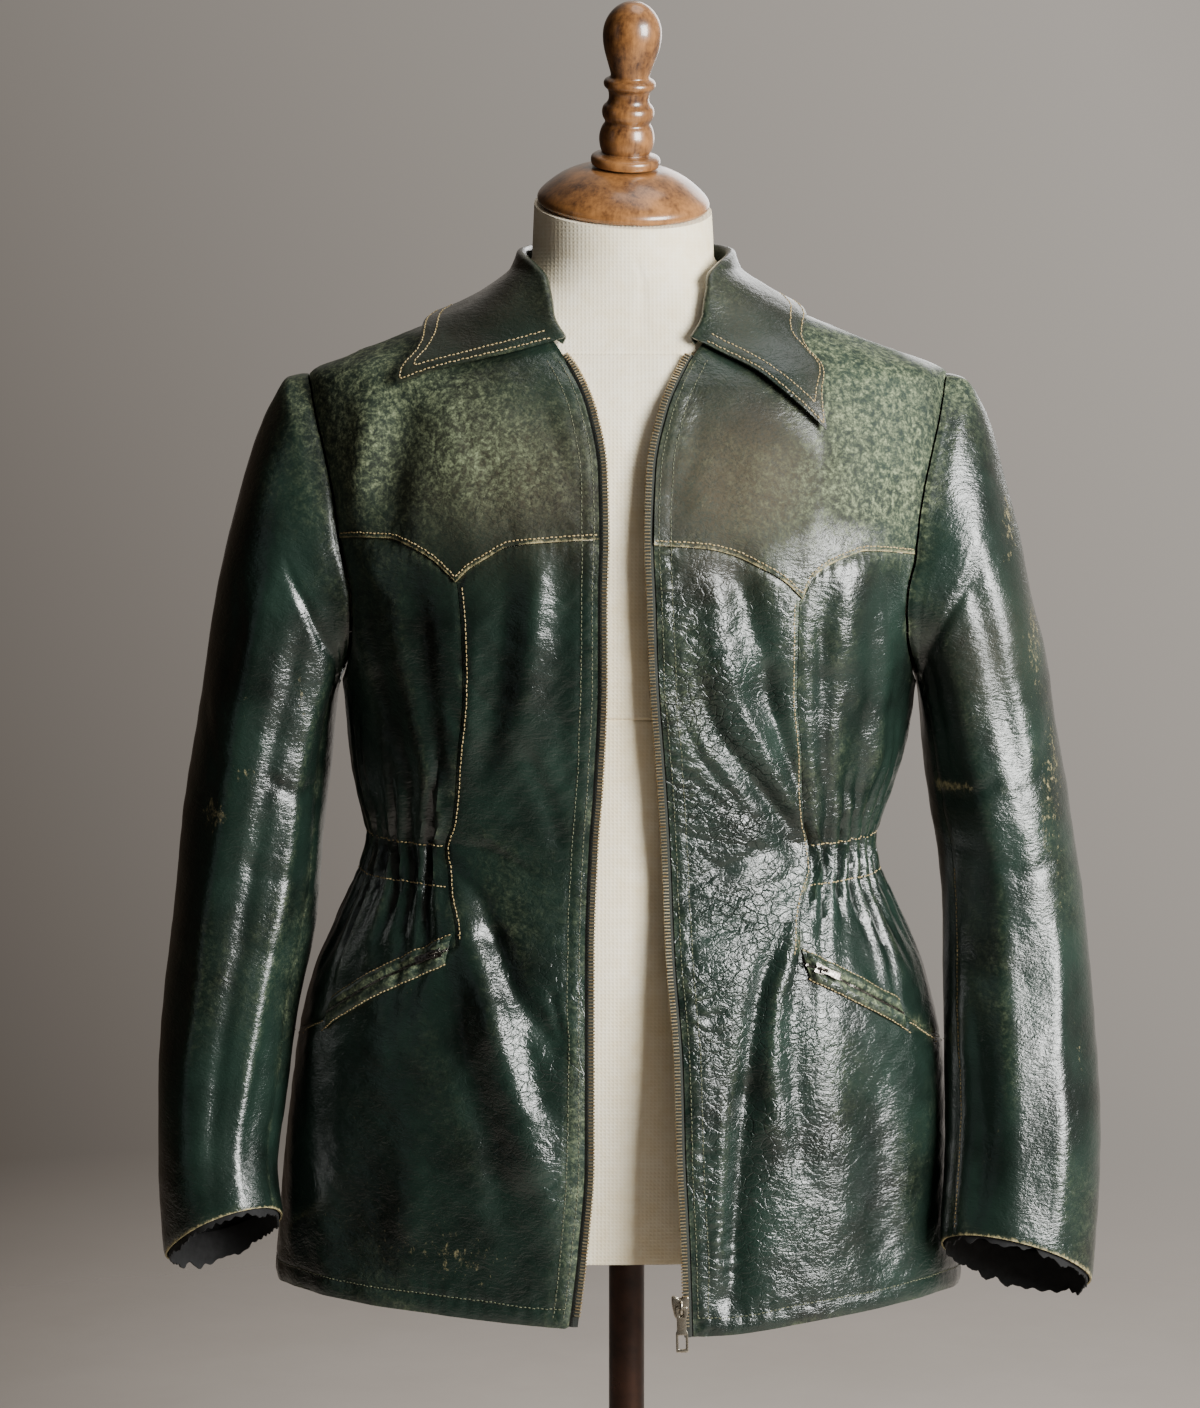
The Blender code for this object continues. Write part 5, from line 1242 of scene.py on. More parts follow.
@dataclass(frozen=True)
class WearAndCreaseShade:
    """Where the leather is rubbed, and how much, and where shade is painted into its crease troughs."""

    edge_reach: float = 2.2
    edge: float = 0.6

    def marks(self, cut: Cut, face: Array, rim: Array, fine: Array) -> dict[str, Array]:
        """The amounts of each kind of wear, and of painted crease shade, at each point.

        Args:
            cut: The piece of cloth.
            face: Its points, in millimetres.
            rim: Each point's distance from the piece's edge.
            fine: How far the small creases lift each point.

        Returns:
            For each kind, an amount from 0 up.
        """
        found = {kind: np.zeros(len(face)) for kind in ("pale", "tan", "brown", "deep")}
        front = smooth(-cut.normal[:, 1], -0.25, 0.35)
        for place in () if cut.sheltered else WORN_PLACES:
            off = ((face[:, 0] - place.x) / place.half_x) ** 2 + ((face[:, 2] - place.z) / place.half_z) ** 2
            found[place.kind] += place.amount * np.exp(-off) * front
            rear = 0.55 if place.kind == "tan" else 0.4
            off_x = (face[:, 0] + place.x + 14) / place.half_x
            off_z = (face[:, 2] - place.z + 9) / place.half_z
            off = off_x ** 2 + off_z ** 2
            found[place.kind] += rear * place.amount * np.exp(-off) * (1 - front)
        patchy = 0.55 + 0.45 * uneven(face, 26.0, 5.0)
        near = np.exp(-rim / self.edge_reach)
        found["tan"] += self.edge * near * patchy
        found["pale"] += 0.4 * np.exp(-rim / (2 * self.edge_reach)) * patchy + 0.14 * np.clip(fine, 0, 2)
        found["pale"] += 0.05 + 0.12 * uneven(face, 90.0, 6.0)
        # painted shade: the troughs of the small creases are darkened towards the leather's dark tone
        found["deep"] += np.clip(-0.35 * fine - 0.1, 0, 0.8)
        if cut.sheltered:
            found["brown"] += 0.22 + 0.14 * uneven(face, 45.0, 3.0)
        if cut.rub is not None:
            found[cut.rub_kind] += cut.rub * (0.85 + 0.25 * uneven(face, 9.0, 4.0))
        x, z = face[:, 0], face[:, 2]
        found["cracked"] = np.zeros(len(face))
        for place in CRACKED_PLACES:
            off = ((x - place.x) / place.half_x) ** 2 + ((z - place.z) / place.half_z) ** 2
            found["cracked"] += place.amount * np.exp(-off) * front
        found["cracked"] *= 0.75 + 0.35 * uneven(face, 40.0, 2.0)
        return {kind: np.clip(amount, 0, 1.4) for kind, amount in found.items()}


def rim_distance(points: Array, quads: Array) -> Array:
    """Each point's distance from the nearest edge of the sheet."""
    rim = points[np.unique(rim_edges(quads))]
    nearest = np.empty(len(points))
    for start in range(0, len(points), 2000):
        part = points[start:start + 2000]
        gaps = ((part[:, None, :] - rim[None]) ** 2).sum(axis=-1)
        nearest[start:start + 2000] = np.sqrt(gaps.min(axis=1))
    return nearest


def new_mesh(name: str, points: Array, faces: Sequence, finishes: Sequence[bpy.types.Material],
             sharp: float = 50.0) -> bpy.types.Mesh:
    """A mesh from points in millimetres.

    Args:
        name: The mesh's name.
        points: Points, in millimetres.
        faces: Point numbers of each face.
        finishes: Its materials.
        sharp: Edges that bend more than these degrees stay sharp.

    Returns:
        The mesh, with smooth faces.
    """
    mesh = bpy.data.meshes.new(name)
    outlines = faces.tolist() if isinstance(faces, np.ndarray) else faces
    mesh.from_pydata((np.asarray(points) * MM).tolist(), [], outlines)
    for finish in finishes:
        mesh.materials.append(finish)
    mesh.shade_smooth()
    mesh.set_sharp_from_angle(angle=radians(sharp))
    return mesh


def placed(name: str, mesh: bpy.types.Mesh, nodes: Sequence[str] = (), body: str = BODY,
           matrix: Matrix | None = None) -> bpy.types.Object:
    """Puts a mesh into the scene as one piece of the object.

    Args:
        name: The piece's name.
        mesh: Its mesh.
        nodes: The CAD nodes that it stands for.
        body: The body that it rides on.
        matrix: Where it stands, if its mesh isn't already in place.

    Returns:
        The piece.
    """
    made = bpy.data.objects.new(name, mesh)
    bpy.context.scene.collection.objects.link(made)
    if matrix is not None:
        made.matrix_world = matrix
    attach(made, body)
    if nodes:
        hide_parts(*nodes)
    return made


@dataclass(frozen=True)
class Cloth:
    """Turns a cut into a sewn piece: a thin wall with rolled edges."""

    thick: float = WALL
    roll: float = 0.9
    roll_width: float = 2.4

    def sew(self, name: str, cut: Cut, finishes: Sequence[bpy.types.Material],
            nodes: Sequence[str]) -> bpy.types.Object:
        """Args:
            name: The piece's name.
            cut: The cloth.
            finishes: The materials of its outer face and of its lining.
            nodes: The CAD nodes that it stands for.

        Returns:
            The piece.
        """
        rim = rim_distance(cut.face, cut.quads)
        outer = cut.face - cut.normal * (self.roll * np.exp(-((rim / self.roll_width) ** 2)))[:, None]
        inner = cut.face - cut.normal * self.thick
        count = len(outer)
        edges = rim_edges(cut.quads)
        lining = cut.quads[:, ::-1] + count
        border = np.stack([edges[:, 1], edges[:, 0], edges[:, 0] + count, edges[:, 1] + count], axis=1)
        faces = np.concatenate([cut.quads, border, lining])
        points = np.concatenate([outer, inner])
        corners = points[faces]
        volume = np.einsum("ij,ij->i", corners[:, 0], np.cross(corners[:, 1], corners[:, 2])).sum()
        volume += np.einsum("ij,ij->i", corners[:, 0], np.cross(corners[:, 2], corners[:, 3])).sum()
        if volume < 0:
            faces = faces[:, ::-1]
        mesh = new_mesh(name, points, faces, finishes)
        if len(finishes) > 1:
            index = np.zeros(len(faces), np.int32)
            index[-len(lining):] = 1
            mesh.polygons.foreach_set("material_index", index)
        soft = self._softened(cut.face, cut.quads, cut.normal)
        for kind, amount in WearAndCreaseShade().marks(cut, outer, rim, soft).items():
            values = np.concatenate([amount, amount]).astype(np.float32)
            mesh.attributes.new(kind, "FLOAT", "POINT").data.foreach_set("value", values)
        piece = placed(name, mesh, nodes)
        return piece

    def _softened(self, face: Array, quads: Array, normal: Array) -> Array:
        """How far each point stands above the average of its surroundings, along its normal."""
        mean = face
        for _ in range(10):
            mean = self._averaged(mean, quads)
        return np.einsum("ij,ij->i", face - mean, normal)

    def _averaged(self, points: Array, quads: Array) -> Array:
        """Each point moved to the middle of the quads round it."""
        middle = points[quads].mean(axis=1)
        total, count = np.zeros_like(points), np.zeros(len(points))
        for i in range(4):
            np.add.at(total, quads[:, i], middle)
            np.add.at(count, quads[:, i], 1)
        return total / count[:, None]


# ---------------------------------------------------------------- the fronts and the back
def arched_rows(bottom: Array, top: Array, left_at: Curve, right_at: Curve, rows: int) -> tuple[Array, Array]:
    """Distances out and heights of a yoke, whose rows crowd towards the shoulder's ridge.

    Args:
        bottom: Points of its lower edge, as distance out and height.
        top: Points of its upper edge.
        left_at: How far out its left edge lies, by height.
        right_at: The same for its right edge.
        rows: Rows of points.

    Returns:
        The distances out, and the heights.
    """
    up = np.sin(np.linspace(0, pi / 2, rows))[:, None]
    across = np.linspace(0, 1, len(bottom))[None, :]
    x = bottom[:, 0] + up * (top[:, 0] - bottom[:, 0])
    z = bottom[:, 1] + up * (top[:, 1] - bottom[:, 1])
    left = left_at(z[:, 0]) - x[:, 0]
    right = right_at(z[:, -1]) - x[:, -1]
    return x + (1 - across) * left[:, None] + across * right[:, None], z


def shoulder_ridge(count: int) -> Array:
    """The shoulder seam, from the neck point out to the sleeve, as distance out and height."""
    widths = FIGURE.rings["half_width"]
    heights = np.linspace(SHOULDER_TIP, NECK_POINT, 200)
    x = np.linspace(float(widths(NECK_POINT)), ARMHOLE_UPPER[0].across, count)
    z = np.interp(-x, -widths(heights), heights)
    z[-1] = SHOULDER_TIP
    return np.stack([x, z], axis=-1)


def on_body(angle: Array, height: Array, out: Any = 0.0) -> Cut:
    """A cut that lies on the body at these rows of angles and heights."""
    return Cut.from_grid(FIGURE.surface(angle, height, out), FIGURE.ring_normal(angle, height))


@dataclass(frozen=True)
class Front:
    """One half of the front: pointed yoke, centre panel and gathered side panel."""

    side: Side
    ridge_turn: float = 0.0016
    yoke_steps: int = 5
    yoke_rows: int = 64
    panel_columns: int = 50
    wide_columns: int = 56
    low_rows: int = 118
    high_rows: int = 132
    inner_heights: tuple = (642, 660, 673, 686, 699, 713, 735, 765, 795, 820, 843, 858)
    outer_heights: tuple = (592, 640, 668, 686, 704, 724, 752, 777, 800, 822, 848, 868)

    @property
    def half(self) -> float:
        """Half a seam's gap."""
        return SEAM_GAP / 2

    @property
    def start(self) -> float:
        """How far out the leather's folded edge lies at the yoke seam."""
        return float(FIGURE.edges[self.side](YOKE_FRONT)) + ZIP_TAPE_SHOWN

    @property
    def tip(self) -> float:
        """How far out the yoke's point lies."""
        return YOKE_TIP[self.side.value]

    @property
    def sleeve_x(self) -> float:
        """How far out the yoke seam meets the sleeve."""
        return float(armhole_across(yoke_seam(self.side, 190.0)))

    @property
    def corner(self) -> tuple[float, float]:
        """Angle and height where the princess seam meets the pocket seam."""
        height = float(POCKET_SEAM[self.side.value][0].height)
        return float(FIGURE.princess_angle(self.side, height)), height

    def yoke(self) -> Cut:
        """From the shoulder seam and neckline down to the pointed seam."""
        side, steps = self.side, self.yoke_steps
        inner, outer = np.linspace(self.start, self.tip, 9), np.linspace(self.tip, self.sleeve_x, 9)
        coarse = np.concatenate([inner, outer[1:]])
        across = spread(coarse, 16 * steps + 1)
        bottom = np.stack([across, yoke_seam(side, across) + self.half], axis=-1)
        places = spread([row.degrees for row in NECKLINE if row.degrees <= 90], 5 * steps + 1)
        seam = NECK["seam"](places)
        neck = np.stack([FIGURE.ring_point(np.radians(places), seam)[:, 0], seam], axis=-1)
        shift = float(FIGURE.edges[side](neck[0, 1])) + ZIP_TAPE_SHOWN - neck[0, 0]
        neck[:steps, 0] += shift * np.linspace(1, 0, steps, endpoint=False)
        top = np.concatenate([neck, shoulder_ridge(11 * steps + 1)[1:]])
        x, z = arched_rows(bottom, top, lambda h: FIGURE.edges[side](h) + ZIP_TAPE_SHOWN, armhole_across,
                           self.yoke_rows)
        angle = np.minimum(FIGURE.side_angle(side, x, z), pi / 2 - self.ridge_turn)
        angle[-1, 5 * steps:] = pi / 2 - self.ridge_turn
        lap = YOKE_LAP * (1 - smooth(np.linspace(0, 1, self.yoke_rows), 0.0, 0.25))[:, None]
        lap = lap * (1 - smooth(np.linspace(0, 1, len(across)), 0.86, 1.0))
        return on_body(side.sign * angle, z, lap).rubbed_row(len(across), False, 1.3)

    def panel(self) -> Cut:
        """Centre front from the yoke to the hem, widening to the side seam below the pocket."""
        side, half = self.side, self.half
        turn = half / 150
        corner_angle, corner = self.corner
        along = np.linspace(self.start, self.tip, self.panel_columns)
        level = yoke_seam(side, along) - half
        top = np.stack([FIGURE.side_angle(side, along, level), level], axis=-1)
        top[-1, 0] -= turn
        right_z = spread([corner, *self.inner_heights, top[-1, 1]], self.high_rows)
        right = np.stack([FIGURE.princess_angle(side, right_z) - turn, right_z], axis=-1)
        right[-1] = top[-1]
        left_z = np.linspace(corner, top[0, 1], self.high_rows)
        left = np.stack([FIGURE.edge_angle(side, left_z), left_z], axis=-1)
        left[-1] = top[0]
        middle = np.linspace(left[0, 0], right[0, 0], self.panel_columns)
        bottom = np.stack([middle, np.full(self.panel_columns, corner)], axis=-1)
        upper = coons(bottom, top, left, right)
        beyond = np.linspace(corner_angle, pi / 2 - turn, self.wide_columns)[1:]
        over = np.concatenate([bottom, np.stack([beyond, pocket_line(side, beyond) - half], axis=-1)])
        low = float(FIGURE.hem_height(side.sign * radians(12)))
        start = float(FIGURE.edge_angle(side, low))
        under_angle = np.interp(over[:, 0], [over[0, 0], pi / 2], [start, pi / 2])
        under = np.stack([under_angle, FIGURE.hem_height(side.sign * under_angle)], axis=-1)
        left_z = np.linspace(low, corner, self.low_rows)
        left = np.stack([FIGURE.edge_angle(side, left_z), left_z], axis=-1)
        right_z = np.linspace(under[-1, 1], over[-1, 1], self.low_rows)
        right = np.stack([np.full(self.low_rows, over[-1, 0]), right_z], axis=-1)
        under[0], under[-1] = left[0], right[0]
        lower = coons(under, over, left, right)
        return self._joined(lower, upper)

    def _joined(self, lower: Array, upper: Array) -> Cut:
        """One sheet from two patches that share the first points of the lower one's top row."""
        rows, total = lower.shape[:2]
        points = np.concatenate([lower.reshape(-1, 2), upper[1:].reshape(-1, 2)])
        base, first, count = (rows - 1) * total, rows * total, upper.shape[1]
        c = np.arange(count - 1)
        joint = np.stack([base + c, base + c + 1, first + c + 1, first + c], axis=1)
        quads = np.concatenate([grid_quads(rows, total), joint, grid_quads(len(upper) - 1, count) + first])
        angle, height = self.side.sign * points[:, 0], points[:, 1]
        face, normal = FIGURE.surface(angle, height), FIGURE.ring_normal(angle, height)
        low = face[:rows * total].reshape(rows, total, 3)
        high = face[first:].reshape(-1, count, 3)
        width = np.linalg.norm(np.diff(low, axis=1), axis=-1).sum(axis=1).max()
        length = np.linalg.norm(np.diff(np.concatenate([low[:, 0], high[:, 0]]), axis=0), axis=-1).sum()
        return Cut(face, normal, quads, float(width), float(length))

    def side_panel(self) -> Cut:
        """Princess seam to side seam, yoke to pocket, gathered at the waist."""
        side, half = self.side, self.half
        turn = half / 150
        columns = 6 * FIGURE.gathers_front + 1
        corner_angle, _ = self.corner
        along = np.linspace(self.tip, self.sleeve_x, columns)
        level = yoke_seam(side, along) - half
        top = np.stack([FIGURE.side_angle(side, along, level), level], axis=-1)
        top[0, 0] += turn
        low = np.linspace(corner_angle + turn, pi / 2 - turn, columns)
        bottom = np.stack([low, pocket_line(side, low) + half], axis=-1)
        left_z = spread([bottom[0, 1], *self.inner_heights, top[0, 1]], self.high_rows)
        right_z = spread([bottom[-1, 1], *self.outer_heights, top[-1, 1]], self.high_rows)
        left = np.stack([FIGURE.princess_angle(side, left_z) + turn, left_z], axis=-1)
        armhole = FIGURE.armhole_angle_at(side, right_z)
        right_angle = np.where(right_z > ARMPIT + 1, armhole, pi / 2 - turn)
        right = np.stack([right_angle, right_z], axis=-1)
        left[0], left[-1], right[0] = bottom[0], top[0], bottom[-1]
        top[-1] = right[-1]
        patch = coons(bottom, top, left, right)
        return on_body(side.sign * patch[..., 0], patch[..., 1])

    def stitch_rows(self) -> list[Array]:
        """The stitched lines of this half, as points on the body."""
        side = self.side
        rows = []
        x = np.linspace(self.start + 1, self.sleeve_x - 1, 160)
        z = yoke_seam(side, x) + 3.2
        rows.append((FIGURE.side_angle(side, x, z), z))
        z = np.linspace(self.corner[1] + 4, yoke_seam(side, self.tip) - 3, 160)
        rows.append((FIGURE.princess_angle(side, z) - 2.2 / 150, z))
        for off in (-13, 13):
            first = float(FIGURE.princess_angle(side, WAIST + off)) + 0.015
            angle = np.linspace(first, FIGURE.gather_back_end, 160)
            rows.append((angle, np.full(160, WAIST + off)))
        start, end = self.corner[0] + 0.01, POCKET_END[side.value] + 0.03
        for off in (-10.4, 10.4):
            angle = np.linspace(start, end, 120)
            rows.append((angle, pocket_line(side, angle) + off * 1.18))
        angle = np.linspace(end + 0.01, pi / 2 - 0.01, 50)
        rows.append((angle, pocket_line(side, angle) - 2.4))
        return [FIGURE.surface(side.sign * angle, height, 3.0) for angle, height in rows]

    def dulled_rows(self) -> list[Array]:
        """The lines beside the zip and along the hem, which hardly show."""
        rows = []
        for row in FIGURE.band_rows:
            z = np.linspace(396, 1018, 260)
            rows.append((FIGURE.edge_angle(self.side, z, ZIP_TAPE_SHOWN + row), z))
        angle = np.linspace(float(FIGURE.edge_angle(self.side, 396)) + 0.01, pi / 2, 200)
        rows.append((angle, FIGURE.hem_height(self.side.sign * angle) + HEM_STITCH))
        return [FIGURE.surface(self.side.sign * angle, height, 3.0) for angle, height in rows]


@dataclass(frozen=True)
class Back:
    """The back below its yoke, and the yoke: plain, as the photograph hides them."""

    ridge_turn: float = 0.0016
    neck_columns: int = 16
    ridge_columns: int = 41
    yoke_rows: int = 48
    side_columns: int = 41
    middle_columns: int = 82
    rows: int = 146

    def yoke(self) -> Cut:
        """One yoke across the back, armhole to armhole, up to the shoulder seams and neckline."""
        sleeve_x = float(armhole_across(BACK_YOKE_SEAM))
        places = np.linspace(180, 90, self.neck_columns)
        seam = NECK["seam"](places)
        neck = np.stack([FIGURE.ring_point(np.radians(places), seam)[:, 0], seam], axis=-1)
        ridge = shoulder_ridge(self.ridge_columns)
        half = np.concatenate([neck, ridge[1:]])
        half[0, 0] = 0
        top = np.concatenate([half[:0:-1] * (-1, 1), half])
        across = np.linspace(-sleeve_x, sleeve_x, len(top))
        bottom = np.stack([across, np.full(len(top), BACK_YOKE_SEAM + SEAM_GAP / 2)], axis=-1)
        x, z = arched_rows(bottom, top, lambda h: -armhole_across(h), armhole_across, self.yoke_rows)
        limit = pi / 2 - self.ridge_turn
        angle = np.clip(FIGURE.angle_of(x, z), -limit, limit)
        angle[-1, :self.ridge_columns] = -limit
        angle[-1, -self.ridge_columns:] = limit
        lap = YOKE_LAP * (1 - smooth(np.linspace(0, 1, self.yoke_rows), 0.0, 0.25))[:, None]
        return on_body(pi - angle, z, np.broadcast_to(lap, z.shape)).rubbed_row(len(across), False, 1.2)

    def panel(self) -> Cut:
        """The back below its yoke, side seam to side seam."""
        half = SEAM_GAP / 2
        turn = half / 150
        end = FIGURE.gather_back_end
        edge = np.linspace(pi / 2 + turn, end, self.side_columns)
        middle = np.linspace(end, 2 * pi - end, self.middle_columns)[1:-1]
        low = np.concatenate([edge, middle, (2 * pi - edge)[::-1]])
        bottom = np.stack([low, FIGURE.hem_height(low)], axis=-1)
        top_height = BACK_YOKE_SEAM - half
        sleeves = [float(FIGURE.armhole_angle_at(side, top_height)) for side in Side]
        top_angle = np.interp(low, [low[0], low[-1]], [pi - sleeves[0], pi + sleeves[1]])
        top = np.stack([top_angle, np.full(len(low), top_height)], axis=-1)
        heights = np.linspace(bottom[0, 1], top_height, self.rows)
        sides = []
        for side, sign, start in ((Side.LEFT, -1, low[0]), (Side.RIGHT, 1, low[-1])):
            armhole = pi + sign * FIGURE.armhole_angle_at(side, heights)
            sides.append(np.stack([np.where(heights > ARMPIT + 1, armhole, start), heights], axis=-1))
        left, right = sides
        left[-1], right[-1], right[0] = top[0], top[-1], bottom[-1]
        patch = coons(bottom, top, left, right, across=(low - low[0]) / (low[-1] - low[0]))
        return on_body(patch[..., 0], patch[..., 1])

    def stitch_rows(self) -> list[Array]:
        """The stitched line above the yoke's edge."""
        reach = pi / 2 - 0.35
        across = np.linspace(pi - reach, pi + reach, 300)
        return [FIGURE.surface(across, np.full(300, BACK_YOKE_SEAM + 3.2), 3.0)]

    def dulled_rows(self) -> list[Array]:
        """The line along the hem."""
        angle = np.linspace(pi / 2, 3 * pi / 2, 300)
        return [FIGURE.surface(angle, FIGURE.hem_height(angle) + HEM_STITCH, 3.0)]


NECK: dict[str, Curve] = {
    name: curve_through(column(NECKLINE, "degrees"), column(NECKLINE, name)) for name in ("seam", "fold")
}


# ---------------------------------------------------------------- sleeves and collar
@dataclass(frozen=True)
class Sleeve:
    """A two-piece sleeve with its lining: turns start at the outer point and run to the front."""

    side: Side
    columns: int = 98
    under_columns: int = 27
    rows: int = 200
    seam_turn: float = 0.004
    step_mm: float = 47.0     # a step down the sleeve, for its creases

    @cached_property
    def at(self) -> dict[str, Curve]:
        """The oval's sizes by steps down the sleeve."""
        rows = SLEEVE[self.side.value]
        return {name: curve_through(np.arange(len(rows)), column(rows, name)) for name in Section._fields}

    @property
    def last(self) -> float:
        """The cuff's step."""
        return len(SLEEVE[self.side.value]) - 1.0

    def oval(self, turn: Array, along: Array) -> Array:
        """The plain oval, without the armhole's shape."""
        at = {name: curve(along) for name, curve in self.at.items()}
        middle_x = (at["out_x"] + at["in_x"]) / 2
        middle_z = (at["out_z"] + at["in_z"]) / 2
        x = self.side.sign * (middle_x + (at["out_x"] - middle_x) * np.cos(turn))
        y = at["middle_y"] - at["half_depth"] * np.sin(turn)
        z = middle_z + (at["out_z"] - middle_z) * np.cos(turn) + at["lift"] * np.sin(turn)
        return np.stack([x, y, z], axis=-1)

    def centre(self, along: Array) -> Array:
        """The middle of the oval."""
        return (self.oval(np.zeros(1), along) + self.oval(np.full(1, pi), along)) / 2

    def plain(self, turn: Array, along: Array) -> Array:
        """The sleeve with no creases: the armhole's own shape fades down it."""
        angle, height = FIGURE.armhole(self.side, turn)
        seam = FIGURE.surface(self.side.sign * angle, height)
        seam[..., 0] += self.side.sign * ARMHOLE_GAP
        left_over = seam - self.oval(turn, np.zeros(np.shape(turn)))
        return self.oval(turn, along) + self.at["armhole"](along)[..., None] * left_over

    def normal(self, turn: Array, along: Array) -> Array:
        """Which way the sleeve faces."""
        point = self.plain(turn, along)
        after, before = (np.clip(along + step, 0, self.last) for step in (0.05, -0.05))
        run = self.plain(turn, after) - self.plain(turn, before)
        normal = np.cross(self.plain(turn + 0.02, along) - self.plain(turn - 0.02, along), run)
        normal /= np.linalg.norm(normal, axis=-1, keepdims=True)
        outward = np.sum(normal * (point - self.centre(along)), axis=-1, keepdims=True)
        return np.where(outward < 0, -1, 1) * normal

    def relief(self, turn: Array, along: Array, point: Array) -> Array:
        """How far its creases lift each point."""
        turned = np.degrees(turn) % 360 + 0 * along
        along = along + 0 * turn
        rise = crease_height(SLEEVE_CREASES[self.side.value], turned, along, 1.0, self.step_mm)
        free = smooth(along, 0.0, 0.5)
        ease = 0.5 * np.cos(2 * pi * turned / 7.2) * np.exp(-((along / 0.3) ** 2))
        soft = 0.8 * uneven(point, 60.0, 7.0) + 0.14 * uneven(point, 20.0, 8.0) + 0.06 * uneven(point, 7.0, 9.0)
        for seam in (degrees(FRONT_SLEEVE_SEAM), degrees(BACK_SLEEVE_SEAM)):
            off = turned - seam
            soft -= 0.35 * np.exp(-(((off - 2.6) / 1.5) ** 2)) + 0.35 * np.exp(-(((off + 2.6) / 1.5) ** 2))
            soft += 0.22 * np.cos(2 * pi * along * self.step_mm / 5.8) * np.exp(-((off / 8) ** 2))
        return rise * free + ease + soft * (0.25 + 0.75 * free)

    def surface(self, turn: Array, along: Array, out: float = 0.0) -> Array:
        """Points of the outer face, moved out by so many millimetres."""
        point = self.plain(turn, along)
        rise = self.relief(turn, along, point) + out
        return point + self.normal(turn, along) * rise[..., None]

    def cut(self, start: float, end: float, columns: int) -> Cut:
        """The cloth between two turns."""
        turn = np.linspace(start + self.seam_turn, end - self.seam_turn, columns)[None, :]
        along = np.linspace(0, self.last, self.rows)[:, None]
        cut = Cut.from_grid(self.surface(turn, along), self.normal(turn, along))
        return cut.rubbed_row(columns, True, 1.5, 1.2)

    def top(self) -> Cut:
        """The upper piece, from the back seam over the outside to the front seam."""
        return self.cut(BACK_SLEEVE_SEAM - 2 * pi, FRONT_SLEEVE_SEAM, self.columns)

    def under(self) -> Cut:
        """The under piece."""
        return self.cut(FRONT_SLEEVE_SEAM, BACK_SLEEVE_SEAM, self.under_columns)

    def lining(self) -> Cut:
        """The torn end of the lining, which hangs a little out of the cuff."""
        columns, rows = 180, 10
        turn = np.linspace(0, 2 * pi, columns, endpoint=False)[None, :]
        along = np.linspace(self.last - 0.3, self.last, rows - 3)[:, None]
        inside = -WALL - 1.2
        down = self.centre(np.array([self.last])) - self.centre(np.array([self.last - 0.3]))
        down = down / np.linalg.norm(down)
        rim = self.plain(turn, np.array([[self.last]]))
        torn = 3.4 + 1.8 * uneven(rim, 15.0, 4.0) + 1.3 * uneven(rim, 5.0, 2.0)
        face = [self.surface(turn, along, inside)]
        edge = self.surface(turn, np.array([[self.last]]), inside)
        normal = [self.normal(turn, along)]
        for share in (0.35, 0.7, 1.0):
            face.append(edge + down * (torn * share)[..., None] - normal[0][-1:] * 0.4 * share)
            normal.append(normal[0][-1:])
        return Cut.from_grid(np.concatenate(face), np.concatenate(normal), closed=True)

    def stitch_rows(self) -> list[Array]:
        """The stitched line beside the lower end of the front seam, on the wearer's left only."""
        if self.side is Side.RIGHT:
            return []
        along = np.linspace(8.2, self.last - 0.1, 200)
        return [self.surface(np.full(200, FRONT_SLEEVE_SEAM - radians(2.6)), along)]


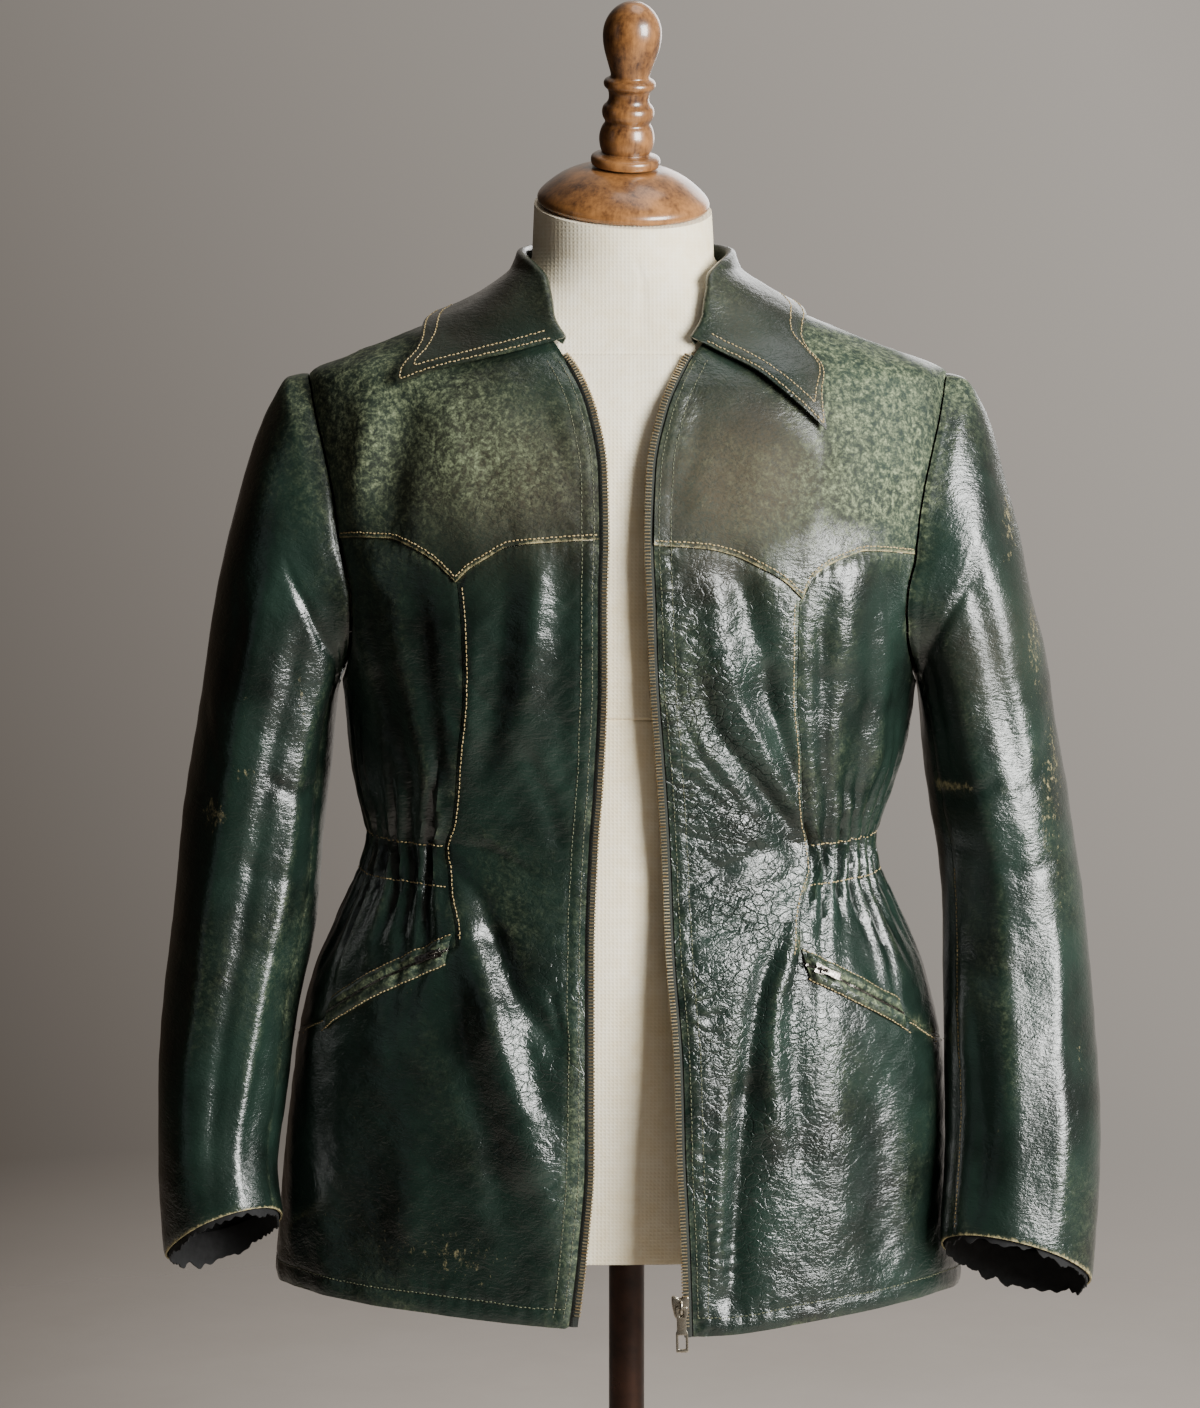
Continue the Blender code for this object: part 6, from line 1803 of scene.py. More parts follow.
@dataclass(frozen=True)
class Collar:
    """The pointed shirt collar, stand and fall in one; its two points lie unevenly."""

    roll: float = 5.0
    clear: float = 5.0
    wall: float = 1.8
    gap: float = 1.2
    steps: int = 9
    stand_points: int = 5
    roll_points: int = 10
    fall_points: int = 30
    places: tuple = (13, 18, 23, 28, 35, 42, 51, 60, 75, 90, 110, 130, 155, 180)
    insets: tuple = ((2.4, 2.4), (9.0, 12.5))

    def grid(self) -> Array:
        """Its middle surface: from the right front end round the back, and from seam to edge."""
        half = spread(self.places, (len(self.places) - 1) * self.steps + 1)
        sections = [self._section(Side.RIGHT, place) for place in half]
        sections += [self._section(Side.LEFT, place) for place in half[-2::-1]]
        return np.array(sections)

    def _section(self, side: Side, place: float) -> Array:
        """The middle line at one place round the neck."""
        rows = COLLAR_EDGE[side.value]
        knots = column(rows, "degrees")
        base = radians(place)
        edge_turn = radians(float(curve_through(knots, column(rows, "edge_degrees"))(place)))
        edge = float(curve_through(knots, column(rows, "edge_height"))(place))
        seam = float(NECK["seam"](place)) + self.gap
        radius = self.roll / 2
        spring = float(NECK["fold"](place)) - radius
        stand = np.linspace(0, 1, self.stand_points, endpoint=False)
        over = np.linspace(0, pi, self.roll_points)
        fall = np.linspace(0, 1, self.fall_points + 1)[1:]
        angle = np.concatenate([np.full(len(stand) + len(over), base), base + (edge_turn - base) * fall])
        height = np.concatenate([seam + (spring - seam) * stand, spring + radius * np.sin(over),
                                 spring + (edge - spring) * fall])
        out = np.concatenate([0 * stand, radius * (1 - np.cos(over)),
                              self.roll + (self.clear - self.roll) * smooth(fall, 0, 1)])
        points = FIGURE.surface(side.sign * angle, height, out, fine=False)
        lie = 0.5 * uneven(points, 42.0, 11.0) + 0.16 * uneven(points, 13.0, 12.0)
        lie *= np.concatenate([0 * stand, 0.3 + 0 * over, 0.3 + 0.7 * fall])
        return points + FIGURE.ring_normal(side.sign * angle, height) * lie[:, None]

    def cut(self) -> Cut:
        """The collar's cloth; its face is what shows of the fall."""
        middle = self.grid()
        normal = np.cross(np.gradient(middle, axis=0), np.gradient(middle, axis=1))
        normal /= np.linalg.norm(normal, axis=-1, keepdims=True)
        rows, columns = middle.shape[:2]
        face = middle + normal * self.wall / 2
        depth = np.full((rows, columns), 0.0)
        for line in self.stitch_lines(face):
            for start in range(0, rows, 20):
                part = face[start:start + 20]
                gap = np.linalg.norm(part[:, :, None] - line[None, None, ::2], axis=-1).min(axis=-1)
                depth[start:start + 20] += 0.4 * np.exp(-((gap / 1.6) ** 2))
        face = face - normal * np.minimum(depth, 0.4)[..., None]
        cut = Cut.from_grid(face, normal)
        cut.sheltered = True
        return cut

    def stitch_lines(self, face: Array) -> list[Array]:
        """The two stitched lines inside the fall's three edges.

        Args:
            face: The collar's face, place by place.

        Returns:
            Two lines, each up one front edge, along the lower edge and up the other.
        """
        fall = face[:, self.stand_points + self.roll_points - 1:]
        depth = np.linalg.norm(np.diff(fall, axis=1), axis=-1)
        depth = np.concatenate([np.zeros((len(fall), 1)), np.cumsum(depth, axis=1)], axis=1)
        return [self._line(fall, depth, *inset) for inset in self.insets]

    def _line(self, fall: Array, depth: Array, inset: float, low_inset: float) -> Array:
        """One stitched line, so far inside the front edges and the lower edge."""
        low = np.array([
            [np.interp(total[-1] - low_inset, total, row[:, k]) for k in range(3)]
            for total, row in zip(depth, fall)
        ])
        run = path_length(low)
        inside = low[(run > inset) & (run < run[-1] - inset)]
        ends = []
        for rows, corner in ((fall, inside[0]), (fall[::-1], inside[-1])):
            line = []
            for row in np.swapaxes(rows, 0, 1):
                total = path_length(row)
                line.append([np.interp(inset, total, row[:, k]) for k in range(3)])
            line = np.array(line)
            nearest = int(np.argmin(np.linalg.norm(line - corner, axis=1)))
            ends.append(line[2:max(nearest, 3)])
        return np.concatenate([ends[0], inside, ends[1][::-1]])


# ---------------------------------------------------------------- sewing and zips
@dataclass
class Stitching:
    """All the rows of thread: short rounded stitches pressed into the leather."""

    pitch: float = 2.9
    length: float = 2.1
    width: float = 0.85
    sides: int = 6
    name: str = "stitching"
    rows: list = field(default_factory=list)

    def add(self, rows: Iterable[Array]) -> None:
        """Adds rows of thread, each as points in order."""
        self.rows += list(rows)

    def build(self, under: BVHTree, finish: bpy.types.Material) -> bpy.types.Object:
        """Makes every stitch, each lying on the leather under it.

        Args:
            under: The leather, in millimetres.
            finish: The thread's material.

        Returns:
            The piece.
        """
        shape = self._template()
        faces = self._faces()
        points, all_faces, count = [], [], 0
        for number, row in enumerate(self.rows):
            path = resampled(np.asarray(row, float), self.pitch)
            middles = (path[1:] + path[:-1]) / 2
            ways = np.array([under.find_nearest(Vector(one))[1] for one in middles])
            for i, (a, b) in enumerate(zip(path, path[1:])):
                out = Vector(ways[max(i - 3, 0):i + 4].sum(axis=0)).normalized()
                spot, normal, _, _ = under.ray_cast(Vector(middles[i]) + out * 5, -out, 11)
                if spot is None:
                    continue
                normal = out if normal.dot(out) < 0.6 else normal
                run = Vector(b - a).normalized()
                run = (run - normal * run.dot(normal)).normalized()
                side = normal.cross(run)
                wander = 0.18 * sin(2.3 * i + 1.7 * number)
                size = 1 + 0.08 * sin(3.9 * i + number)
                axes = np.array([run * size, side, normal])
                points.append(shape @ axes + np.array(spot + side * wander + normal * 0.12))
                all_faces += [[k + count for k in one] for one in faces]
                count += len(shape)
        mesh = new_mesh(self.name, np.concatenate(points), all_faces, [finish], 80)
        LOG.info("%s: %d stitches", self.name, count // len(shape))
        return placed(self.name, mesh)

    def _template(self) -> Array:
        """One stitch along X, in millimetres."""
        turns = np.linspace(0, 2 * pi, self.sides, endpoint=False)
        loops = []
        for x, size, drop in ((-0.5, 0.35, -0.22), (-0.34, 1, 0), (0.34, 1, 0), (0.5, 0.35, -0.22)):
            loops.append(np.stack([np.full(self.sides, x * self.length), np.cos(turns) * size * self.width / 2,
                                   np.sin(turns) * size * self.width / 2.4 + drop], axis=1))
        return np.concatenate(loops)

    def _faces(self) -> list[list[int]]:
        """The stitch's faces."""
        n = self.sides
        found = [[r * n + k, r * n + (k + 1) % n, (r + 1) * n + (k + 1) % n, (r + 1) * n + k]
                 for r in range(3) for k in range(n)]
        return found + [list(range(n))[::-1], [3 * n + k for k in range(n)]]


@dataclass(frozen=True)
class Teeth:
    """A row of metal teeth along a line."""

    pitch: float = 2.2
    across: float = 4.3
    along: float = 0.95
    thick: float = 2.4
    chamfer: float = 0.25

    def build(self, name: str, lines: Sequence[tuple[Array, Array]], finish: bpy.types.Material,
              stagger: float = 0.0) -> bpy.types.Object:
        """Makes the teeth.

        Args:
            name: The piece's name.
            lines: For each row, its points and which way the zip's face looks there.
            finish: The metal.
            stagger: How far each second tooth lies to the other side, in millimetres.

        Returns:
            The piece.
        """
        shape, faces = self._template()
        points, all_faces, count = [], [], 0
        for path, facing in lines:
            both = resampled(np.concatenate([path, facing], axis=1), self.pitch)
            run = np.gradient(both[:, :3], axis=0)
            run /= np.linalg.norm(run, axis=1, keepdims=True)
            for i, (row, along) in enumerate(zip(both, run)):
                out = row[3:] - along * (row[3:] @ along)
                out /= np.linalg.norm(out)
                side = np.cross(along, out)
                lean = 0.05 * sin(5.1 * i)
                axes = np.array([side + along * lean, along - side * lean, out])
                points.append(shape @ axes + row[:3] + side * stagger * (-1) ** i)
                all_faces += [[k + count for k in one] for one in faces]
                count += len(shape)
        mesh = new_mesh(name, np.concatenate(points), all_faces, [finish], 25)
        return placed(name, mesh)

    def _template(self) -> tuple[Array, list[list[int]]]:
        """One tooth: X across the zip, Y along it, Z out of it."""
        half = np.array([self.across, self.along, self.thick]) / 2
        loops = []
        for z, inset in ((-half[2], 1), (-half[2] + self.chamfer, 0), (half[2] - self.chamfer, 0), (half[2], 1)):
            x, y = half[0] - inset * self.chamfer, half[1] - inset * self.chamfer * 0.6
            loops.append([(-x, -y * 0.8, z), (-x * 0.2, -y, z), (x, -y, z),
                          (x, y, z), (-x * 0.2, y, z), (-x, y * 0.8, z)])
        n = 6
        faces = [[r * n + k, r * n + (k + 1) % n, (r + 1) * n + (k + 1) % n, (r + 1) * n + k]
                 for r in range(3) for k in range(n)]
        return np.array(loops).reshape(-1, 3), faces + [list(range(n))[::-1], [3 * n + k for k in range(n)]]


@dataclass(frozen=True)
class FrontZip:
    """One half of the open front zip: cotton tape and its teeth."""

    side: Side
    thick: float = 1.2
    hidden: float = 3.0
    foot: float = 6.0

    def heights(self, count: int) -> Array:
        """Heights from the hem to a little below the neckline."""
        low = float(FIGURE.hem_height(self.side.sign * radians(12)))
        seam = float(yoke_seam(self.side, Front(self.side).start)) + SEAM_GAP / 2
        high = seam + sin(pi / 2 * 9 / 11) * (NECKLINE[0].seam - seam)
        return np.linspace(low, high, count)

    def tape(self) -> Cut:
        """The tape from the teeth to its sewn edge, which dips under the leather's fold."""
        heights = self.heights(210)[:, None]
        across = np.linspace(0, ZIP_TAPE_SHOWN + self.hidden, 12)
        angle = self.side.sign * FIGURE.edge_angle(self.side, heights, across)
        heights = np.broadcast_to(heights, angle.shape)
        dip = (WALL + 0.2) * smooth(across, ZIP_TAPE_SHOWN - 2.5, ZIP_TAPE_SHOWN + 0.6)
        return on_body(angle, heights, -(WALL - self.thick) / 2 - dip)

    def tooth_line(self) -> tuple[Array, Array]:
        """The teeth's line and which way they face."""
        heights = self.heights(260)
        heights = heights[heights > heights[0] + self.foot]
        angle = self.side.sign * FIGURE.edge_angle(self.side, heights, 1.3)
        face = FIGURE.surface(angle, heights, -(WALL - self.thick) / 2 - self.thick / 2)
        return face, FIGURE.ring_normal(angle, heights)


@dataclass(frozen=True)
class Pocket:
    """A slanted zip pocket: closed teeth between two puffed welts."""

    side: Side
    rest: float = 0.7
    zip_width: float = 5.0
    zip_thick: float = 1.2
    welt: float = 6.0
    gap: float = 0.3
    slit: float = 0.7
    puff: float = 2.0
    slant: float = 1.18
    inset: float = radians(1.5)

    def strip(self, low: float, high: float, columns: int, out: Any) -> Cut:
        """A strip along the pocket seam, from one distance above it to another."""
        corner, _ = Front(self.side).corner
        angle = np.linspace(corner + self.inset, POCKET_END[self.side.value], 100)[:, None]
        height = pocket_line(self.side, angle) + np.linspace(low, high, columns) * self.slant
        return on_body(self.side.sign * np.broadcast_to(angle, height.shape), height, out)

    def zip(self) -> Cut:
        """The zip's tape."""
        return self.strip(-self.zip_width / 2, self.zip_width / 2, 6, self.rest + self.zip_thick)

    def welts(self) -> tuple[Cut, Cut]:
        """The upper and the lower welt, puffed unevenly."""
        start, end = self.slit, self.zip_width / 2 + self.gap + self.welt
        shape = np.sin(np.linspace(0, pi, 13)) ** 0.6
        along = np.linspace(0, 1, 100)[:, None]
        swell = 1 + 0.2 * np.sin(7 * along + 2) + 0.1 * np.sin(19 * along) + 0.05 * np.sin(53 * along)
        swell = swell * smooth(np.minimum(along, 1 - along), -0.02, 0.06)
        over = np.linspace(1, 0, 13) * self.zip_thick
        upper = self.strip(start, end, 13, self.rest + 0.5 + over + self.puff * shape * swell)
        lower = self.strip(-end, -start, 13, self.rest + 0.5 + over[::-1] + self.puff * shape * swell)
        for cut, columns in ((upper, slice(0, 6)), (lower, slice(7, 13))):
            rub = np.zeros((100, 13))
            rub[:, columns] = 0.75
            cut.rub, cut.rub_kind = rub.ravel() + 0.35, "pale"
        return upper, lower

    def tooth_line(self) -> tuple[Array, Array]:
        """The closed teeth's line and which way they face."""
        corner, _ = Front(self.side).corner
        angle = np.linspace(corner + self.inset, POCKET_END[self.side.value], 160)
        height = pocket_line(self.side, angle)
        turned = self.side.sign * angle
        return FIGURE.surface(turned, height, self.rest + self.zip_thick), FIGURE.ring_normal(turned, height)


def rounded(corners: Sequence[tuple[float, float]], radius: float,
            steps: int = 4) -> list[tuple[float, float]]:
    """An outline with its corners rounded."""
    found = []
    for i, corner in enumerate(corners):
        here = Vector(corner)
        before, after = Vector(corners[i - 1]) - here, Vector(corners[(i + 1) % len(corners)]) - here
        reach = min(radius, before.length * 0.45, after.length * 0.45)
        start, end = here + before.normalized() * reach, here + after.normalized() * reach
        for k in range(steps + 1):
            t = k / steps
            found.append(tuple(start * (1 - t) ** 2 + here * 2 * t * (1 - t) + end * t * t))
    return found


def rectangle(x0: float, y0: float, x1: float, y1: float) -> list[tuple[float, float]]:
    """The corners of a rectangle."""
    return [(x0, y0), (x1, y0), (x1, y1), (x0, y1)]


def plate(outline: Sequence[tuple[float, float]], holes: Sequence, thick: float,
          bevel: float) -> bmesh.types.BMesh:
    """A flat plate with softened edges in the XY plane.

    Args:
        outline: Its outline, in millimetres.
        holes: The outlines of its holes.
        thick: Its thickness.
        bevel: How far its edges are rounded.

    Returns:
        The plate, in millimetres.
    """
    curve = bpy.data.curves.new("plate", "CURVE")
    curve.dimensions, curve.fill_mode = "2D", "BOTH"
    curve.extrude, curve.bevel_depth = thick / 2 - bevel, bevel
    curve.offset, curve.bevel_resolution = -bevel, 2
    for loop in [outline, *holes]:
        spline = curve.splines.new("POLY")
        spline.points.add(len(loop) - 1)
        spline.use_cyclic_u = True
        for point, (x, y) in zip(spline.points, loop):
            point.co = (x, y, 0, 1)
    guide = bpy.data.objects.new("plate", curve)
    bpy.context.scene.collection.objects.link(guide)
    mesh = bpy.data.meshes.new_from_object(guide.evaluated_get(bpy.context.evaluated_depsgraph_get()))
    bpy.data.objects.remove(guide)
    bm = bmesh.new()
    bm.from_mesh(mesh)
    bmesh.ops.remove_doubles(bm, verts=bm.verts, dist=1e-3)
    return bm


def tube(path: Sequence[tuple[float, float, float]], radius: float, sides: int = 10) -> bmesh.types.BMesh:
    """A round bar along a path, in millimetres, with closed ends."""
    bm = bmesh.new()
    loops = []
    points = [Vector(point) for point in path]
    for i, point in enumerate(points):
        run = (points[min(i + 1, len(points) - 1)] - points[max(i - 1, 0)]).normalized()
        side = run.cross(Vector((1, 0, 0))).normalized()
        up = run.cross(side)
        loops.append([bm.verts.new(point + (side * cos(t) + up * sin(t)) * radius)
                      for t in np.linspace(0, 2 * pi, sides, endpoint=False)])
    for low, high in zip(loops, loops[1:]):
        for k in range(sides):
            bm.faces.new([low[k], low[(k + 1) % sides], high[(k + 1) % sides], high[k]])
    bm.faces.new(loops[0][::-1])
    bm.faces.new(loops[-1])
    return bm


def assembled(name: str, parts: Sequence[tuple[bmesh.types.BMesh, Matrix]],
              finish: bpy.types.Material) -> bpy.types.Mesh:
    """One mesh, in metres, from several parts in millimetres and their places."""
    whole = bmesh.new()
    for part, place in parts:
        part.transform(place)
        mesh = bpy.data.meshes.new(name)
        part.to_mesh(mesh)
        part.free()
        whole.from_mesh(mesh)
        bpy.data.meshes.remove(mesh)
    bmesh.ops.scale(whole, vec=(MM, MM, MM), verts=whole.verts)
    bmesh.ops.recalc_face_normals(whole, faces=whole.faces)
    mesh = bpy.data.meshes.new(name)
    whole.to_mesh(mesh)
    whole.free()
    mesh.materials.append(finish)
    mesh.shade_smooth()
    mesh.set_sharp_from_angle(angle=radians(40))
    return mesh


def frame_on_body(angle: float, height: float, out: float, up: Array) -> Matrix:
    """A frame on the body: Z along the zip towards its upper end, -Y out of the cloth."""
    here = FIGURE.surface(angle, height, out, fine=False)
    normal = Vector(FIGURE.ring_normal(np.asarray(angle), np.asarray(height)))
    along = Vector(up) - Vector(here)
    along = (along - normal * along.dot(normal)).normalized()
    outward = -normal
    matrix = Matrix((outward.cross(along), outward, along)).transposed().to_4x4()
    matrix.translation = Vector(here) * MM
    return matrix


@dataclass(frozen=True)
class Slider:
    """A zip slider with its hoop, and the tab that hangs on it."""

    across: float
    along: float
    thick: float
    hoop_thick: float
    hoop_half: float
    hoop_out: float
    axis_out: float
    tab: tuple
    ring: float = 0.0
    offset: float = 0.0

    def body_mesh(self, name: str, finish: bpy.types.Material) -> bpy.types.Mesh:
        """Two shield-shaped plates, the bridge between them and the hoop."""
        wide, tall = self.across / 2, self.along / 2
        shield = rounded([(-wide, tall), (-wide, tall * 0.2), (-wide * 0.72, -tall), (wide * 0.72, -tall),
                          (wide, tall * 0.2), (wide, tall), (wide * 0.5, tall), (0, tall * 0.72), (-wide * 0.5, tall)], 1.6)
        sheet = self.thick * 0.24
        flat = Matrix.Rotation(pi / 2, 4, "X")
        shift = Matrix.Translation((self.offset, 0, 0))
        parts = []
        for sign in (-1, 1):
            level = Matrix.Translation((0, sign * (self.thick - sheet) / 2, 0))
            parts.append((plate(shield, [], sheet, sheet * 0.3), shift @ level @ flat))
        bridge = rounded(rectangle(-wide * 0.28, 0, wide * 0.28, tall * 0.7), 0.8)
        post = plate(bridge, [], self.thick - sheet, 0.1)
        parts.append((post, shift @ flat))
        face, bar = -self.thick / 2, self.hoop_thick / 2
        half, out = self.hoop_half - bar, self.hoop_out - bar
        arch = [(0, face + 0.5, -half), (0, face - out * 0.55, -half * 0.98), (0, face - out * 0.88, -half * 0.86),
                (0, face - out, -half * 0.6), (0, face - out, half * 0.6), (0, face - out * 0.88, half * 0.86),
                (0, face - out * 0.55, half * 0.98), (0, face + 0.5, half)]
        parts.append((tube(arch, self.hoop_thick / 2), shift))
        return assembled(name, parts, finish)

    def pull_mesh(self, name: str, finish: bpy.types.Material) -> bpy.types.Mesh:
        """The tab, hanging from its hinge at the origin."""
        width, length, thick = self.tab
        reach = hypot(self.hoop_half, self.hoop_out - self.axis_out) + 0.4
        slot, bar = self.hoop_thick / 2 + 0.4, thick / 2
        holes = [rounded(rectangle(-slot, -reach, slot, -bar), 0.5)]
        if self.ring:
            holes.append(rounded(rectangle(-self.ring, -length + 2.2, self.ring, -length + 11.4), 0.8))
        waist = width / 2 * (0.78 if self.ring else 0.86)
        outline = rounded([(-width / 2, -length), (width / 2, -length), (width / 2, -length * 0.56),
                           (waist, -length * 0.5), (waist, -reach - 1), (width / 2, -reach + 1.2),
                           (width / 2, bar), (-width / 2, bar), (-width / 2, -reach + 1.2),
                           (-waist, -reach - 1), (-waist, -length * 0.5), (-width / 2, -length * 0.56)], 1.0)
        tab = plate(outline, holes, thick, thick * 0.22)
        return assembled(name, [(tab, Matrix.Rotation(pi / 2, 4, "X"))], finish)

    def build(self, which: str, frame_matrix: Matrix, finish: bpy.types.Material) -> None:
        """Places the slider on the jacket and the tab on its own body."""
        placed("slider_body_" + which, self.body_mesh("slider_" + which, finish),
               [slider_node(which)], matrix=frame_matrix)
        hinge = Matrix.Translation(Vector((self.offset, -self.thick / 2 - self.axis_out, 0)) * MM)
        placed("slider_tab_" + which, self.pull_mesh("tab_" + which, finish),
               [slider_node(which).replace("slider", "pull")],
               "hanging_" + slider_node(which).replace("slider", "pull"), frame_matrix @ hinge)


def slider_node(which: str) -> str:
    """The CAD node of a slider: main, pocket_l or pocket_r."""
    return "main_slider" if which == "main" else which.replace("pocket", "pocket_slider")


MAIN = Slider(11.0, 14.0, 6.0, 1.8, 4.5, 4.4, 1.6, (8.0, 29.0, 1.4), 2.4, -2.0)
POCKET = Slider(7.0, 9.0, 2.4, 1.4, 3.1, 3.2, 1.15, (5.0, 14.0, 1.0))


def main_zip_frame(height: float = 404.0) -> Matrix:
    """Where the main slider sits at the foot of the wearer's left half."""
    thick = FrontZip(Side.LEFT).thick
    face = -(WALL - thick) / 2 - thick / 2
    here, above = (float(FIGURE.edge_angle(Side.LEFT, h, 0.0)) for h in (height, height + 10))
    return frame_on_body(here, height, face, FIGURE.surface(above, height + 10, face, fine=False))


# The axes of the pockets' pulls, copied from the record's joints: the deeper gathers here must not move them.
POCKET_PINS = {Side.LEFT: (127.316, -109.439, 620.666), Side.RIGHT: (-127.347, -111.153, 631.372)}


def pocket_zip_frame(side: Side, turn: float = radians(4), gap: float = 0.6) -> Matrix:
    """Where a pocket's slider sits, at the inner end of its zip, its hoop on the joint's axis."""
    pocket = Pocket(side)
    corner, _ = Front(side).corner
    out = pocket.rest + pocket.zip_thick + gap + POCKET.thick / 2
    near = FIGURE.surface(side.sign * corner, float(pocket_line(side, corner)), out, fine=False)
    matrix = frame_on_body(side.sign * (corner + turn), float(pocket_line(side, corner + turn)), out, near)
    hinge = matrix @ (Vector((POCKET.offset, -POCKET.thick / 2 - POCKET.axis_out, 0)) * MM)
    matrix.translation += Vector(POCKET_PINS[side]) * MM - hinge
    return matrix


# ---------------------------------------------------------------- the form and its stand
@dataclass(frozen=True)
class DressForm:
    """The limbless torso and neck under linen, with its sewn seams."""

    bottom: float = 421.0
    shoulder: float = 190.0
    neck_top: float = 1119.0
    neck_shift: float = -3.0
    tilt: float = radians(15)
    lean: float = radians(3)
    sides: int = 220
    seam_x: float = 10.0
    seam_heights: tuple = (783.0, 1025.0)

    def build(self, finish: bpy.types.Material) -> bpy.types.Object:
        """Makes the covered form."""
        angles = np.linspace(0, 2 * pi, self.sides, endpoint=False)
        ease = curve_through(column(FORM_EASE, "height"), column(FORM_EASE, "ease"))
        heights = np.linspace(self.bottom, FORM_RINGS[-1], 150)
        for level in self.seam_heights:
            heights = np.append(heights, level + np.array([-3, -2, -1.2, -0.6, 0, 0.6, 1.2, 2, 3]))
        heights = np.unique(np.round(heights, 2))
        rings = [self._ring(angles, height, float(ease(height))) for height in heights]
        low = rings[-1]
        for row in FORM_NECK:
            rings += [low + (self._neck_ring(angles, row) - low) * t for t in (0.5, 1.0)]
            low = rings[-1]
        points = np.concatenate(rings)
        quads = grid_quads(len(rings), self.sides, closed=True).tolist()
        last = (len(rings) - 1) * self.sides
        caps = [list(range(self.sides))[::-1], [last + k for k in range(self.sides)]]
        mesh = new_mesh("form_cover", points, quads + caps, [finish])
        return placed("form_linen", mesh, ["form_torso"])

    def _ring(self, angles: Array, height: float, ease: float) -> Array:
        """One ring of the torso, with the grooves of its seams."""
        level = np.full(self.sides, height)
        points = FIGURE.ring_point(angles, level)
        normal = FIGURE.ring_normal(angles, level)
        front = np.cos(angles) > 0
        sunk = 0.9 * np.exp(-(((points[:, 0] - self.seam_x) / 1.6) ** 2)) * front
        for seam in self.seam_heights:
            sunk = np.maximum(sunk, 0.9 * np.exp(-(((height - seam) / 0.9) ** 2)))
        points = points - normal * (WALL + ease + sunk)[:, None]
        points[:, 0] = np.clip(points[:, 0], -self.shoulder, self.shoulder)
        if height == self.bottom:
            points[:, 2] = height
        return points

    def _neck_ring(self, angles: Array, row: Any) -> Array:
        """One ring of the neck; the top one is tilted."""
        x = self.neck_shift + row.radius * np.sin(angles)
        y = 1.0 - row.radius * np.cos(angles)
        z = np.full(self.sides, float(row.height))
        if row.height == self.neck_top:
            z = z + y * tan(self.tilt) - (x - self.neck_shift) * tan(self.lean)
        return np.stack([x, y, z], axis=-1)


def turned(name: str, profile: Sequence[Turn], sides: int, rounds: int,
           finish: bpy.types.Material) -> bpy.types.Mesh:
    """A profile, from its top down, cut smooth and turned round Z.

    Args:
        name: The mesh's name.
        profile: Radii and heights, the first and last on the axis.
        sides: How many sides it has.
        rounds: How many times its corners are cut.
        finish: Its material.

    Returns:
        The mesh.
    """
    line = np.array([(row.radius, row.height) for row in profile], float)
    for _ in range(rounds):
        early, late = line[:-1] * 0.75 + line[1:] * 0.25, line[:-1] * 0.25 + line[1:] * 0.75
        cut = np.stack([early, late], axis=1).reshape(-1, 2)
        line = np.concatenate([line[:1], cut[1:-1], line[-1:]])
    line = line[1:-1]
    turns = np.linspace(0, 2 * pi, sides, endpoint=False)
    points = np.stack([line[:, :1] * np.cos(turns), line[:, :1] * np.sin(turns),
                       np.broadcast_to(line[:, 1:], (len(line), sides))], axis=-1).reshape(-1, 3)
    faces = grid_quads(len(line), sides, closed=True)[:, ::-1].tolist()
    last = (len(line) - 1) * sides
    faces += [list(range(sides)), [last + k for k in range(sides)][::-1]]
    return new_mesh(name, points, faces, [finish], 40)


@dataclass(frozen=True)
class Stand:
    """The turned cap and finial above the neck, and the pole and base below the form."""

    pole_radius: float = 12.25
    base_top: float = 26.0
    form_bottom: float = 421.0
    seat_gap: float = 0.5

    def build(self, wood: bpy.types.Material, steel: bpy.types.Material) -> None:
        """Makes the four pieces."""
        form = DressForm()
        place = Matrix.Translation(Vector((form.neck_shift, 1.0, form.neck_top)) * MM)
        place = place @ Matrix.Rotation(form.lean, 4, "Y") @ Matrix.Rotation(form.tilt, 4, "X")
        above = self.seat_gap + CAP_PROFILE[0].height + 0.4
        for name, node, profile, up, rounds in (
            ("wooden_cap", "neck_cap", CAP_PROFILE, self.seat_gap, 2),
            ("wooden_finial", "finial", FINIAL_PROFILE, above, 2),
        ):
            spot = place @ Matrix.Translation((0, 0, up * MM))
            placed(name, turned(name, profile, 72, rounds, wood), [node], matrix=spot)
        placed("round_base", turned("round_base", BASE_PROFILE, 128, 2, steel), ["base"])
        low, high = self.base_top + 0.3, self.form_bottom - 0.3
        shaft = (Turn(0, high), Turn(self.pole_radius, high), Turn(self.pole_radius, low), Turn(0, low))
        placed("steel_pole", turned("steel_pole", shaft, 48, 0, steel), ["pole"])


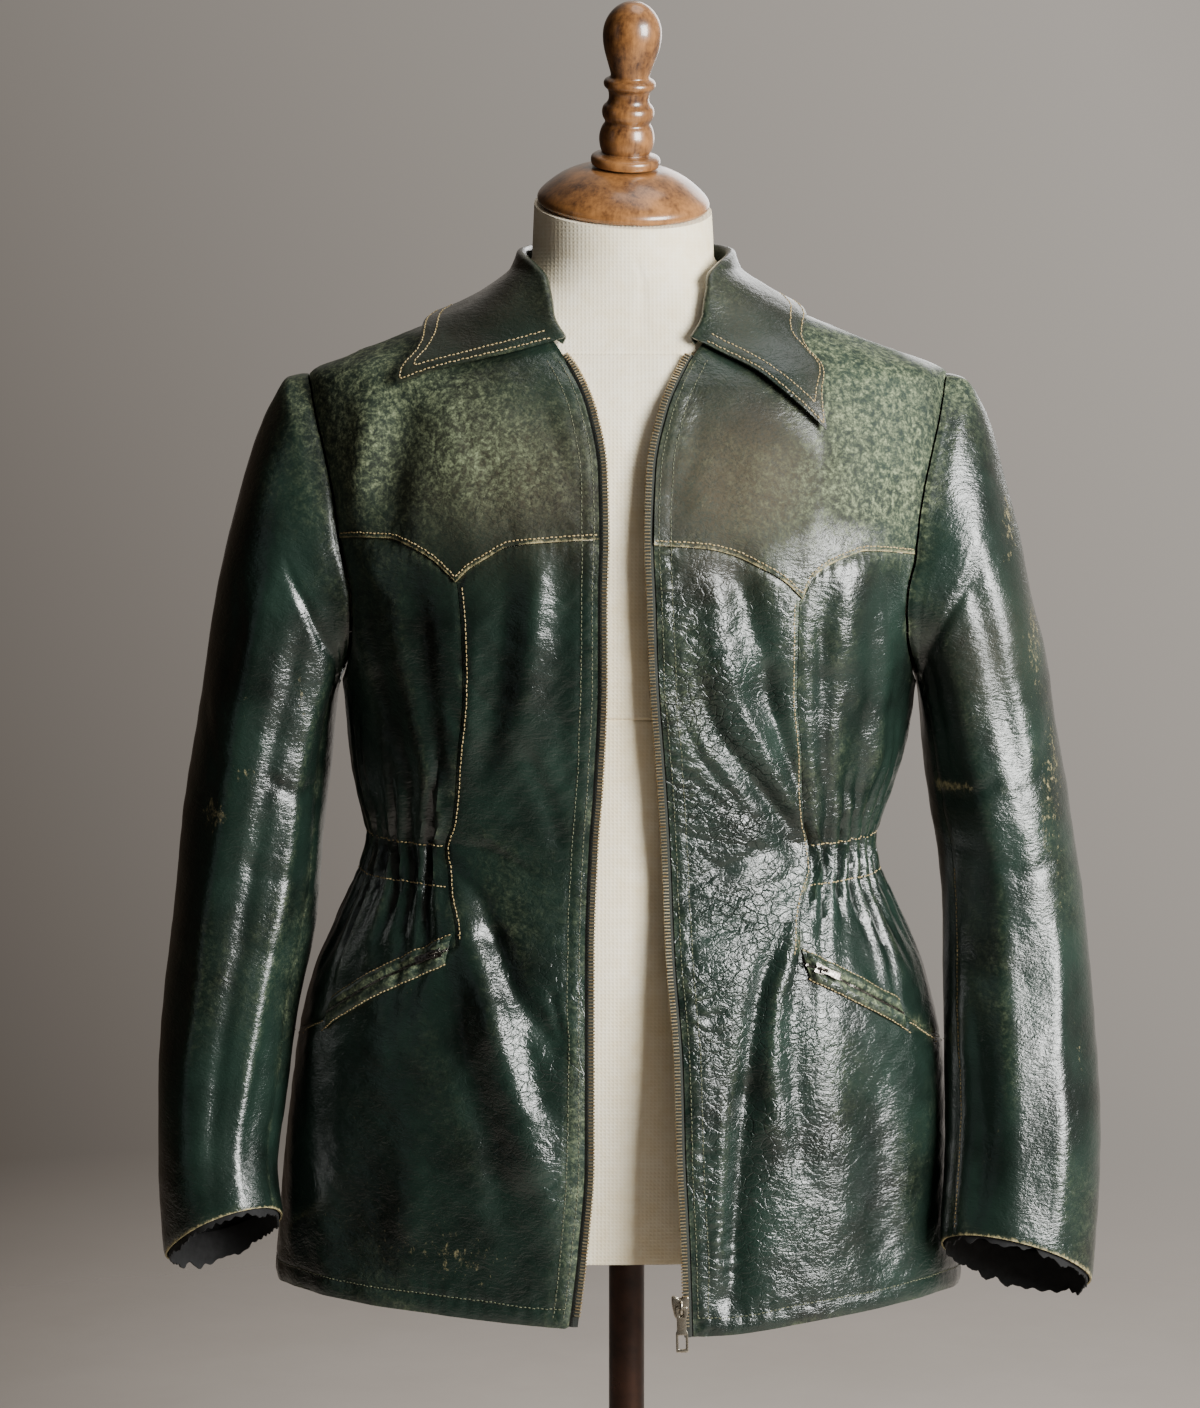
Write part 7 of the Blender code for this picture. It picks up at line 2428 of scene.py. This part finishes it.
# ---------------------------------------------------------------- the studio
@dataclass(frozen=True)
class Studio:
    """A pale floor, soft light from the viewer's right and the photograph's camera."""

    elevation: float = radians(6)
    distance: float = 2.6
    aim: tuple = (-0.0184, 0.0, 0.784)
    lens: float = 97.8
    wall: str = "#B8B1A9"
    shade: str = "#3A3129"
    fade: tuple = (0.8, 2.2)

    def build(self) -> None:
        """Makes the floor, the lights, the world and the camera."""
        self._floor()
        self._light("key_softbox", (1.58, -1.48, 1.38), (0.0, 0.0, 0.85), (0.95, 1.15), 164, "#FAFBF8")
        self._light("left_fill", (-2.4, -1.3, 1.3), (0.0, 0.0, 0.8), (0.9, 1.8), 1.4, "#E8EEF6")
        self._light("top_softbox", (0.4, -0.1, 2.9), (0.0, 0.0, 1.0), (1.2, 1.0), 9, "#FFFFFF")
        self._light("back_softbox", (0.9, 2.4, 1.9), (0.0, 0.0, 0.9), (1.4, 1.6), 26, "#FFFFFF")
        self._world()
        self._camera()

    def _world(self) -> None:
        """Air as of a taupe room, light on the wearer's left and dark on the right and in front."""
        world = bpy.data.worlds.new("studio_air")
        world.use_nodes = True
        tree = world.node_tree
        way = add_node(tree, "ShaderNodeTexCoord").outputs["Generated"]
        dot = add_node(tree, "ShaderNodeVectorMath", {0: way, 1: (2.0, 0.0, 1.0)}, operation="DOT_PRODUCT")
        across = dot.outputs[1]
        colour = mixed(tree, ramped(tree, across, -0.68, 0.32), linear(self.shade), linear(self.wall))
        behind = add_node(tree, "ShaderNodeSeparateXYZ", {0: way}).outputs[1]
        tree.links.new(colour, tree.nodes["Background"].inputs["Color"])
        strength = ramped(tree, behind, -0.2, 0.5, 0.22, 1.0)
        tree.links.new(strength, tree.nodes["Background"].inputs["Strength"])
        bpy.context.scene.world = world

    def _floor(self) -> None:
        """A plain floor, far larger than the stand."""
        bm = bmesh.new()
        bm.faces.new([bm.verts.new((x, y, 0)) for x, y in ((-30, -30), (30, -30), (30, 30), (-30, 30))])
        mesh = bpy.data.meshes.new("studio_floor")
        bm.to_mesh(mesh)
        bm.free()
        finish = FLOOR.make()
        # The floor thins out away from the stand, so that no hard horizon shows behind it.
        tree = finish.node_tree
        place = add_node(tree, "ShaderNodeTexCoord").outputs["Object"]
        far = add_node(tree, "ShaderNodeVectorMath", {0: place}, operation="LENGTH").outputs[1]
        tree.links.new(ramped(tree, far, *self.fade, 1.0, 0.0), tree.nodes["Principled BSDF"].inputs["Alpha"])
        mesh.materials.append(finish)
        floor = bpy.data.objects.new("studio_floor", mesh)
        bpy.context.scene.collection.objects.link(floor)

    def _light(self, name: str, place: tuple, aim: tuple, size: tuple, power_w: float, colour: str) -> None:
        """A rectangular softbox that faces a point."""
        lamp = bpy.data.lights.new(name, "AREA")
        lamp.shape, lamp.size, lamp.size_y, lamp.energy = "RECTANGLE", size[0], size[1], power_w
        lamp.color = linear(colour)[:3]
        made = bpy.data.objects.new(name, lamp)
        made.location = place
        made.rotation_euler = (Vector(aim) - Vector(place)).to_track_quat("-Z", "Y").to_euler()
        bpy.context.scene.collection.objects.link(made)

    def _camera(self) -> None:
        """The photograph's camera: a little above, a little to the wearer's right."""
        lens = bpy.data.cameras.new("camera")
        lens.lens, lens.sensor_width, lens.clip_end = self.lens, 36.0, 60.0
        made = bpy.data.objects.new("camera", lens)
        aim = Vector(self.aim)
        made.location = aim + Vector((0, -cos(self.elevation), sin(self.elevation))) * self.distance
        made.rotation_euler = (aim - made.location).to_track_quat("-Z", "Y").to_euler()
        bpy.context.scene.collection.objects.link(made)
        bpy.context.scene.camera = made


# ---------------------------------------------------------------- the whole
@dataclass
class Jacket:
    """The jacket: its leather, its lining, its zips and its sewing."""

    leather: bpy.types.Material
    lining: bpy.types.Material
    tape: bpy.types.Material
    shells: list = field(default_factory=list)

    def build(self, thread: bpy.types.Material, dull_thread: bpy.types.Material, brass: bpy.types.Material,
              dark: bpy.types.Material) -> None:
        """Makes every piece of the jacket but its sliders."""
        seams, dulled = Stitching(), Stitching(name="dulled_stitching", width=0.7)
        for side in Side:
            self._front(side, seams)
            self._sleeve(side, seams)
        back = Back()
        lapped = Cloth(roll=0.45, roll_width=1.5)
        self._sew("back_yoke_leather", back.yoke(), lapped, ["back_yoke"])
        self._sew("back_panel_leather", back.panel(), Cloth(), ["back_panel"])
        seams.add(back.stitch_rows())
        dulled.add(back.dulled_rows())
        collar = Collar()
        cut = collar.cut()
        piece = Cloth(collar.wall, 0.55, 2.0).sew("collar_leather", cut, [self.leather],
                                                   ["collar"])
        self.shells.append(piece)
        grid = cut.face.reshape(*collar.grid().shape)
        seams.add(collar.stitch_lines(grid))
        under = self._under()
        seams.build(under, thread)
        for side in Side:
            dulled.add(Front(side).dulled_rows())
        dulled.build(under, dull_thread)
        Teeth().build("front_teeth", [FrontZip(side).tooth_line() for side in Side], brass)
        small = Teeth(1.0, 1.9, 0.6, 1.2, 0.15)
        small.build("pocket_teeth", [Pocket(side).tooth_line() for side in Side], dark, 0.3)

    def _sew(self, name: str, cut: Cut, cloth: Cloth, nodes: Sequence[str]) -> None:
        """Sews a piece of lined leather."""
        lined = [self.leather, self.lining]
        self.shells.append(cloth.sew(name, cut, lined, nodes))

    def _front(self, side: Side, seams: Stitching) -> None:
        """One half of the front with its zip and pocket."""
        front, zip_half, pocket, end = Front(side), FrontZip(side), Pocket(side), side.value
        yoke, panel = "front_yoke_leather_" + end, "front_panel_leather_" + end
        lapped = Cloth(roll=0.45, roll_width=1.5)
        self._sew(yoke, front.yoke(), lapped, ["front_yoke_" + end])
        self._sew(panel, front.panel(), Cloth(), ["front_panel_" + end])
        self._sew("side_front_leather_" + end, front.side_panel(), Cloth(), ["side_front_" + end])
        Cloth(zip_half.thick, 0.0).sew("zip_tape_cotton_" + end, zip_half.tape(), [self.tape],
                                       ["zip_tape_" + end])
        Cloth(pocket.zip_thick, 0.0).sew("pocket_zip_cotton_" + end, pocket.zip(), [self.tape],
                                         ["pocket_zip_" + end])
        for cut, which in zip(pocket.welts(), ("upper", "lower")):
            name = f"pocket_welt_leather_{which}_{end}"
            self.shells.append(Cloth(0.9, 0.2, 1.0).sew(name, cut, [self.leather],
                                                        [f"pocket_welt_{which}_{end}"]))
        seams.add(front.stitch_rows())

    def _sleeve(self, side: Side, seams: Stitching) -> None:
        """One sleeve with its lining."""
        sleeve, end = Sleeve(side), side.value
        self._sew("top_sleeve_leather_" + end, sleeve.top(), Cloth(), ["top_sleeve_" + end])
        self._sew("under_sleeve_leather_" + end, sleeve.under(), Cloth(), ["under_sleeve_" + end])
        Cloth(1.0, 0.0).sew("cuff_lining_satin_" + end, sleeve.lining(), [self.lining],
                            ["cuff_lining_" + end])
        seams.add(sleeve.stitch_rows())

    def _under(self) -> BVHTree:
        """All the leather, in millimetres, for the stitches to lie on."""
        points, faces, count = [], [], 0
        for shell in self.shells:
            mesh = shell.data
            flat = np.empty(len(mesh.vertices) * 3, np.float32)
            mesh.vertices.foreach_get("co", flat)
            points += (flat.reshape(-1, 3) / MM).tolist()
            faces += [[k + count for k in face.vertices] for face in mesh.polygons]
            count += len(mesh.vertices)
        return BVHTree.FromPolygons(points, faces)


def main() -> None:
    """Builds the jacket, its form, its stand and the studio."""
    logging.basicConfig(level=logging.INFO, format="%(message)s")
    finishes = (LEATHER, THREAD, DULLED, LINING, TAPE, LINEN, BRASS, NICKEL, COPPERED, BRONZED, WOOD)
    materials = {finish.name: finish.make() for finish in finishes}
    Jacket(materials[LEATHER.name], materials[LINING.name], materials[TAPE.name]).build(
        materials[THREAD.name], materials[DULLED.name], materials[BRASS.name], materials[COPPERED.name])
    MAIN.build("main", main_zip_frame(), materials[NICKEL.name])
    for side in Side:
        POCKET.build("pocket_" + side.value, pocket_zip_frame(side), materials[COPPERED.name])
    DressForm().build(materials[LINEN.name])
    Stand().build(materials[WOOD.name], materials[BRONZED.name])
    Studio().build()
    bpy.context.view_layer.update()


if __name__ == "__main__":
    main()
